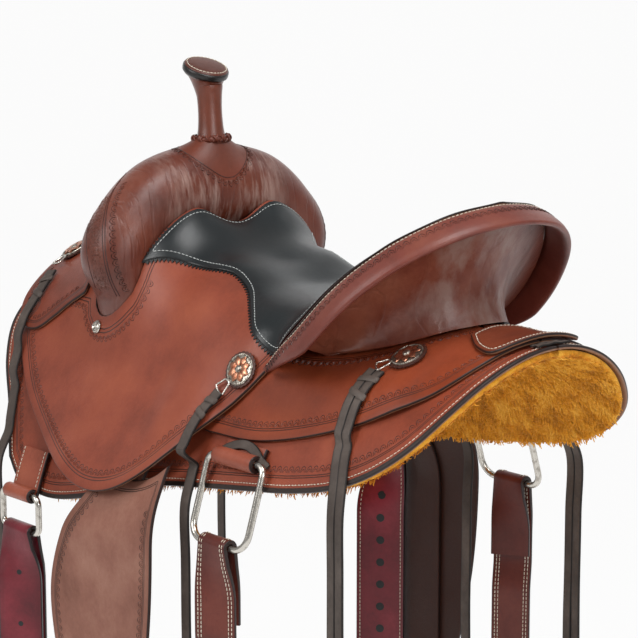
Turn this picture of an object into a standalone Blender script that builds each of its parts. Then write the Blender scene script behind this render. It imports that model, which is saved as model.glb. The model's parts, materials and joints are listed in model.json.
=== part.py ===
"""Western trail saddle for a mule, built as it comes apart on the saddler's bench.

Metres, +Z up, +X the rider's left, -Y forward (the horn end). The origin lies on the mule's
spine, on the inner face of the fleece, under the seat. Sheets of leather lie in shell
coordinates: y along the saddle, v the way down the mule's side measured round its back, and
h the height off its back.
"""
import math

import bmesh
import bpy
import numpy as np
from mathutils import Vector
from mathutils.geometry import delaunay_2d_cdt

# The mule's back: a flat spine that turns down to steep sides, and a slight dip lengthwise
SPINE_RADIUS = 0.165
SIDE_SLOPE = math.radians(78)
SIDE_TURN = 1.6
SIDE_RATE = 1.25
RISE_FORWARD = 0.30
RISE_REARWARD = 0.12

# Thicknesses of the layers, and the air between them
LEATHER_GAP = 0.0010
FIT = 0.0003
FLEECE_THICK = 0.0080
SKIRT_THICK = 0.0045
JOCKEY_THICK = 0.0040
SEAT_THICK = 0.0045
INLAY_THICK = 0.0030
STRAINER_THICK = 0.0020
COVER_THICK = 0.0035
PLATE_THICK = 0.0040

# Tree
BAR_TOP_AT = (-0.300, -0.265, -0.200, -0.130, 0.000, 0.120, 0.200, 0.320, 0.352)
BAR_TOP = (0.002, 0.010, 0.024, 0.028, 0.024, 0.012, 0.009, 0.009, 0.004)
BAR_SHOULDER = 0.105
BAR_FOOT = 0.158

# Swell fork: half widths and heights of the arch's middle line
FORK_Y = -0.129
FORK_HALF_DEPTH = 0.046
FORK_CROWN_Z = 0.137
FORK_CROWN_HALF = 0.051
FORK_SHOULDER = (0.097, 0.107)
FORK_WIDEST = (0.1215, 0.076)
FORK_TIP = (0.113, 0.022)
FORK_SIDE_HALF = 0.042
FORK_SQUARENESS = 2.15
FOOT_REACH = 0.026

# Horn
HORN_BASE_Y = -0.116
HORN_HEIGHT = 0.078
HORN_SWEEP = 0.0070
NECK_BASE_RADIUS = 0.0180
NECK_RADIUS = 0.0136
NECK_TOP_RADIUS = 0.0155
CORE_RADIUS = 0.0080
CAP_RADIUS = 0.0265
CAP_THICK = 0.0125
CAP_TILT = math.radians(21)
CAP_FORWARD = 0.0115

# Seat surface on the left: places in metres (x, y, z)
SEAT_FRONT = (
    (0.000, -0.076, 0.105),
    (0.018, -0.077, 0.109),
    (0.048, -0.079, 0.125),
    (0.070, -0.080, 0.119),
    (0.097, -0.083, 0.099),
    (0.120, -0.092, 0.067),
)
SEAT_SHOULDER = (
    (0.090, -0.040, 0.068),
    (0.082, 0.000, 0.066),
    (0.076, 0.022, 0.063),
    (0.082, 0.052, 0.050),
    (0.104, 0.085, 0.032),
    (0.120, 0.112, 0.014),
)
SEAT_CROWN = (
    (0.0, -0.035, 0.086),
    (0.0, 0.010, 0.066),
    (0.0, 0.070, 0.047),
    (0.0, 0.130, 0.041),
    (0.0, 0.190, 0.050),
    (0.0, 0.250, 0.083),
    (0.0, 0.305, 0.124),
    (0.060, 0.130, 0.044),
    (0.073, 0.190, 0.058),
    (0.078, 0.235, 0.085),
)

# Rim of the cantle on the left, from the corner to the crown
CANTLE_RIM = (
    (0.127, 0.146, -0.010),
    (0.146, 0.180, 0.012),
    (0.150, 0.223, 0.050),
    (0.136, 0.268, 0.097),
    (0.104, 0.308, 0.135),
    (0.056, 0.338, 0.160),
    (0.000, 0.350, 0.169),
)
CANTLE_BASE_HALF = 0.112
CANTLE_BASE_FRONT = 0.148
CANTLE_BASE_REAR = 0.330
ROLL_WIDTH = 0.033
ROLL_THICK = 0.0098

# Rigging and straps
WIRE = 0.0036
RING_WIDTH = 0.090
RING_DROP = 0.088
RING_LEAN = math.radians(17)
RING_Y = 0.160
RING_V = 0.208
DEE_WIDTH = 0.072
DEE_DROP = 0.042
DEE_Y = -0.180
DEE_V = 0.312
LOOP_WALL = 0.0050
STRAP_THICK = 0.0045
BILLET_WIDTH = 0.044
LATIGO_WIDTH = 0.050
STRAP_END_Z = -0.505
OFF_BILLET_WIDTH = 0.058
OFF_BILLET_X = 0.2020
OFF_BILLET_Y = -0.055

# Fender and stirrup
SWING_Y = -0.008
SWING_Z = -0.012
LEATHER_WIDTH = 0.056
LEATHER_THICK = 0.0042
FENDER_THICK = 0.0042
FENDER_TOP = 0.134
FENDER_LENGTH = 0.400
HANG_X = 0.2262
BOLT_CLEAR = 0.026
BOLT_DROP = FENDER_TOP + FENDER_LENGTH + BOLT_CLEAR
STIRRUP_HEIGHT = 0.140
STIRRUP_WIDTH = 0.136
STIRRUP_NECK = 0.076
TREAD_DEPTH = 0.056
STIRRUP_WALL = 0.012
BOLT_RADIUS = 0.0040

# Conchos and strings
CONCHO_RADIUS = 0.0205
CONCHO_HEIGHT = 0.0045
STRING_WIDTH = 0.014
STRING_THICK = 0.0028
STRING_END_Z = -0.500

COLOURS = {
    "wood": (0.52, 0.36, 0.20, 0.60, 0.0),
    "steel": (0.62, 0.62, 0.60, 0.30, 1.0),
    "nickel": (0.72, 0.70, 0.66, 0.25, 1.0),
    "brown_leather": (0.26, 0.085, 0.040, 0.45, 0.0),
    "seat_leather": (0.30, 0.095, 0.045, 0.42, 0.0),
    "black_leather": (0.018, 0.022, 0.024, 0.40, 0.0),
    "dark_latigo": (0.060, 0.048, 0.040, 0.55, 0.0),
    "burgundy": (0.16, 0.018, 0.022, 0.40, 0.0),
    "fleece": (0.78, 0.42, 0.06, 0.95, 0.0),
}


def clear_scene():
    for obj in list(bpy.data.objects):
        bpy.data.objects.remove(obj, do_unlink=True)


def material(name, kind):
    """The object's own material, coloured as its kind."""
    made = bpy.data.materials.new(name + "_" + kind)
    made.use_nodes = True
    shader = made.node_tree.nodes["Principled BSDF"]
    red, green, blue, rough, metal = COLOURS[kind]
    shader.inputs["Base Color"].default_value = (red, green, blue, 1.0)
    shader.inputs["Roughness"].default_value = rough
    shader.inputs["Metallic"].default_value = metal
    made.diffuse_color = (red, green, blue, 1.0)
    return made


def step_up(value, low, high):
    """0 below low, 1 above high, and a soft ramp between."""
    t = np.clip((np.asarray(value, float) - low) / (high - low), 0.0, 1.0)
    return t * t * (3.0 - 2.0 * t)


def curve(points, count):
    """count + 1 places spread evenly along a smooth curve through the points."""
    pts = np.asarray(points, float)
    if len(pts) == 2:
        return pts[0] + (pts[1] - pts[0]) * np.linspace(0, 1, count + 1)[:, None]
    ends = np.vstack([2 * pts[0] - pts[1], pts, 2 * pts[-1] - pts[-2]])
    gaps = np.sqrt(np.linalg.norm(np.diff(ends, axis=0), axis=1)) + 1e-9
    knots = np.concatenate([[0.0], np.cumsum(gaps)])
    dense = []
    for i in range(1, len(ends) - 2):
        t0, t1, t2, t3 = knots[i - 1:i + 3]
        p0, p1, p2, p3 = ends[i - 1:i + 3]
        for t in np.linspace(t1, t2, 24, endpoint=False):
            a1 = (t1 - t) / (t1 - t0) * p0 + (t - t0) / (t1 - t0) * p1
            a2 = (t2 - t) / (t2 - t1) * p1 + (t - t1) / (t2 - t1) * p2
            a3 = (t3 - t) / (t3 - t2) * p2 + (t - t2) / (t3 - t2) * p3
            b1 = (t2 - t) / (t2 - t0) * a1 + (t - t0) / (t2 - t0) * a2
            b2 = (t3 - t) / (t3 - t1) * a2 + (t - t1) / (t3 - t1) * a3
            dense.append((t2 - t) / (t2 - t1) * b1 + (t - t1) / (t2 - t1) * b2)
    dense.append(pts[-1])
    dense = np.array(dense)
    way = np.concatenate([[0.0], np.cumsum(np.linalg.norm(np.diff(dense, axis=0), axis=1))])
    at = np.linspace(0, way[-1], count + 1)
    return np.stack([np.interp(at, way, dense[:, k]) for k in range(pts.shape[1])], axis=1)


def outline(*runs, spacing=0.020):
    """Closed outline of smooth runs that meet at corners; each run is a list of places."""
    loop = []
    for run in runs:
        length = np.linalg.norm(np.diff(np.asarray(run, float), axis=0), axis=1).sum()
        loop.extend(curve(run, max(1, round(length / spacing)))[:-1])
    return np.array(loop)


class Back:
    """The mule's back, which every sheet is laid on."""

    def __init__(self):
        self.v = np.linspace(0.0, 0.5, 1001)
        reach = self.v / (SPINE_RADIUS * SIDE_SLOPE)
        self.lean = SIDE_SLOPE * (1.0 - np.exp(-SIDE_RATE * reach ** SIDE_TURN)) ** (1.0 / SIDE_TURN)
        step = self.v[1]
        across = (np.cos(self.lean[1:]) + np.cos(self.lean[:-1])) / 2 * step
        drop = (np.sin(self.lean[1:]) + np.sin(self.lean[:-1])) / 2 * step
        self.x = np.concatenate([[0.0], np.cumsum(across)])
        self.z = -np.concatenate([[0.0], np.cumsum(drop)])

    @staticmethod
    def rise(y):
        y = np.asarray(y, float)
        return np.where(y < 0, RISE_FORWARD, RISE_REARWARD) * y * y

    def normal(self, v):
        side = np.where(np.asarray(v) < 0, -1.0, 1.0)
        lean = np.interp(np.abs(v), self.v, self.lean)
        return np.stack([side * np.sin(lean), np.zeros_like(lean), np.cos(lean)], axis=-1)

    def point(self, y, v, h):
        """World place of shell coordinates; arrays are welcome."""
        y, v, h = np.broadcast_arrays(np.asarray(y, float), np.asarray(v, float), np.asarray(h, float))
        side = np.where(v < 0, -1.0, 1.0)
        x = side * np.interp(np.abs(v), self.v, self.x)
        z = np.interp(np.abs(v), self.v, self.z) + self.rise(y)
        return np.stack([x, y, z], axis=-1) + h[..., None] * self.normal(v)

    def shell(self, place):
        """Shell coordinates (y, v, h) of a world place on the left side."""
        x, y, z = place
        dx = x - self.x
        dz = z - float(self.rise(y)) - self.z
        along = dx * np.cos(self.lean) - dz * np.sin(self.lean)
        crossing = int(np.argmax(along <= 0)) if (along <= 0).any() else len(along) - 1
        h = dx[crossing] * math.sin(self.lean[crossing]) + dz[crossing] * math.cos(self.lean[crossing])
        return y, self.v[crossing], h


BACK = Back()
SKIRT_LOW = FLEECE_THICK + LEATHER_GAP
SKIRT_TOP = SKIRT_LOW + SKIRT_THICK


def bar_level(y, v):
    """Height of the tree bars' top, or of the skirt's top where there is no bar."""
    crown = np.interp(y, BAR_TOP_AT, BAR_TOP)
    end = step_up(y, -0.315, -0.285) * (1.0 - step_up(y, 0.335, 0.375))
    return SKIRT_TOP + crown * end * (1.0 - step_up(np.abs(v), BAR_SHOULDER, BAR_FOOT))


def jockey_low(y, v):
    return bar_level(y, v) + 1.5 * LEATHER_GAP


def jockey_top(y, v):
    return jockey_low(y, v) + JOCKEY_THICK


def flap_stand(y, v):
    """Room under the seat flap for the stirrup leather and the fender."""
    along = step_up(y, -0.215, -0.085) * (1.0 - step_up(y, 0.055, 0.115))
    down = np.abs(v)
    return along * (0.0100 * step_up(down, 0.112, 0.155) + 0.0125 * step_up(down, 0.215, 0.272))


def flap_low(y, v):
    over_jockey = (JOCKEY_THICK + LEATHER_GAP) * step_up(y, -0.010, 0.030)
    return jockey_low(y, v) + over_jockey + flap_stand(y, v)


class Drape:
    """Thin-plate surface h(y, v) through chosen places on both sides of the middle."""

    def __init__(self, places):
        both = [(y, v, h) for y, v, h in places] + [(y, -v, h) for y, v, h in places if v > 1e-6]
        data = np.array(both)
        self.at = data[:, :2] / 0.1
        count = len(data)
        matrix = np.zeros((count + 3, count + 3))
        matrix[:count, :count] = self.kernel(self.at, self.at) + 1e-3 * np.eye(count)
        matrix[:count, count] = 1.0
        matrix[:count, count + 1:] = self.at
        matrix[count:, :count] = matrix[:count, count:].T
        self.weights = np.linalg.solve(matrix, np.concatenate([data[:, 2], np.zeros(3)]))

    @staticmethod
    def kernel(a, b):
        gap = np.linalg.norm(a[:, None] - b[None], axis=2)
        return gap * gap * np.log(np.maximum(gap, 1e-9))

    def __call__(self, y, v):
        y, v = np.broadcast_arrays(np.asarray(y, float), np.asarray(v, float))
        at = np.stack([y.ravel(), v.ravel()], axis=1) / 0.1
        flat = self.kernel(at, self.at) @ self.weights[:-3] + self.weights[-3] + at @ self.weights[-2:]
        return flat.reshape(y.shape)


def seat_places():
    """Shell coordinates that the seat's leather passes through."""
    places = [BACK.shell(p) for p in SEAT_FRONT + SEAT_SHOULDER + SEAT_CROWN + CANTLE_RIM]
    for y, v in ((-0.250, 0.120), (-0.200, 0.135), (-0.150, 0.145), (-0.110, 0.155),
                 (-0.050, 0.150), (0.000, 0.145), (0.050, 0.140), (0.095, 0.135),
                 (-0.150, 0.200), (-0.050, 0.200), (0.050, 0.190), (-0.080, 0.260),
                 (-0.220, 0.180), (0.130, 0.150)):
        places.append((y, v, float(flap_low(y, v)) + SEAT_THICK))
    return places


SEAT_DRAPE = Drape(seat_places())
SEAT_SOFTNESS = 0.0025


def seat_top(y, v):
    """Upper face of the seat's leather: the seat itself, running out into the flaps."""
    flap = flap_low(y, v) + SEAT_THICK
    return flap + SEAT_SOFTNESS * np.logaddexp(0.0, (SEAT_DRAPE(y, v) - flap) / SEAT_SOFTNESS)


def finish(name, mesh_data, material_name, smooth_angle=40.0):
    """A named object from vertices and faces, with its faces turned outward."""
    vertices, faces = mesh_data
    mesh = bpy.data.meshes.new(name)
    work = bmesh.new()
    made = [work.verts.new(tuple(float(c) for c in v)) for v in vertices]
    for face in faces:
        work.faces.new([made[i] for i in face])
    bmesh.ops.remove_doubles(work, verts=work.verts, dist=1e-6)
    bmesh.ops.recalc_face_normals(work, faces=work.faces)
    if work.calc_volume(signed=True) < 0:
        bmesh.ops.reverse_faces(work, faces=work.faces)
    work.to_mesh(mesh)
    work.free()
    mesh.materials.append(material(name, material_name))
    mesh.shade_smooth()
    mesh.set_sharp_from_angle(angle=math.radians(smooth_angle))
    obj = bpy.data.objects.new(name, mesh)
    bpy.context.scene.collection.objects.link(obj)
    return obj


def mirrored(mesh_data):
    vertices, faces = mesh_data
    return [(-v[0], v[1], v[2]) for v in vertices], [tuple(reversed(f)) for f in faces]


def both_sides(stem, mesh_data, material_name):
    finish(stem + "_left", mesh_data, material_name)
    finish(stem + "_right", mirrored(mesh_data), material_name)


def nearest(loop, spot):
    """Distance from a spot to a closed outline."""
    run = np.roll(loop, -1, axis=0) - loop
    share = np.clip(((spot - loop) * run).sum(axis=1) / np.maximum((run * run).sum(axis=1), 1e-12), 0, 1)
    return float(np.linalg.norm(loop + share[:, None] * run - spot, axis=1).min())


def fill(loop, step, guide=None):
    """Triangles over a closed outline, with points on one lattice that every sheet shares.

    A guide is the outline of a sheet that lies on this one: its places are kept, so that
    the two sheets share their triangles.
    """
    scale = 1.0 / np.asarray(step)
    rim = loop * scale
    extra = np.zeros((0, 2)) if guide is None else guide * scale
    low = np.floor(rim.min(axis=0)).astype(int)
    high = np.ceil(rim.max(axis=0)).astype(int)
    after = np.roll(rim, -1, axis=0)
    inner = []
    for i in range(low[0], high[0] + 1):
        for j in range(low[1], high[1] + 1):
            spot = np.array([i, j], float)
            crosses = (rim[:, 1] > spot[1]) != (after[:, 1] > spot[1])
            with np.errstate(divide="ignore", invalid="ignore"):
                share = (spot[1] - rim[:, 1]) / (after[:, 1] - rim[:, 1])
                at = rim[:, 0] + share * (after[:, 0] - rim[:, 0])
            if not (crosses & (spot[0] < at)).sum() % 2:
                continue
            if min(nearest(edge, spot) for edge in (rim, extra) if len(edge)) > 0.42:
                inner.append(spot)
    flat = [Vector(p) for p in rim] + [Vector(p) for p in extra] + [Vector(p) for p in inner]
    edges = [(i, (i + 1) % len(rim)) for i in range(len(rim))]
    edges += [(len(rim) + i, len(rim) + (i + 1) % len(extra)) for i in range(len(extra))]
    points, _, faces, _, _, _ = delaunay_2d_cdt(flat, edges, [], 1, 1e-7)
    return np.array([tuple(p) for p in points]) / scale, [tuple(f) for f in faces]


def sheet(loop, low, high, place=BACK.point, step=(0.040, 0.016), guide=None):
    """Closed sheet over an outline, between two heights given as functions of its plane."""
    flat, triangles = fill(loop, step, guide)
    count = len(flat)
    under = place(flat[:, 0], flat[:, 1], low(flat[:, 0], flat[:, 1]))
    over = place(flat[:, 0], flat[:, 1], high(flat[:, 0], flat[:, 1]))
    vertices = [tuple(p) for p in under] + [tuple(p) for p in over]
    faces = [tuple(reversed(t)) for t in triangles] + [tuple(i + count for i in t) for t in triangles]
    seen = {}
    for a, b, c in triangles:
        for edge in ((a, b), (b, c), (c, a)):
            seen[tuple(sorted(edge))] = seen.get(tuple(sorted(edge)), []) + [edge]
    for uses in seen.values():
        if len(uses) == 1:
            a, b = uses[0]
            faces.append((a, b, b + count, a + count))
    return vertices, faces


def level(height):
    return lambda y, v: np.full(np.shape(y), float(height))


def skin(a, b, count, turned=False):
    """Triangles between two rings; turned ones take the other diagonal."""
    faces = []
    for j in range(count):
        k = (j + 1) % count
        if turned:
            faces += [(a + j, a + k, b + j), (a + k, b + k, b + j)]
        else:
            faces += [(a + j, a + k, b + k), (a + j, b + k, b + j)]
    return faces


def loft(sections, closed=False):
    """Skin over sections of equal point count, capped at both ends unless it closes."""
    count = len(sections[0])
    vertices = [tuple(p) for section in sections for p in section]
    faces = []
    spans = len(sections) if closed else len(sections) - 1
    for i in range(spans):
        faces += skin(i * count, ((i + 1) % len(sections)) * count, count)
    if not closed:
        faces.append(tuple(range(count))[::-1])
        faces.append(tuple(range((len(sections) - 1) * count, len(sections) * count)))
    return vertices, faces


def shell_loft(outer, inner):
    """Skin with a wall: outer and inner sections, joined at the two open ends.

    The inner face takes the diagonals of the solid that fills it.
    """
    count = len(outer[0])
    rings = list(outer) + list(reversed(inner))
    vertices = [tuple(p) for ring in rings for p in ring]
    faces = []
    for i in range(len(rings)):
        faces += skin(i * count, ((i + 1) % len(rings)) * count, count, turned=i >= len(outer))
    return vertices, faces


def frames(path):
    """Tangents along a path."""
    path = np.asarray(path, float)
    tangents = np.gradient(path, axis=0)
    return tangents / np.linalg.norm(tangents, axis=1)[:, None]


def ribbon(path, across, width, thick):
    """Flat strap along a path; across is its width direction at each point."""
    path = np.asarray(path, float)
    tangents = frames(path)
    sections = []
    for place, tangent, side in zip(path, tangents, np.broadcast_to(across, path.shape)):
        side = side - tangent * np.dot(side, tangent)
        side = side / np.linalg.norm(side)
        up = np.cross(tangent, side)
        half, rise = side * width / 2, up * thick / 2
        sections.append([place - half - rise, place + half - rise,
                         place + half + rise, place - half + rise])
    return loft(sections)


def wire_loop(path, radius, out, sides=8):
    """Round wire along a closed path that lies in the plane whose normal is out."""
    path = np.asarray(path, float)
    tangents = np.roll(path, -1, axis=0) - np.roll(path, 1, axis=0)
    out = np.asarray(out, float)
    sections = []
    for place, tangent in zip(path, tangents / np.linalg.norm(tangents, axis=1)[:, None]):
        side = np.cross(tangent, out)
        angles = [2 * math.pi * k / sides for k in range(sides)]
        sections.append([place + radius * (math.cos(a) * out + math.sin(a) * side) for a in angles])
    return loft(sections, closed=True)


def round_profile(points, centre, axis, sides):
    """Turned solid: (radius, height) points about an axis through a centre."""
    axis = np.asarray(axis, float) / np.linalg.norm(axis)
    first = np.cross(axis, [1.0, 0.0, 0.0])
    first = first / np.linalg.norm(first)
    second = np.cross(axis, first)
    sections = []
    for radius, height in points:
        ring = []
        for k in range(sides):
            a = 2 * math.pi * k / sides
            off = radius * (math.cos(a) * first + math.sin(a) * second)
            ring.append(np.asarray(centre) + axis * height + off)
        sections.append(ring)
    return loft(sections)


def cut(obj, cutter):
    """Boolean difference that stays live on the object."""
    cutter.hide_render = True
    cutter.display_type = "WIRE"
    made = obj.modifiers.new("cut_" + cutter.name, "BOOLEAN")
    made.operation = "DIFFERENCE"
    made.solver = "EXACT"
    made.object = cutter


# Tree, fork and horn

def fork_line():
    """Middle line of the fork's arch in x and z, from tip to tip, and its half thickness."""
    left = [FORK_TIP, FORK_WIDEST, FORK_SHOULDER, (0.052, FORK_CROWN_Z - 0.007), (0.0, FORK_CROWN_Z)]
    right = [(-x, z) for x, z in reversed(left[:-1])]
    line = curve(left + right, 20)
    side = np.abs(line[:, 0]) / FORK_WIDEST[0]
    half = FORK_CROWN_HALF + (FORK_SIDE_HALF - FORK_CROWN_HALF) * step_up(side, 0.5, 1.0)
    way = np.concatenate([[0.0], np.cumsum(np.linalg.norm(np.diff(line, axis=0), axis=1))])
    from_end = np.minimum(way, way[-1] - way)
    half = half * (0.62 + 0.38 * step_up(from_end, 0.0, 0.055))
    return line, half


def fork_sections(inset, sides=14, reach=0.0):
    """Sections of the fork drawn in by inset; reach lengthens its two feet."""
    line, half = fork_line()
    tangents = frames(line)
    line[0] -= tangents[0] * reach
    line[-1] += tangents[-1] * reach
    sections = []
    for place, tangent, size in zip(line, tangents, half):
        normal = np.array([-tangent[1], tangent[0]])
        lean = abs(place[0]) / FORK_WIDEST[0]
        depth = FORK_HALF_DEPTH * (1.0 - 0.10 * lean) - inset
        ring = []
        for k in range(sides):
            a = 2 * math.pi * (k + 0.5) / sides
            power = 2.0 / FORK_SQUARENESS
            along = math.copysign(abs(math.cos(a)) ** power, math.cos(a)) * depth
            out = math.copysign(abs(math.sin(a)) ** power, math.sin(a)) * (size - inset)
            ring.append((place[0] + normal[0] * out, FORK_Y + along, place[1] + normal[1] * out))
        sections.append(ring)
    return sections


def under_block(name, clearance):
    """Everything below the bars' top, used to cut what stands on them."""
    loop = outline([(-0.22, -0.19), (-0.22, 0.19)], [(-0.22, 0.19), (-0.02, 0.19)],
                   [(-0.02, 0.19), (-0.02, -0.19)], [(-0.02, -0.19), (-0.22, -0.19)])
    data = sheet(loop, level(-0.030), lambda y, v: bar_level(y, v) + clearance)
    return finish(name, data, "wood")


def build_fork():
    horn_root = np.array([0.0, HORN_BASE_Y, FORK_CROWN_Z + FORK_CROWN_HALF])
    core_low = FORK_CROWN_Z + FORK_CROWN_HALF - COVER_THICK - 0.030
    top = horn_root + np.array([0.0, -HORN_SWEEP, HORN_HEIGHT])

    fork = finish("tree_fork", loft(fork_sections(COVER_THICK + FIT, reach=FOOT_REACH)), "wood")
    wall = shell_loft(fork_sections(0.0, reach=FOOT_REACH), fork_sections(COVER_THICK, reach=FOOT_REACH))
    cover = finish("swell_cover", wall, "brown_leather")
    cut(fork, under_block("fork_seat_cutter", 2 * FIT))
    cut(cover, under_block("cover_seat_cutter", LEATHER_GAP))

    axis = top - np.array([0.0, HORN_BASE_Y, core_low])
    length = float(np.linalg.norm(axis)) - 0.004
    bore_radius = CORE_RADIUS + FIT
    bore = round_profile([(bore_radius, -FIT), (bore_radius, 0.12)], (0, HORN_BASE_Y, core_low), axis, 16)
    cut(fork, finish("fork_bore_cutter", bore, "wood"))
    cut(cover, finish("cover_bore_cutter", bore, "wood"))
    core = round_profile([(CORE_RADIUS, 0.0), (CORE_RADIUS, length)], (0, HORN_BASE_Y, core_low), axis, 16)
    finish("horn_core", core, "steel")

    # The neck follows the core's line, so the two share one axis
    unit = axis / np.linalg.norm(axis)
    base_height = float(np.dot(horn_root - np.array([0, HORN_BASE_Y, core_low]), unit)) + LEATHER_GAP
    neck_length = HORN_HEIGHT - 0.012
    profile = [(NECK_BASE_RADIUS, 0.0), (NECK_BASE_RADIUS * 0.82, 0.006), (NECK_RADIUS, 0.018),
               (NECK_RADIUS, neck_length * 0.62), (NECK_TOP_RADIUS, neck_length)]
    outer = [(r, base_height + h) for r, h in profile]
    inner = [(bore_radius, base_height + neck_length), (bore_radius, base_height)]
    sections = []
    first = np.cross(unit, [1.0, 0.0, 0.0])
    first = first / np.linalg.norm(first)
    second = np.cross(unit, first)
    for radius, height in outer + inner:
        ring = []
        for k in range(16):
            a = 2 * math.pi * k / 16
            spot = np.array([0, HORN_BASE_Y, core_low]) + unit * height
            ring.append(spot + radius * (math.cos(a) * first + math.sin(a) * second))
        sections.append(ring)
    neck = finish("horn_neck_cover", loft(sections, closed=True), "brown_leather")
    lid = fork_sections(-LEATHER_GAP)
    cut(neck, finish("neck_seat_cutter", loft(lid), "brown_leather"))

    # The cap sits on the neck, tilted up to the front
    cap_axis = np.array([0.0, math.sin(CAP_TILT), math.cos(CAP_TILT)])
    neck_top = np.array([0, HORN_BASE_Y, core_low]) + unit * (base_height + neck_length)
    lean = math.atan2(unit[1], unit[2])
    rise = NECK_TOP_RADIUS * math.sin(CAP_TILT - lean) + FIT
    ahead = np.array([0.0, -math.cos(CAP_TILT), math.sin(CAP_TILT)])
    cap_base = neck_top + cap_axis * rise + ahead * CAP_FORWARD
    cap_profile = [(CAP_RADIUS * 0.80, 0.0), (CAP_RADIUS * 0.95, 0.002), (CAP_RADIUS, 0.005),
                   (CAP_RADIUS, 0.009), (CAP_RADIUS * 0.95, CAP_THICK - 0.001),
                   (CAP_RADIUS * 0.55, CAP_THICK + 0.0012)]
    cap = finish("horn_cap", round_profile(cap_profile, cap_base, cap_axis, 24), "brown_leather")
    pocket = round_profile([(bore_radius, 0.0), (bore_radius, length + FIT)],
                           (0, HORN_BASE_Y, core_low), axis, 16)
    cut(cap, finish("cap_bore_cutter", pocket, "wood"))


def build_bars():
    loop = outline([(-0.262, 0.040), (-0.270, 0.075), (-0.255, 0.118), (-0.200, 0.140),
                    (-0.100, 0.132), (0.000, 0.124), (0.100, 0.128), (0.200, 0.136),
                    (0.290, 0.126), (0.330, 0.085), (0.322, 0.040)],
                   [(0.322, 0.040), (0.200, 0.032), (0.050, 0.036), (-0.100, 0.036),
                    (-0.262, 0.040)], spacing=0.020)
    data = sheet(loop, level(SKIRT_TOP + LEATHER_GAP), bar_level, step=(0.040, 0.016))
    both_sides("tree_bar", data, "wood")


# Skirts and fleece

SKIRT_FRONT = [(-0.300, 0.020), (-0.318, 0.060), (-0.325, 0.110), (-0.322, 0.150),
               (-0.300, 0.190), (-0.262, 0.235), (-0.232, 0.285)]
SKIRT_LOWER = [(-0.232, 0.285), (-0.205, 0.302), (-0.150, 0.306), (-0.090, 0.292),
               (-0.020, 0.266), (0.041, 0.251), (0.113, 0.241), (0.177, 0.234),
               (0.244, 0.227), (0.305, 0.215), (0.350, 0.195), (0.385, 0.165),
               (0.408, 0.125), (0.422, 0.080), (0.428, 0.040), (0.430, 0.0015)]
SKIRT_INNER = [(0.430, 0.0015), (0.200, 0.0015), (0.000, 0.0015), (-0.290, 0.0015),
               (-0.300, 0.020)]


def inset_loop(loop, distance):
    """Outline drawn in by a distance, at the middle of the saddle kept where it is."""
    before, after = np.roll(loop, 1, axis=0), np.roll(loop, -1, axis=0)
    along = after - before
    along = along / np.linalg.norm(along, axis=1)[:, None]
    area = 0.5 * np.sum(loop[:, 0] * after[:, 1] - after[:, 0] * loop[:, 1])
    inward = np.stack([-along[:, 1], along[:, 0]], axis=1) * (1 if area > 0 else -1)
    return loop + inward * distance


def build_skirts():
    loop = outline(SKIRT_FRONT, SKIRT_LOWER, SKIRT_INNER[:2], SKIRT_INNER[1:3],
                   SKIRT_INNER[2:4], SKIRT_INNER[3:], spacing=0.026)
    data = sheet(loop, level(SKIRT_LOW), level(SKIRT_TOP), step=(0.060, 0.016))
    both_sides("skirt", data, "brown_leather")
    under = inset_loop(loop, 0.004)
    under[:, 1] = np.maximum(under[:, 1], 0.0015)
    data = sheet(under, level(0.0), level(FLEECE_THICK), step=(0.060, 0.020))
    both_sides("fleece", data, "fleece")


# Jockeys, seat and inlay

FLAP_FRONT = [(-0.255, 0.108), (-0.286, 0.136), (-0.288, 0.156), (-0.268, 0.178),
              (-0.222, 0.216), (-0.157, 0.248), (-0.100, 0.268), (-0.060, 0.277),
              (-0.025, 0.276), (0.006, 0.267), (0.030, 0.254), (0.068, 0.216),
              (0.097, 0.178), (0.119, 0.148)]


def rim_shell():
    return [BACK.shell(p) for p in CANTLE_RIM]


def seat_outline(spacing=0.016):
    rim = [(y, v) for y, v, _ in rim_shell()]
    front = [(BACK.shell(p)[0], BACK.shell(p)[1]) for p in SEAT_FRONT]
    notch = [front[-1], (-0.112, 0.092), (-0.134, 0.096), (-0.160, 0.094), (-0.190, 0.092),
             (-0.225, 0.094), (-0.255, 0.108)]
    left = [front, notch, FLAP_FRONT, [FLAP_FRONT[-1], (0.131, 0.134), rim[0]], rim]
    mirror = [[(y, -v) for y, v in reversed(run)] for run in reversed(left)]
    return outline(*left, *mirror, spacing=spacing)


def inlay_loop():
    """Outline of the smooth black insert, a little inside the seat's front edge and its rim."""
    edge = [(BACK.shell(p)[0] + 0.0045, BACK.shell(p)[1]) for p in SEAT_FRONT]
    side = [(y, v) for y, v, _ in (BACK.shell(p) for p in SEAT_SHOULDER)]
    rim = [(y - 0.006, v - 0.004) for y, v, _ in rim_shell()[1:]]
    rim[-1] = (rim[-1][0], 0.0)
    left = [edge, [edge[-1]] + side + [rim[0]], rim]
    mirror = [[(y, -v) for y, v in reversed(run)] for run in reversed(left)]
    return outline(*left, *mirror, spacing=0.018)


def build_seat():
    seat, inlay = seat_outline(), inlay_loop()
    under = lambda y, v: seat_top(y, v) - SEAT_THICK
    data = sheet(seat, under, seat_top, step=(0.024, 0.016), guide=inlay)
    leather = finish("seat_leather", data, "seat_leather")
    notch = loft(fork_sections(-2 * LEATHER_GAP, reach=FOOT_REACH + 0.004))
    cut(leather, finish("seat_notch_cutter", notch, "brown_leather"))

    low = lambda y, v: seat_top(y, v) + LEATHER_GAP
    data = sheet(inlay, low, lambda y, v: low(y, v) + INLAY_THICK, step=(0.024, 0.016))
    finish("seat_inlay", data, "black_leather")


def seat_ring(share, count):
    """Outline (y, v) of the seat drawn in from the rim towards its middle, from side to side."""
    rim = curve([(y, v) for y, v, _ in rim_shell()], count)
    rim = np.vstack([rim, rim[::-1][1:] * [1, -1]])
    return rim + share * (np.array([0.170, 0.0]) - rim)


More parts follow.
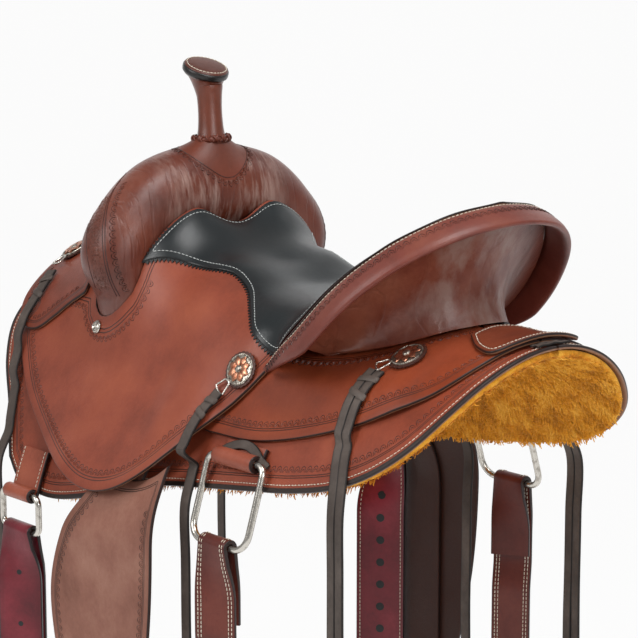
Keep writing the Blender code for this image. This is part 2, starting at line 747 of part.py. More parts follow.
def build_ground_seat():
    plate = outline([(-0.060, 0.050), (0.262, 0.050)],
                    [(0.262, 0.050), (0.272, 0.0), (0.262, -0.050)],
                    [(0.262, -0.050), (-0.060, -0.050)],
                    [(-0.060, -0.050), (-0.060, 0.050)], spacing=0.035)
    low = lambda y, v: bar_level(y, v) + 1.6 * LEATHER_GAP
    data = sheet(plate, low, lambda y, v: low(y, v) + STRAINER_THICK, step=(0.024, 0.016))
    finish("strainer_plate", data, "steel")

    rear = seat_ring(0.52, 5)
    front = [(0.100, 0.078), (0.020, 0.068), (-0.055, 0.066)]
    rear_run = [tuple(p) for p in rear[::-1]]
    loop = outline(rear_run[-1:] + front, [(-0.055, 0.066), (-0.055, -0.066)],
                   [(y, -v) for y, v in reversed(front)] + [tuple(rear[-1])], rear_run,
                   spacing=0.026)
    base = lambda y, v: bar_level(y, v) + 3 * LEATHER_GAP + STRAINER_THICK
    roof = lambda y, v: seat_top(y, v) - SEAT_THICK - 4 * LEATHER_GAP
    finish("ground_seat", sheet(loop, base, roof, step=(0.024, 0.016)), "brown_leather")


# Cantle

def rim_line(count):
    """Places along the seat's rim, from its left corner over the crown to its right corner."""
    flat = curve([(y, v) for y, v, _ in rim_shell()], count // 2)
    left = BACK.point(flat[:, 0], flat[:, 1], seat_top(flat[:, 0], flat[:, 1]))
    return np.vstack([left, left[::-1][1:] * [-1, 1, 1]])


def lip_frame(line):
    """Directions of the roll at each place of the rim: out along the lip, and off its face."""
    tangents = frames(line)
    lips, faces = [], []
    for place, tangent in zip(line, tangents):
        lip = np.array([0.35 * place[0] / 0.160, 0.85, -0.42])
        lip = lip / np.linalg.norm(lip)
        face = np.cross(lip, tangent)
        face = face / np.linalg.norm(face)
        if np.dot(face, [place[0] * 4, 0.3, 1.0]) < 0:
            face = -face
        lips.append(lip)
        faces.append(face)
    return np.array(lips), np.array(faces)


def end_taper(count, share):
    at = np.linspace(0, 1, count)
    return step_up(np.minimum(at, 1 - at), 0.0, share)


def build_roll():
    count = 38
    line = rim_line(count)
    lips, faces = lip_frame(line)
    taper = end_taper(count + 1, 0.14)
    sections = []
    for place, lip, face, share in zip(line, lips, faces, taper):
        width = ROLL_WIDTH * (0.30 + 0.70 * share)
        thick = ROLL_THICK * (0.45 + 0.55 * share)
        sink = thick / 2 - 0.0020 - 0.0075 * (1.0 - share)
        centre = place + lip * (width / 2 + 0.0022) - face * sink
        ring = []
        for k in range(12):
            a = 2 * math.pi * (k + 0.5) / 12
            along = math.copysign(abs(math.cos(a)) ** 0.75, math.cos(a)) * width / 2
            off = math.copysign(abs(math.sin(a)) ** 0.80, math.sin(a)) * thick / 2
            ring.append(centre + lip * along + face * off)
        sections.append(ring)
    finish("cheyenne_roll", loft(sections), "brown_leather")


def cantle_curves(count, inset):
    """Upper and lower edges of the cantle's back, set in from its outer face."""
    line = rim_line(count)
    lips, faces = lip_frame(line)
    taper = end_taper(count + 1, 0.14)[:, None]
    top = line + lips * 0.006 - faces * (ROLL_THICK * (0.45 + 0.55 * taper) + 0.0002)
    turn = np.linspace(math.pi / 2, -math.pi / 2, count + 1)
    x = (CANTLE_BASE_HALF - inset) * np.sin(turn)
    y = CANTLE_BASE_FRONT + (CANTLE_BASE_REAR - CANTLE_BASE_FRONT - inset) * np.cos(turn)
    base = []
    for a, b in zip(x, y):
        y0, v0, _ = BACK.shell((abs(a), b, float(BACK.rise(b)) + 0.02 * (1 - abs(a) / 0.2)))
        height = float(jockey_top(y0, v0)) + LEATHER_GAP
        place = BACK.point(y0, v0, height)
        base.append((math.copysign(place[0], a), place[1], place[2]))
    return top, np.array(base)


def stand_clear(place, seated):
    """Lift a place of the cantle's back clear of the jockeys; a seated one is set on them."""
    for _ in range(5):
        y, v, height = BACK.shell((abs(place[0]), place[1], place[2]))
        short = float(jockey_top(y, v)) + 3.6 * LEATHER_GAP - height
        if seated or short > 0:
            place[2] += short / math.cos(float(np.interp(v, BACK.v, BACK.lean)))


def build_cantle():
    count, steps = 30, 6
    skip = 3
    top, base = cantle_curves(count, 0.0)
    outer = []
    for i in range(skip, count + 1 - skip):
        a, b = top[i], base[i]
        inward = np.array([-a[0] * 0.6, -0.4 * abs(a[1] - 0.15), -0.03])
        row = []
        for k in range(steps + 1):
            t = k / steps
            row.append(a + (b - a) * t + inward * 0.22 * math.sin(math.pi * t))
        outer.append(row)
    outer = np.array(outer)
    down = np.gradient(outer, axis=1)
    along = np.gradient(outer, axis=0)
    normal = np.cross(down, along)
    normal = normal / np.linalg.norm(normal, axis=2)[..., None]
    if normal[len(outer) // 2, steps // 2, 1] < 0:
        normal = -normal
    inner = outer - normal * COVER_THICK
    for edge in (outer, inner):
        for column in (steps - 1, steps):
            for place in edge[:, column]:
                stand_clear(place, column == steps)
    rows, cols = outer.shape[:2]
    ring = [np.vstack([outer[i], inner[i][::-1]]) for i in range(rows)]
    finish("cantle_back", loft(ring), "brown_leather")

    # The cantle board fills the wedge between the seat's leather and its back
    behind = outer - normal * (COVER_THICK + LEATHER_GAP)
    trim = 3
    sections = []
    for i in range(trim, rows - trim):
        share = (i + skip) / count
        rim = seat_ring(0.0, count // 2)[i + skip]
        front = []
        for inset in (0.06, 0.16, 0.28, 0.40):
            y, v = rim + inset * (np.array([0.170, 0.0]) - rim)
            front.append(BACK.point(y, v, float(seat_top(y, v)) - SEAT_THICK - 3 * LEATHER_GAP))
        y, v = rim + 0.40 * (np.array([0.170, 0.0]) - rim)
        floor = float(bar_level(y, v)) + 2 * LEATHER_GAP + max(STRAINER_THICK, JOCKEY_THICK)
        foot = BACK.point(y, v, floor)
        rear = [behind[i][k] for k in (5, 4, 3, 2, 1)]
        sections.append(front + [foot] + rear)
    finish("tree_cantle", loft(sections), "wood")


def front_jockey_loop():
    return outline([(-0.192, 0.028), (-0.275, 0.026), (-0.308, 0.045), (-0.317, 0.085),
                    (-0.312, 0.125), (-0.292, 0.148), (-0.262, 0.148), (-0.236, 0.130),
                    (-0.212, 0.112), (-0.192, 0.100)],
                   [(-0.192, 0.100), (-0.192, 0.028)], spacing=0.022)


def rear_jockey_loop():
    base = []
    for turn in np.linspace(math.pi / 2, 0.03, 7):
        x = (CANTLE_BASE_HALF - 0.012) * math.sin(turn)
        y = CANTLE_BASE_FRONT + (CANTLE_BASE_REAR - CANTLE_BASE_FRONT - 0.012) * math.cos(turn)
        _, v, _ = BACK.shell((x, y, float(BACK.rise(y)) + 0.02 * (1 - x / 0.2)))
        base.append((y, max(v, 0.0015)))
    base[-1] = (base[-1][0], 0.0015)
    start = (0.060, 0.168)
    lower = [start, (0.074, 0.183), (0.110, 0.186), (0.177, 0.184), (0.267, 0.163),
             (0.335, 0.136), (0.378, 0.104), (0.398, 0.066), (0.404, 0.030), (0.406, 0.0015)]
    return outline(lower, [lower[-1], base[-1]], list(reversed(base)),
                   [base[0], (0.084, 0.132), start], spacing=0.022)


def build_jockeys():
    both_sides("rear_jockey", sheet(rear_jockey_loop(), jockey_low, jockey_top), "brown_leather")

    # The front jockey lies over the flap's upper corner, in front of the swell
    over = lambda y, v: np.maximum(seat_top(y, v), flap_low(y, v) + SEAT_THICK) + 1.5 * LEATHER_GAP
    above = lambda y, v: over(y, v) + JOCKEY_THICK
    data = sheet(front_jockey_loop(), over, above, step=(0.026, 0.020))
    both_sides("front_jockey", data, "brown_leather")

    plate = outline([(0.345, 0.030), (0.372, 0.046), (0.400, 0.052), (0.410, 0.030),
                     (0.412, 0.0), (0.410, -0.030), (0.400, -0.052), (0.372, -0.046),
                     (0.345, -0.030)],
                    [(0.345, -0.030), (0.341, 0.0), (0.345, 0.030)], spacing=0.018)
    low = lambda y, v: jockey_top(y, v) + 1.6 * LEATHER_GAP
    finish("back_plate", sheet(plate, low, lambda y, v: low(y, v) + PLATE_THICK), "brown_leather")


def build_lace():
    """The thong that ties the two skirts together behind the back plate."""
    low = lambda y, v: np.full(np.shape(y), SKIRT_TOP + LEATHER_GAP)
    loop = outline([(0.4135, 0.020), (0.4260, 0.020)], [(0.4260, 0.020), (0.4260, -0.020)],
                   [(0.4260, -0.020), (0.4135, -0.020)], [(0.4135, -0.020), (0.4135, 0.020)], spacing=0.010)
    data = sheet(loop, low, lambda y, v: low(y, v) + 0.0025, step=(0.006, 0.010))
    finish("skirt_lace", data, "dark_latigo")


# Rigging

def hang_point(y, v, off):
    return BACK.point(y, v, SKIRT_TOP + 1.55 * LEATHER_GAP + off)


def tilt_about(path, bar, angle):
    """Places turned outward about a bar that runs along Y."""
    turned = []
    for x, y, z in path:
        dx, dz = x - bar[0], z - bar[2]
        turned.append((bar[0] + dx * math.cos(angle) - dz * math.sin(angle), y,
                       bar[2] + dx * math.sin(angle) + dz * math.cos(angle)))
    return turned


def rigging_loop(v_start, v_bar, y_middle, width, wall):
    """Strap that lies on the skirt and turns round the bar of a ring; also the bar's place."""
    bore = WIRE + 0.0006
    radius = bore + wall / 2
    bar = hang_point(y_middle, v_bar, wall + bore)
    lean = float(np.interp(v_bar, BACK.v, BACK.lean))
    out = np.array([math.sin(lean), 0.0, math.cos(lean)])
    down = np.array([math.cos(lean), 0.0, -math.sin(lean)])
    path = [hang_point(y_middle, v, wall / 2) for v in np.linspace(v_start, v_bar - 0.005, 3)]
    path += [bar + radius * (-math.cos(a) * out + math.sin(a) * down)
             for a in np.radians(np.linspace(0, 285, 14))]
    return ribbon(np.array(path), np.array([0.0, 1.0, 0.0]), width, wall), bar


def ring_path(bar, width, drop, corner, square):
    """Ring in the plane x = bar's x: a straight top bar and rounded sides."""
    x, y, z = bar
    half = width / 2
    points = []
    corners = ((half - corner, -corner, 90), (half - square, -drop + square, 0),
               (-half + square, -drop + square, -90), (-half + corner, -corner, 180))
    for centre_y, centre_z, start in corners:
        size = corner if centre_z == -corner else square
        for k in range(6):
            a = math.radians(start - 90 * k / 5)
            points.append((x, y + centre_y + size * math.cos(a), z + centre_z + size * math.sin(a)))
    return points


def strap_on_ring(bottom, width, thick, twist, layers_end, reach):
    """Strap folded round the bottom wire: a long outer run and a short inner one."""
    radius = WIRE + 0.0006 + thick / 2
    x, y, z = bottom
    path, across = [], []
    short = np.linspace(reach, 0.02, 4)
    for drop in short:
        path.append((x - radius, y, z - drop))
        across.append(drop)
    for a in np.radians(np.linspace(180, 0, 9)):
        path.append((x + radius * math.cos(a), y, z + radius * math.sin(a)))
        across.append(0.0)
    for drop in np.linspace(0.02, z - layers_end, 9):
        path.append((x + radius, y, z - drop))
        across.append(drop)
    sides = []
    for drop in across:
        a = twist * float(step_up(drop, 0.0, 0.060))
        sides.append((math.sin(a), math.cos(a), 0.0))
    turned = []
    for (px, py, pz), (sx, sy, _) in zip(path, sides):
        offset = (px - x) * (1.0 - float(step_up(z - pz, reach + 0.005, reach + 0.045)))
        turned.append((x + offset * sy, y - offset * sx, pz))
    return ribbon(np.array(turned), np.array(sides), width, thick)


def build_rigging():
    strap, bar = rigging_loop(0.190, RING_V, RING_Y, RING_WIDTH - 0.026, LOOP_WALL)
    both_sides("rear_rigging_strap", strap, "brown_leather")
    ring = tilt_about(ring_path(bar, RING_WIDTH, RING_DROP, 0.010, 0.018), bar, RING_LEAN)
    normal = (math.cos(RING_LEAN), 0.0, math.sin(RING_LEAN))
    both_sides("rear_ring", wire_loop(ring, WIRE, normal, sides=6), "nickel")
    bottom = tilt_about([(bar[0], bar[1], bar[2] - RING_DROP)], bar, RING_LEAN)[0]
    size = (BILLET_WIDTH, STRAP_THICK)
    billet = strap_on_ring(bottom, *size, math.radians(-32), STRAP_END_Z, 0.085)
    other = strap_on_ring(bottom, *size, math.radians(32), STRAP_END_Z, 0.085)
    finish("rear_billet_left", billet, "brown_leather")
    finish("rear_billet_right", mirrored(other), "brown_leather")

    strap, bar = rigging_loop(0.262, DEE_V, DEE_Y, DEE_WIDTH - 0.022, LOOP_WALL - 0.001)
    both_sides("front_rigging_strap", strap, "brown_leather")
    dee = ring_path(bar, DEE_WIDTH, DEE_DROP, 0.010, 0.009)
    both_sides("front_dee", wire_loop(dee, WIRE, (1.0, 0.0, 0.0), sides=6), "nickel")
    bottom = (bar[0], bar[1], bar[2] - DEE_DROP)
    turn = math.radians(-38)
    latigo = strap_on_ring(bottom, LATIGO_WIDTH, STRAP_THICK, turn, STRAP_END_Z, 0.240)
    finish("latigo_left", latigo, "burgundy")

    # The off billet is sewn to the skirt's lower edge and hangs inside the fender
    path, across = [], []
    for v in (0.266, 0.276, 0.286, 0.296):
        height = SKIRT_TOP + 1.5 * LEATHER_GAP + STRAP_THICK / 2
        path.append(BACK.point(OFF_BILLET_Y, v, height))
        across.append((0.0, 1.0, 0.0))
    edge = path[-1]
    for z in np.linspace(edge[2] - 0.014, STRAP_END_Z, 12):
        share = float(step_up(edge[2] - z, 0.0, 0.075))
        turn = math.radians(38) * share
        path.append(np.array([edge[0] + (OFF_BILLET_X - edge[0]) * share, OFF_BILLET_Y, z]))
        across.append((math.sin(turn), math.cos(turn), 0.0))
    billet = ribbon(np.array(path), np.array(across), OFF_BILLET_WIDTH, STRAP_THICK)
    finish("off_billet_right", mirrored(billet), "burgundy")


# Fender and stirrup

def hang_face(radius):
    """Distance from the middle of the inner face of what swings, by distance from its pivot."""
    deep = np.linspace(0.0, 0.30, 61)
    skirt = []
    for r in deep:
        z = SWING_Z - r
        v = float(np.interp(-z, -BACK.point(SWING_Y, BACK.v, SKIRT_TOP)[:, 2], BACK.v))
        skirt.append(float(BACK.point(SWING_Y, v, SKIRT_TOP)[0]) + 1.1 * LEATHER_GAP)
    blend = step_up(deep, 0.120, 0.214)
    face = np.array(skirt) * (1 - blend) + HANG_X * blend
    return np.interp(radius, deep, np.minimum(face, HANG_X))


def swing_place(y, z, h):
    """Surface turned about the swing's axis, so that swinging keeps it in its own track."""
    radius = np.hypot(y - SWING_Y, z - SWING_Z)
    return np.stack([hang_face(radius) + h, y, z], axis=-1)


def swing_slope(y, z):
    """Extra thickness along X where the track slopes."""
    radius = np.hypot(y - SWING_Y, z - SWING_Z)
    slope = (hang_face(radius + 0.004) - hang_face(radius - 0.004)) / 0.008
    return np.sqrt(1 + slope * slope)


def build_stirrup_side():
    half = LEATHER_WIDTH / 2
    top = SWING_Z - 0.054
    bolt_z = SWING_Z - BOLT_DROP
    end = bolt_z + 0.030
    strap = outline([(SWING_Y - half, top), (SWING_Y - half, end)],
                    [(SWING_Y - half, end), (SWING_Y + half, end)],
                    [(SWING_Y + half, end), (SWING_Y + half, top)],
                    [(SWING_Y + half, top), (SWING_Y - half, top)], spacing=0.030)
    thick = lambda y, z: LEATHER_THICK * swing_slope(y, z)
    data = sheet(strap, level(0.0), thick, place=swing_place, step=(0.044, 0.016))
    leather = finish("stirrup_leather_left", data, "brown_leather")

    # The leather's lower end turns round the stirrup's bolt
    x = HANG_X + LEATHER_THICK / 2
    radius = BOLT_RADIUS + 0.0006 + LEATHER_THICK / 2
    centre = x + radius
    path = [(x, SWING_Y, end + 0.010), (x, SWING_Y, end), (x, SWING_Y, bolt_z + 0.010)]
    path += [(centre - radius * math.cos(a), SWING_Y, bolt_z - radius * math.sin(a))
             for a in np.radians(np.linspace(0, 300, 13))]
    loop = ribbon(np.array(path), np.array([0.0, 1.0, 0.0]), LEATHER_WIDTH - 2 * FIT, LEATHER_THICK)
    eye = finish("leather_eye_tool", loop, "brown_leather")
    union = leather.modifiers.new("eye", "BOOLEAN")
    union.operation = "UNION"
    union.solver = "EXACT"
    union.object = eye
    eye.hide_render = True
    eye.display_type = "WIRE"
    return centre, bolt_z


def fender_outline():
    """Fender seen from the side, measured from the swing's axis; its top follows an arc."""
    low = -FENDER_TOP - FENDER_LENGTH
    turns = np.radians((-13.0, 0.0, 13.0, 26.0, 38.0))
    top = [(FENDER_TOP * math.sin(a), -FENDER_TOP * math.cos(a)) for a in turns]
    rear = [top[-1], (0.086, -0.130), (0.086, -0.217), (0.078, -0.300), (0.055, -0.400),
            (0.038, -0.480), (0.036, low)]
    front = [(-0.036, low), (-0.040, -0.480), (-0.066, -0.400), (-0.094, -0.320),
             (-0.098, -0.262), (-0.077, -0.202), (-0.046, -0.158), top[0]]
    runs = [[(SWING_Y + y, SWING_Z + z) for y, z in run] for run in (rear, front, top)]
    return outline(runs[0], [runs[0][-1], runs[1][0]], runs[1], runs[2], spacing=0.024)


def build_fender():
    low = lambda y, z: (LEATHER_THICK + 1.3 * LEATHER_GAP) * swing_slope(y, z)
    high = lambda y, z: low(y, z) + FENDER_THICK * swing_slope(y, z)
    data = sheet(fender_outline(), low, high, place=swing_place, step=(0.044, 0.016))
    both_sides("fender", data, "brown_leather")

    # The hobble strap holds fender and leather together above the stirrup
    z = SWING_Z - FENDER_TOP - FENDER_LENGTH + 0.030
    half = 0.036 + 0.004
    inner = HANG_X - 0.0008
    outer = HANG_X + LEATHER_THICK + LEATHER_GAP + FENDER_THICK + 0.0008
    wall = 0.003
    box = lambda grow: [(inner - grow, SWING_Y - half - grow),
                        (outer + grow, SWING_Y - half - grow),
                        (outer + grow, SWING_Y + half + grow),
                        (inner - grow, SWING_Y + half + grow)]
    sections = [[(a, b, z - 0.0125) for a, b in box(wall)], [(a, b, z + 0.0125) for a, b in box(wall)]]
    holes = [[(a, b, z - 0.0125) for a, b in box(0.0)], [(a, b, z + 0.0125) for a, b in box(0.0)]]
    both_sides("hobble_strap", shell_loft(sections, holes), "brown_leather")


def build_stirrup(centre_x, bolt_z):
    """Bell stirrup: a bent wooden bow with a flat tread, under a round bolt."""
    half_neck, half_tread = STIRRUP_NECK / 2, STIRRUP_WIDTH / 2
    top = bolt_z + 0.016
    bottom = top - STIRRUP_HEIGHT
    wall = STIRRUP_WALL
    side = [(half_neck, top, 0.024), (half_neck + 0.003, top - 0.030, 0.028),
            (half_tread - 0.010, top - 0.080, 0.036), (half_tread - 0.002, top - 0.112, 0.048),
            (half_tread - 0.008, bottom + wall / 2 + 0.002, TREAD_DEPTH)]
    left = curve(side, 8)
    flat = np.array([(half_tread * s, bottom + wall / 2, TREAD_DEPTH) for s in (0.6, 0.3, 0.0)])
    path = np.vstack([left, flat, flat[:-1][::-1] * [-1, 1, 1], left[::-1] * [-1, 1, 1]])
    tangents = frames(path[:, :2])
    sections = []
    for (y, z, depth), tangent in zip(path, tangents):
        out = np.array([-tangent[1], tangent[0]]) * wall / 2
        ring = []
        for across, thick in ((-0.5, 0.75), (-0.42, 1.0), (0.42, 1.0), (0.5, 0.75),
                              (0.5, -0.75), (0.42, -1.0), (-0.42, -1.0), (-0.5, -0.75)):
            ring.append((centre_x + across * depth, SWING_Y + y + out[0] * thick, z + out[1] * thick))
        sections.append(ring)
    finish_pair = loft(sections)
    for side_name, data in (("left", finish_pair), ("right", mirrored(finish_pair))):
        stirrup = finish("stirrup_" + side_name, data, "wood")
        sign = 1 if side_name == "left" else -1
        hole = round_profile([(BOLT_RADIUS + FIT, -0.07), (BOLT_RADIUS + FIT, 0.07)],
                             (sign * centre_x, SWING_Y, bolt_z), (0, 1, 0), 16)
        cut(stirrup, finish("bolt_cutter_" + side_name, hole, "steel"))
        reach = half_neck + wall / 2 + 0.0040
        head = 0.0075
        profile = [(head, -reach - 0.004), (head, -reach), (BOLT_RADIUS, -reach),
                   (BOLT_RADIUS, reach), (head, reach), (head, reach + 0.004)]
        bolt = round_profile(profile, (sign * centre_x, SWING_Y, bolt_z), (0, 1, 0), 12)
        finish("stirrup_bolt_" + side_name, bolt, "steel")


def build_stirrups():
    centre_x, bolt_z = build_stirrup_side()
    left = bpy.data.objects["stirrup_leather_left"]
    right = bpy.data.objects.new("stirrup_leather_right", left.data.copy())
    flip_x(right.data)
    bpy.context.scene.collection.objects.link(right)
    eye = bpy.data.objects["leather_eye_tool"]
    other = bpy.data.objects.new("leather_eye_tool_right", eye.data.copy())
    flip_x(other.data)
    bpy.context.scene.collection.objects.link(other)
    other.hide_render = True
    other.display_type = "WIRE"
    union = right.modifiers.new("eye", "BOOLEAN")
    union.operation = "UNION"
    union.solver = "EXACT"
    union.object = other
    build_fender()
    build_stirrup(centre_x, bolt_z)


def flip_x(mesh):
    """The mesh mirrored across the middle of the saddle."""
    for vertex in mesh.vertices:
        vertex.co.x = -vertex.co.x
    mesh.flip_normals()


# Conchos and strings

def concho_loop(radius, turn):
    """Round disc with a small tab, where its thong's clip hangs."""
    tab = 0.010
    half = math.radians(15)
    points = []
    for k in range(17):
        a = turn + half + (2 * math.pi - 2 * half) * k / 16
        points.append((radius * math.cos(a), radius * math.sin(a)))
    for side in (-1, 1):
        width = radius * math.sin(half) * side
        along = radius + tab
        points.append((along * math.cos(turn) - width * math.sin(turn),
                       along * math.sin(turn) + width * math.cos(turn)))
    return np.array(points)


def plane_at(y, v, height):
    """Flat ground touching a leather face: maps (along y, down the side, off) to the world."""
    centre = BACK.point(y, v, height(y, v))
    at = lambda a, b: BACK.point(a, b, height(a, b))
    ahead = at(y + 0.012, v) - at(y - 0.012, v)
    down = at(y, v + 0.012) - at(y, v - 0.012)
    ahead = ahead / np.linalg.norm(ahead)
    off = np.cross(down, ahead)
    off = off / np.linalg.norm(off)
    if off[0] < 0:
        off = -off
    down = np.cross(ahead, off)
    if down[2] > 0:
        down = -down

    def ground(a, b, h):
        flat = np.multiply.outer(a, ahead) + np.multiply.outer(b, down)
        return centre + flat + np.multiply.outer(h, off)

    return ground


def front_jockey_top(y, v):
    over = np.maximum(seat_top(y, v), flap_low(y, v) + SEAT_THICK)
    return over + 1.5 * LEATHER_GAP + JOCKEY_THICK


CONCHOS = (("front", -0.291, 0.055, 1.45, 0.0012, front_jockey_top),
           ("middle", 0.111, 0.1250, 2.15, 0.0026, seat_top),
           ("rear", 0.3110, 0.0765, 2.30, 0.0010, jockey_top))


def build_conchos():
    for name, y, v, turn, stand, ground in CONCHOS:
        def dome(a, b, base=stand):
            spread = np.clip(np.hypot(a, b) / CONCHO_RADIUS, 0, 1)
            return base + 0.0022 + CONCHO_HEIGHT * np.sqrt(1 - 0.96 * spread ** 2)

        data = sheet(concho_loop(CONCHO_RADIUS, turn), level(stand), dome,
                     place=plane_at(y, v, ground), step=(0.010, 0.010))
        both_sides("concho_" + name, data, "nickel")

    turns = np.linspace(0, 2 * math.pi, 13)[:-1]
    ring = 0.0075 * np.stack([np.cos(turns), np.sin(turns)], axis=1)
    data = sheet(ring, level(0.0010), level(0.0036), place=plane_at(-0.146, 0.124, seat_top),
                 step=(0.006, 0.006))
    both_sides("swell_ferrule", data, "nickel")


# Each thong on its way down: places (y, v) over the leather, then where it hangs (x, y)
STRING_ROUTES = {
    "front_left": (((-0.290, 0.088), (-0.284, 0.112), (-0.285, 0.141), (-0.277, 0.169),
                    (-0.266, 0.196), (-0.253, 0.227), (-0.242, 0.258)),
                   (0.2205, -0.2310), 0.0145),
    "front_right": (((-0.290, 0.088), (-0.297, 0.112), (-0.305, 0.138), (-0.314, 0.165)),
                    (0.1690, -0.3240), 0.0145),
    "middle_left": (((0.092, 0.156), (0.087, 0.168), (0.084, 0.184), (0.085, 0.207), (0.090, 0.233)),
                    (0.2010, 0.0950), 0.0145),
    "middle_right": (((0.092, 0.156), (0.087, 0.168), (0.084, 0.184), (0.085, 0.207), (0.090, 0.233)),
                     (0.2010, 0.0950), 0.0145),
    "rear_left": (((0.290, 0.104), (0.288, 0.121), (0.287, 0.137), (0.290, 0.158),
                   (0.300, 0.186), (0.311, 0.210)),
                  (0.1905, 0.3220), 0.0235),
    "rear_right": (((0.290, 0.104), (0.286, 0.121), (0.281, 0.137), (0.275, 0.160),
                    (0.270, 0.188), (0.268, 0.218)),
                   (0.1955, 0.2680), 0.0235),
}


def within(loop, y, v, margin):
    """Whether a place lies inside an outline, or nearer to it than the margin."""
    spot = np.array([y, v])
    after = np.roll(loop, -1, axis=0)
    crosses = (loop[:, 1] > v) != (after[:, 1] > v)
    rise = np.where(after[:, 1] == loop[:, 1], 1.0, after[:, 1] - loop[:, 1])
    at = loop[:, 0] + (v - loop[:, 1]) / rise * (after[:, 0] - loop[:, 0])
    if (crosses & (y < at)).sum() % 2:
        return True
    run = after - loop
    share = np.clip(((spot - loop) * run).sum(axis=1) / np.maximum((run * run).sum(axis=1), 1e-12), 0, 1)
    return bool(np.linalg.norm(loop + share[:, None] * run - spot, axis=1).min() < margin)


def build_strings():
    covers = ((seat_outline(), seat_top), (rear_jockey_loop(), jockey_top),
              (front_jockey_loop(), front_jockey_top))

    def ground(y, v):
        heights = [float(top(y, v)) for loop, top in covers if within(loop, y, v, 0.009)]
        return max([SKIRT_TOP] + heights)

    for name, (places, (x, y), width) in STRING_ROUTES.items():
        path = []
        for a, b in curve(places, 14):
            around = ((0.0, 0.0), (width / 2, 0.0), (-width / 2, 0.0), (0.0, 0.008), (0.0, -0.008))
            height = max(ground(a + da, b + db) for da, db in around)
            path.append(tuple(BACK.point(a, b, height + 1.15 * LEATHER_GAP + STRING_THICK / 2)))
        low = path[-1][2]
        path += [(x, y, low - drop) for drop in (0.028, 0.090, 0.190)]
        path += [(x, y, STRING_END_Z)]
        data = ribbon(curve(path, 24), np.array([0.0, 1.0, 0.0]), width, STRING_THICK)
        finish("string_" + name, data if name.endswith("left") else mirrored(data), "dark_latigo")


def main():
    clear_scene()
    build_skirts()
    build_bars()
    build_fork()
    build_ground_seat()
    build_cantle()
    build_roll()
    build_jockeys()
    build_seat()
    build_lace()
    build_rigging()
    build_stirrups()
    build_conchos()
    build_strings()


main()
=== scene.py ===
"""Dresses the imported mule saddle: tooled leather, stitching, conchos, thongs, rings and fleece.

Metres, +Z up, +X the rider's left, -Y forward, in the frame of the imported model. Leather lies in
shell coordinates: y along the saddle, v the way down the mule's side, h the height off its back.
"""
from __future__ import annotations

import json
import logging
import math
from dataclasses import dataclass, field
from enum import Enum
from functools import reduce
from typing import Callable, Sequence

import bpy
import numpy as np
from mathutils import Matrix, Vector
from mathutils.bvhtree import BVHTree
from mathutils.geometry import delaunay_2d_cdt

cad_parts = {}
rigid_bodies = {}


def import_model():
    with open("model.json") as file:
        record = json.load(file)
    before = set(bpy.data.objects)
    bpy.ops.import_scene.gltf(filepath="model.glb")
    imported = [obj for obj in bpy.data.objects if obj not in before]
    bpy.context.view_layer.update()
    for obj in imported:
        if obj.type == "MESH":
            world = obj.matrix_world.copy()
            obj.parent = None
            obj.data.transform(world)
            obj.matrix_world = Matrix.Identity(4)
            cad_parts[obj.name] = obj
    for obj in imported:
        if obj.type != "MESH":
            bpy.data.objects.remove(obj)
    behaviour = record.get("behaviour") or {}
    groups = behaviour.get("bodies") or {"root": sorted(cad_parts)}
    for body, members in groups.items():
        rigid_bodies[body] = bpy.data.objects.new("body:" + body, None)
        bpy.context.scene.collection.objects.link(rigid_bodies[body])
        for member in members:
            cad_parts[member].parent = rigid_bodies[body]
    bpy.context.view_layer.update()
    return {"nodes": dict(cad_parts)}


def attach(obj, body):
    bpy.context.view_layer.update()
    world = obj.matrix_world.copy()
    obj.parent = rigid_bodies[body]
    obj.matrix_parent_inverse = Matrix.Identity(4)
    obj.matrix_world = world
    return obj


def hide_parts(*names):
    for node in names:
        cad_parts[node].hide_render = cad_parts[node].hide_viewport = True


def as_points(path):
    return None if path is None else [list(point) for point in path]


LOG = logging.getLogger("saddle")
Height = Callable[[np.ndarray, np.ndarray], np.ndarray]
Place = Callable[[np.ndarray, np.ndarray, np.ndarray], np.ndarray]
Frame = dict[str, object]

GAP = 0.0010
WIRE = 0.0036
FACES = ((1, "outer"), (-1, "inner"))

DYE_SCALE = 14.0
GRAIN_SCALE = 240.0
PIT_SCALE = 780.0
STREAK_SCALE = 130.0
# painted sheen, with some wax bloom, on moulded leather: its patch size, and the half width and outer end of
# the band about the middle line that holds it
SHEEN_BLOOM_SCALE = 19.0
SHEEN_MIDDLE_HALF, SHEEN_MIDDLE_END = 0.036, 0.090


class Side(Enum):
    """The two sides of the saddle, by the sign of X."""

    LEFT = 1
    RIGHT = -1

    @property
    def word(self) -> str:
        """The side's name as it ends a piece's name."""
        return self.name.lower()


# ---------------------------------------------------------------- small helpers

def shown(obj: bpy.types.Object) -> bpy.types.Object:
    """Puts an object into the scene."""
    bpy.context.scene.collection.objects.link(obj)
    return obj


def aimed(obj: bpy.types.Object, place: Vector, way: Vector) -> bpy.types.Object:
    """Puts a camera or lamp at a place, looking a way.

    Args:
        obj: the object.
        place: its place.
        way: the direction it looks in.

    Returns:
        The object.
    """
    obj.location = place
    obj.rotation_mode = "QUATERNION"
    obj.rotation_quaternion = way.to_track_quat("-Z", "Y")
    return shown(obj)


def run_along(line: np.ndarray) -> np.ndarray:
    """Length along a line, at each of its places."""
    return np.concatenate([[0.0], np.cumsum(np.linalg.norm(np.diff(line, axis=0), axis=1))])


def circle(axis: np.ndarray, count: int) -> tuple[np.ndarray, np.ndarray]:
    """Directions out from an axis and on round it, at equal steps.

    Args:
        axis: the axis it goes round.
        count: how many.

    Returns:
        Directions out, and directions on round.
    """
    first = np.cross(axis, [1.0, 0.0, 0.0])
    first = first / np.linalg.norm(first)
    second = np.cross(axis, first)
    turns = np.linspace(0, 2 * math.pi, count, endpoint=False)[:, None]
    return np.cos(turns) * first + np.sin(turns) * second, np.cos(turns) * second - np.sin(turns) * first


# ---------------------------------------------------------------- lines and outlines

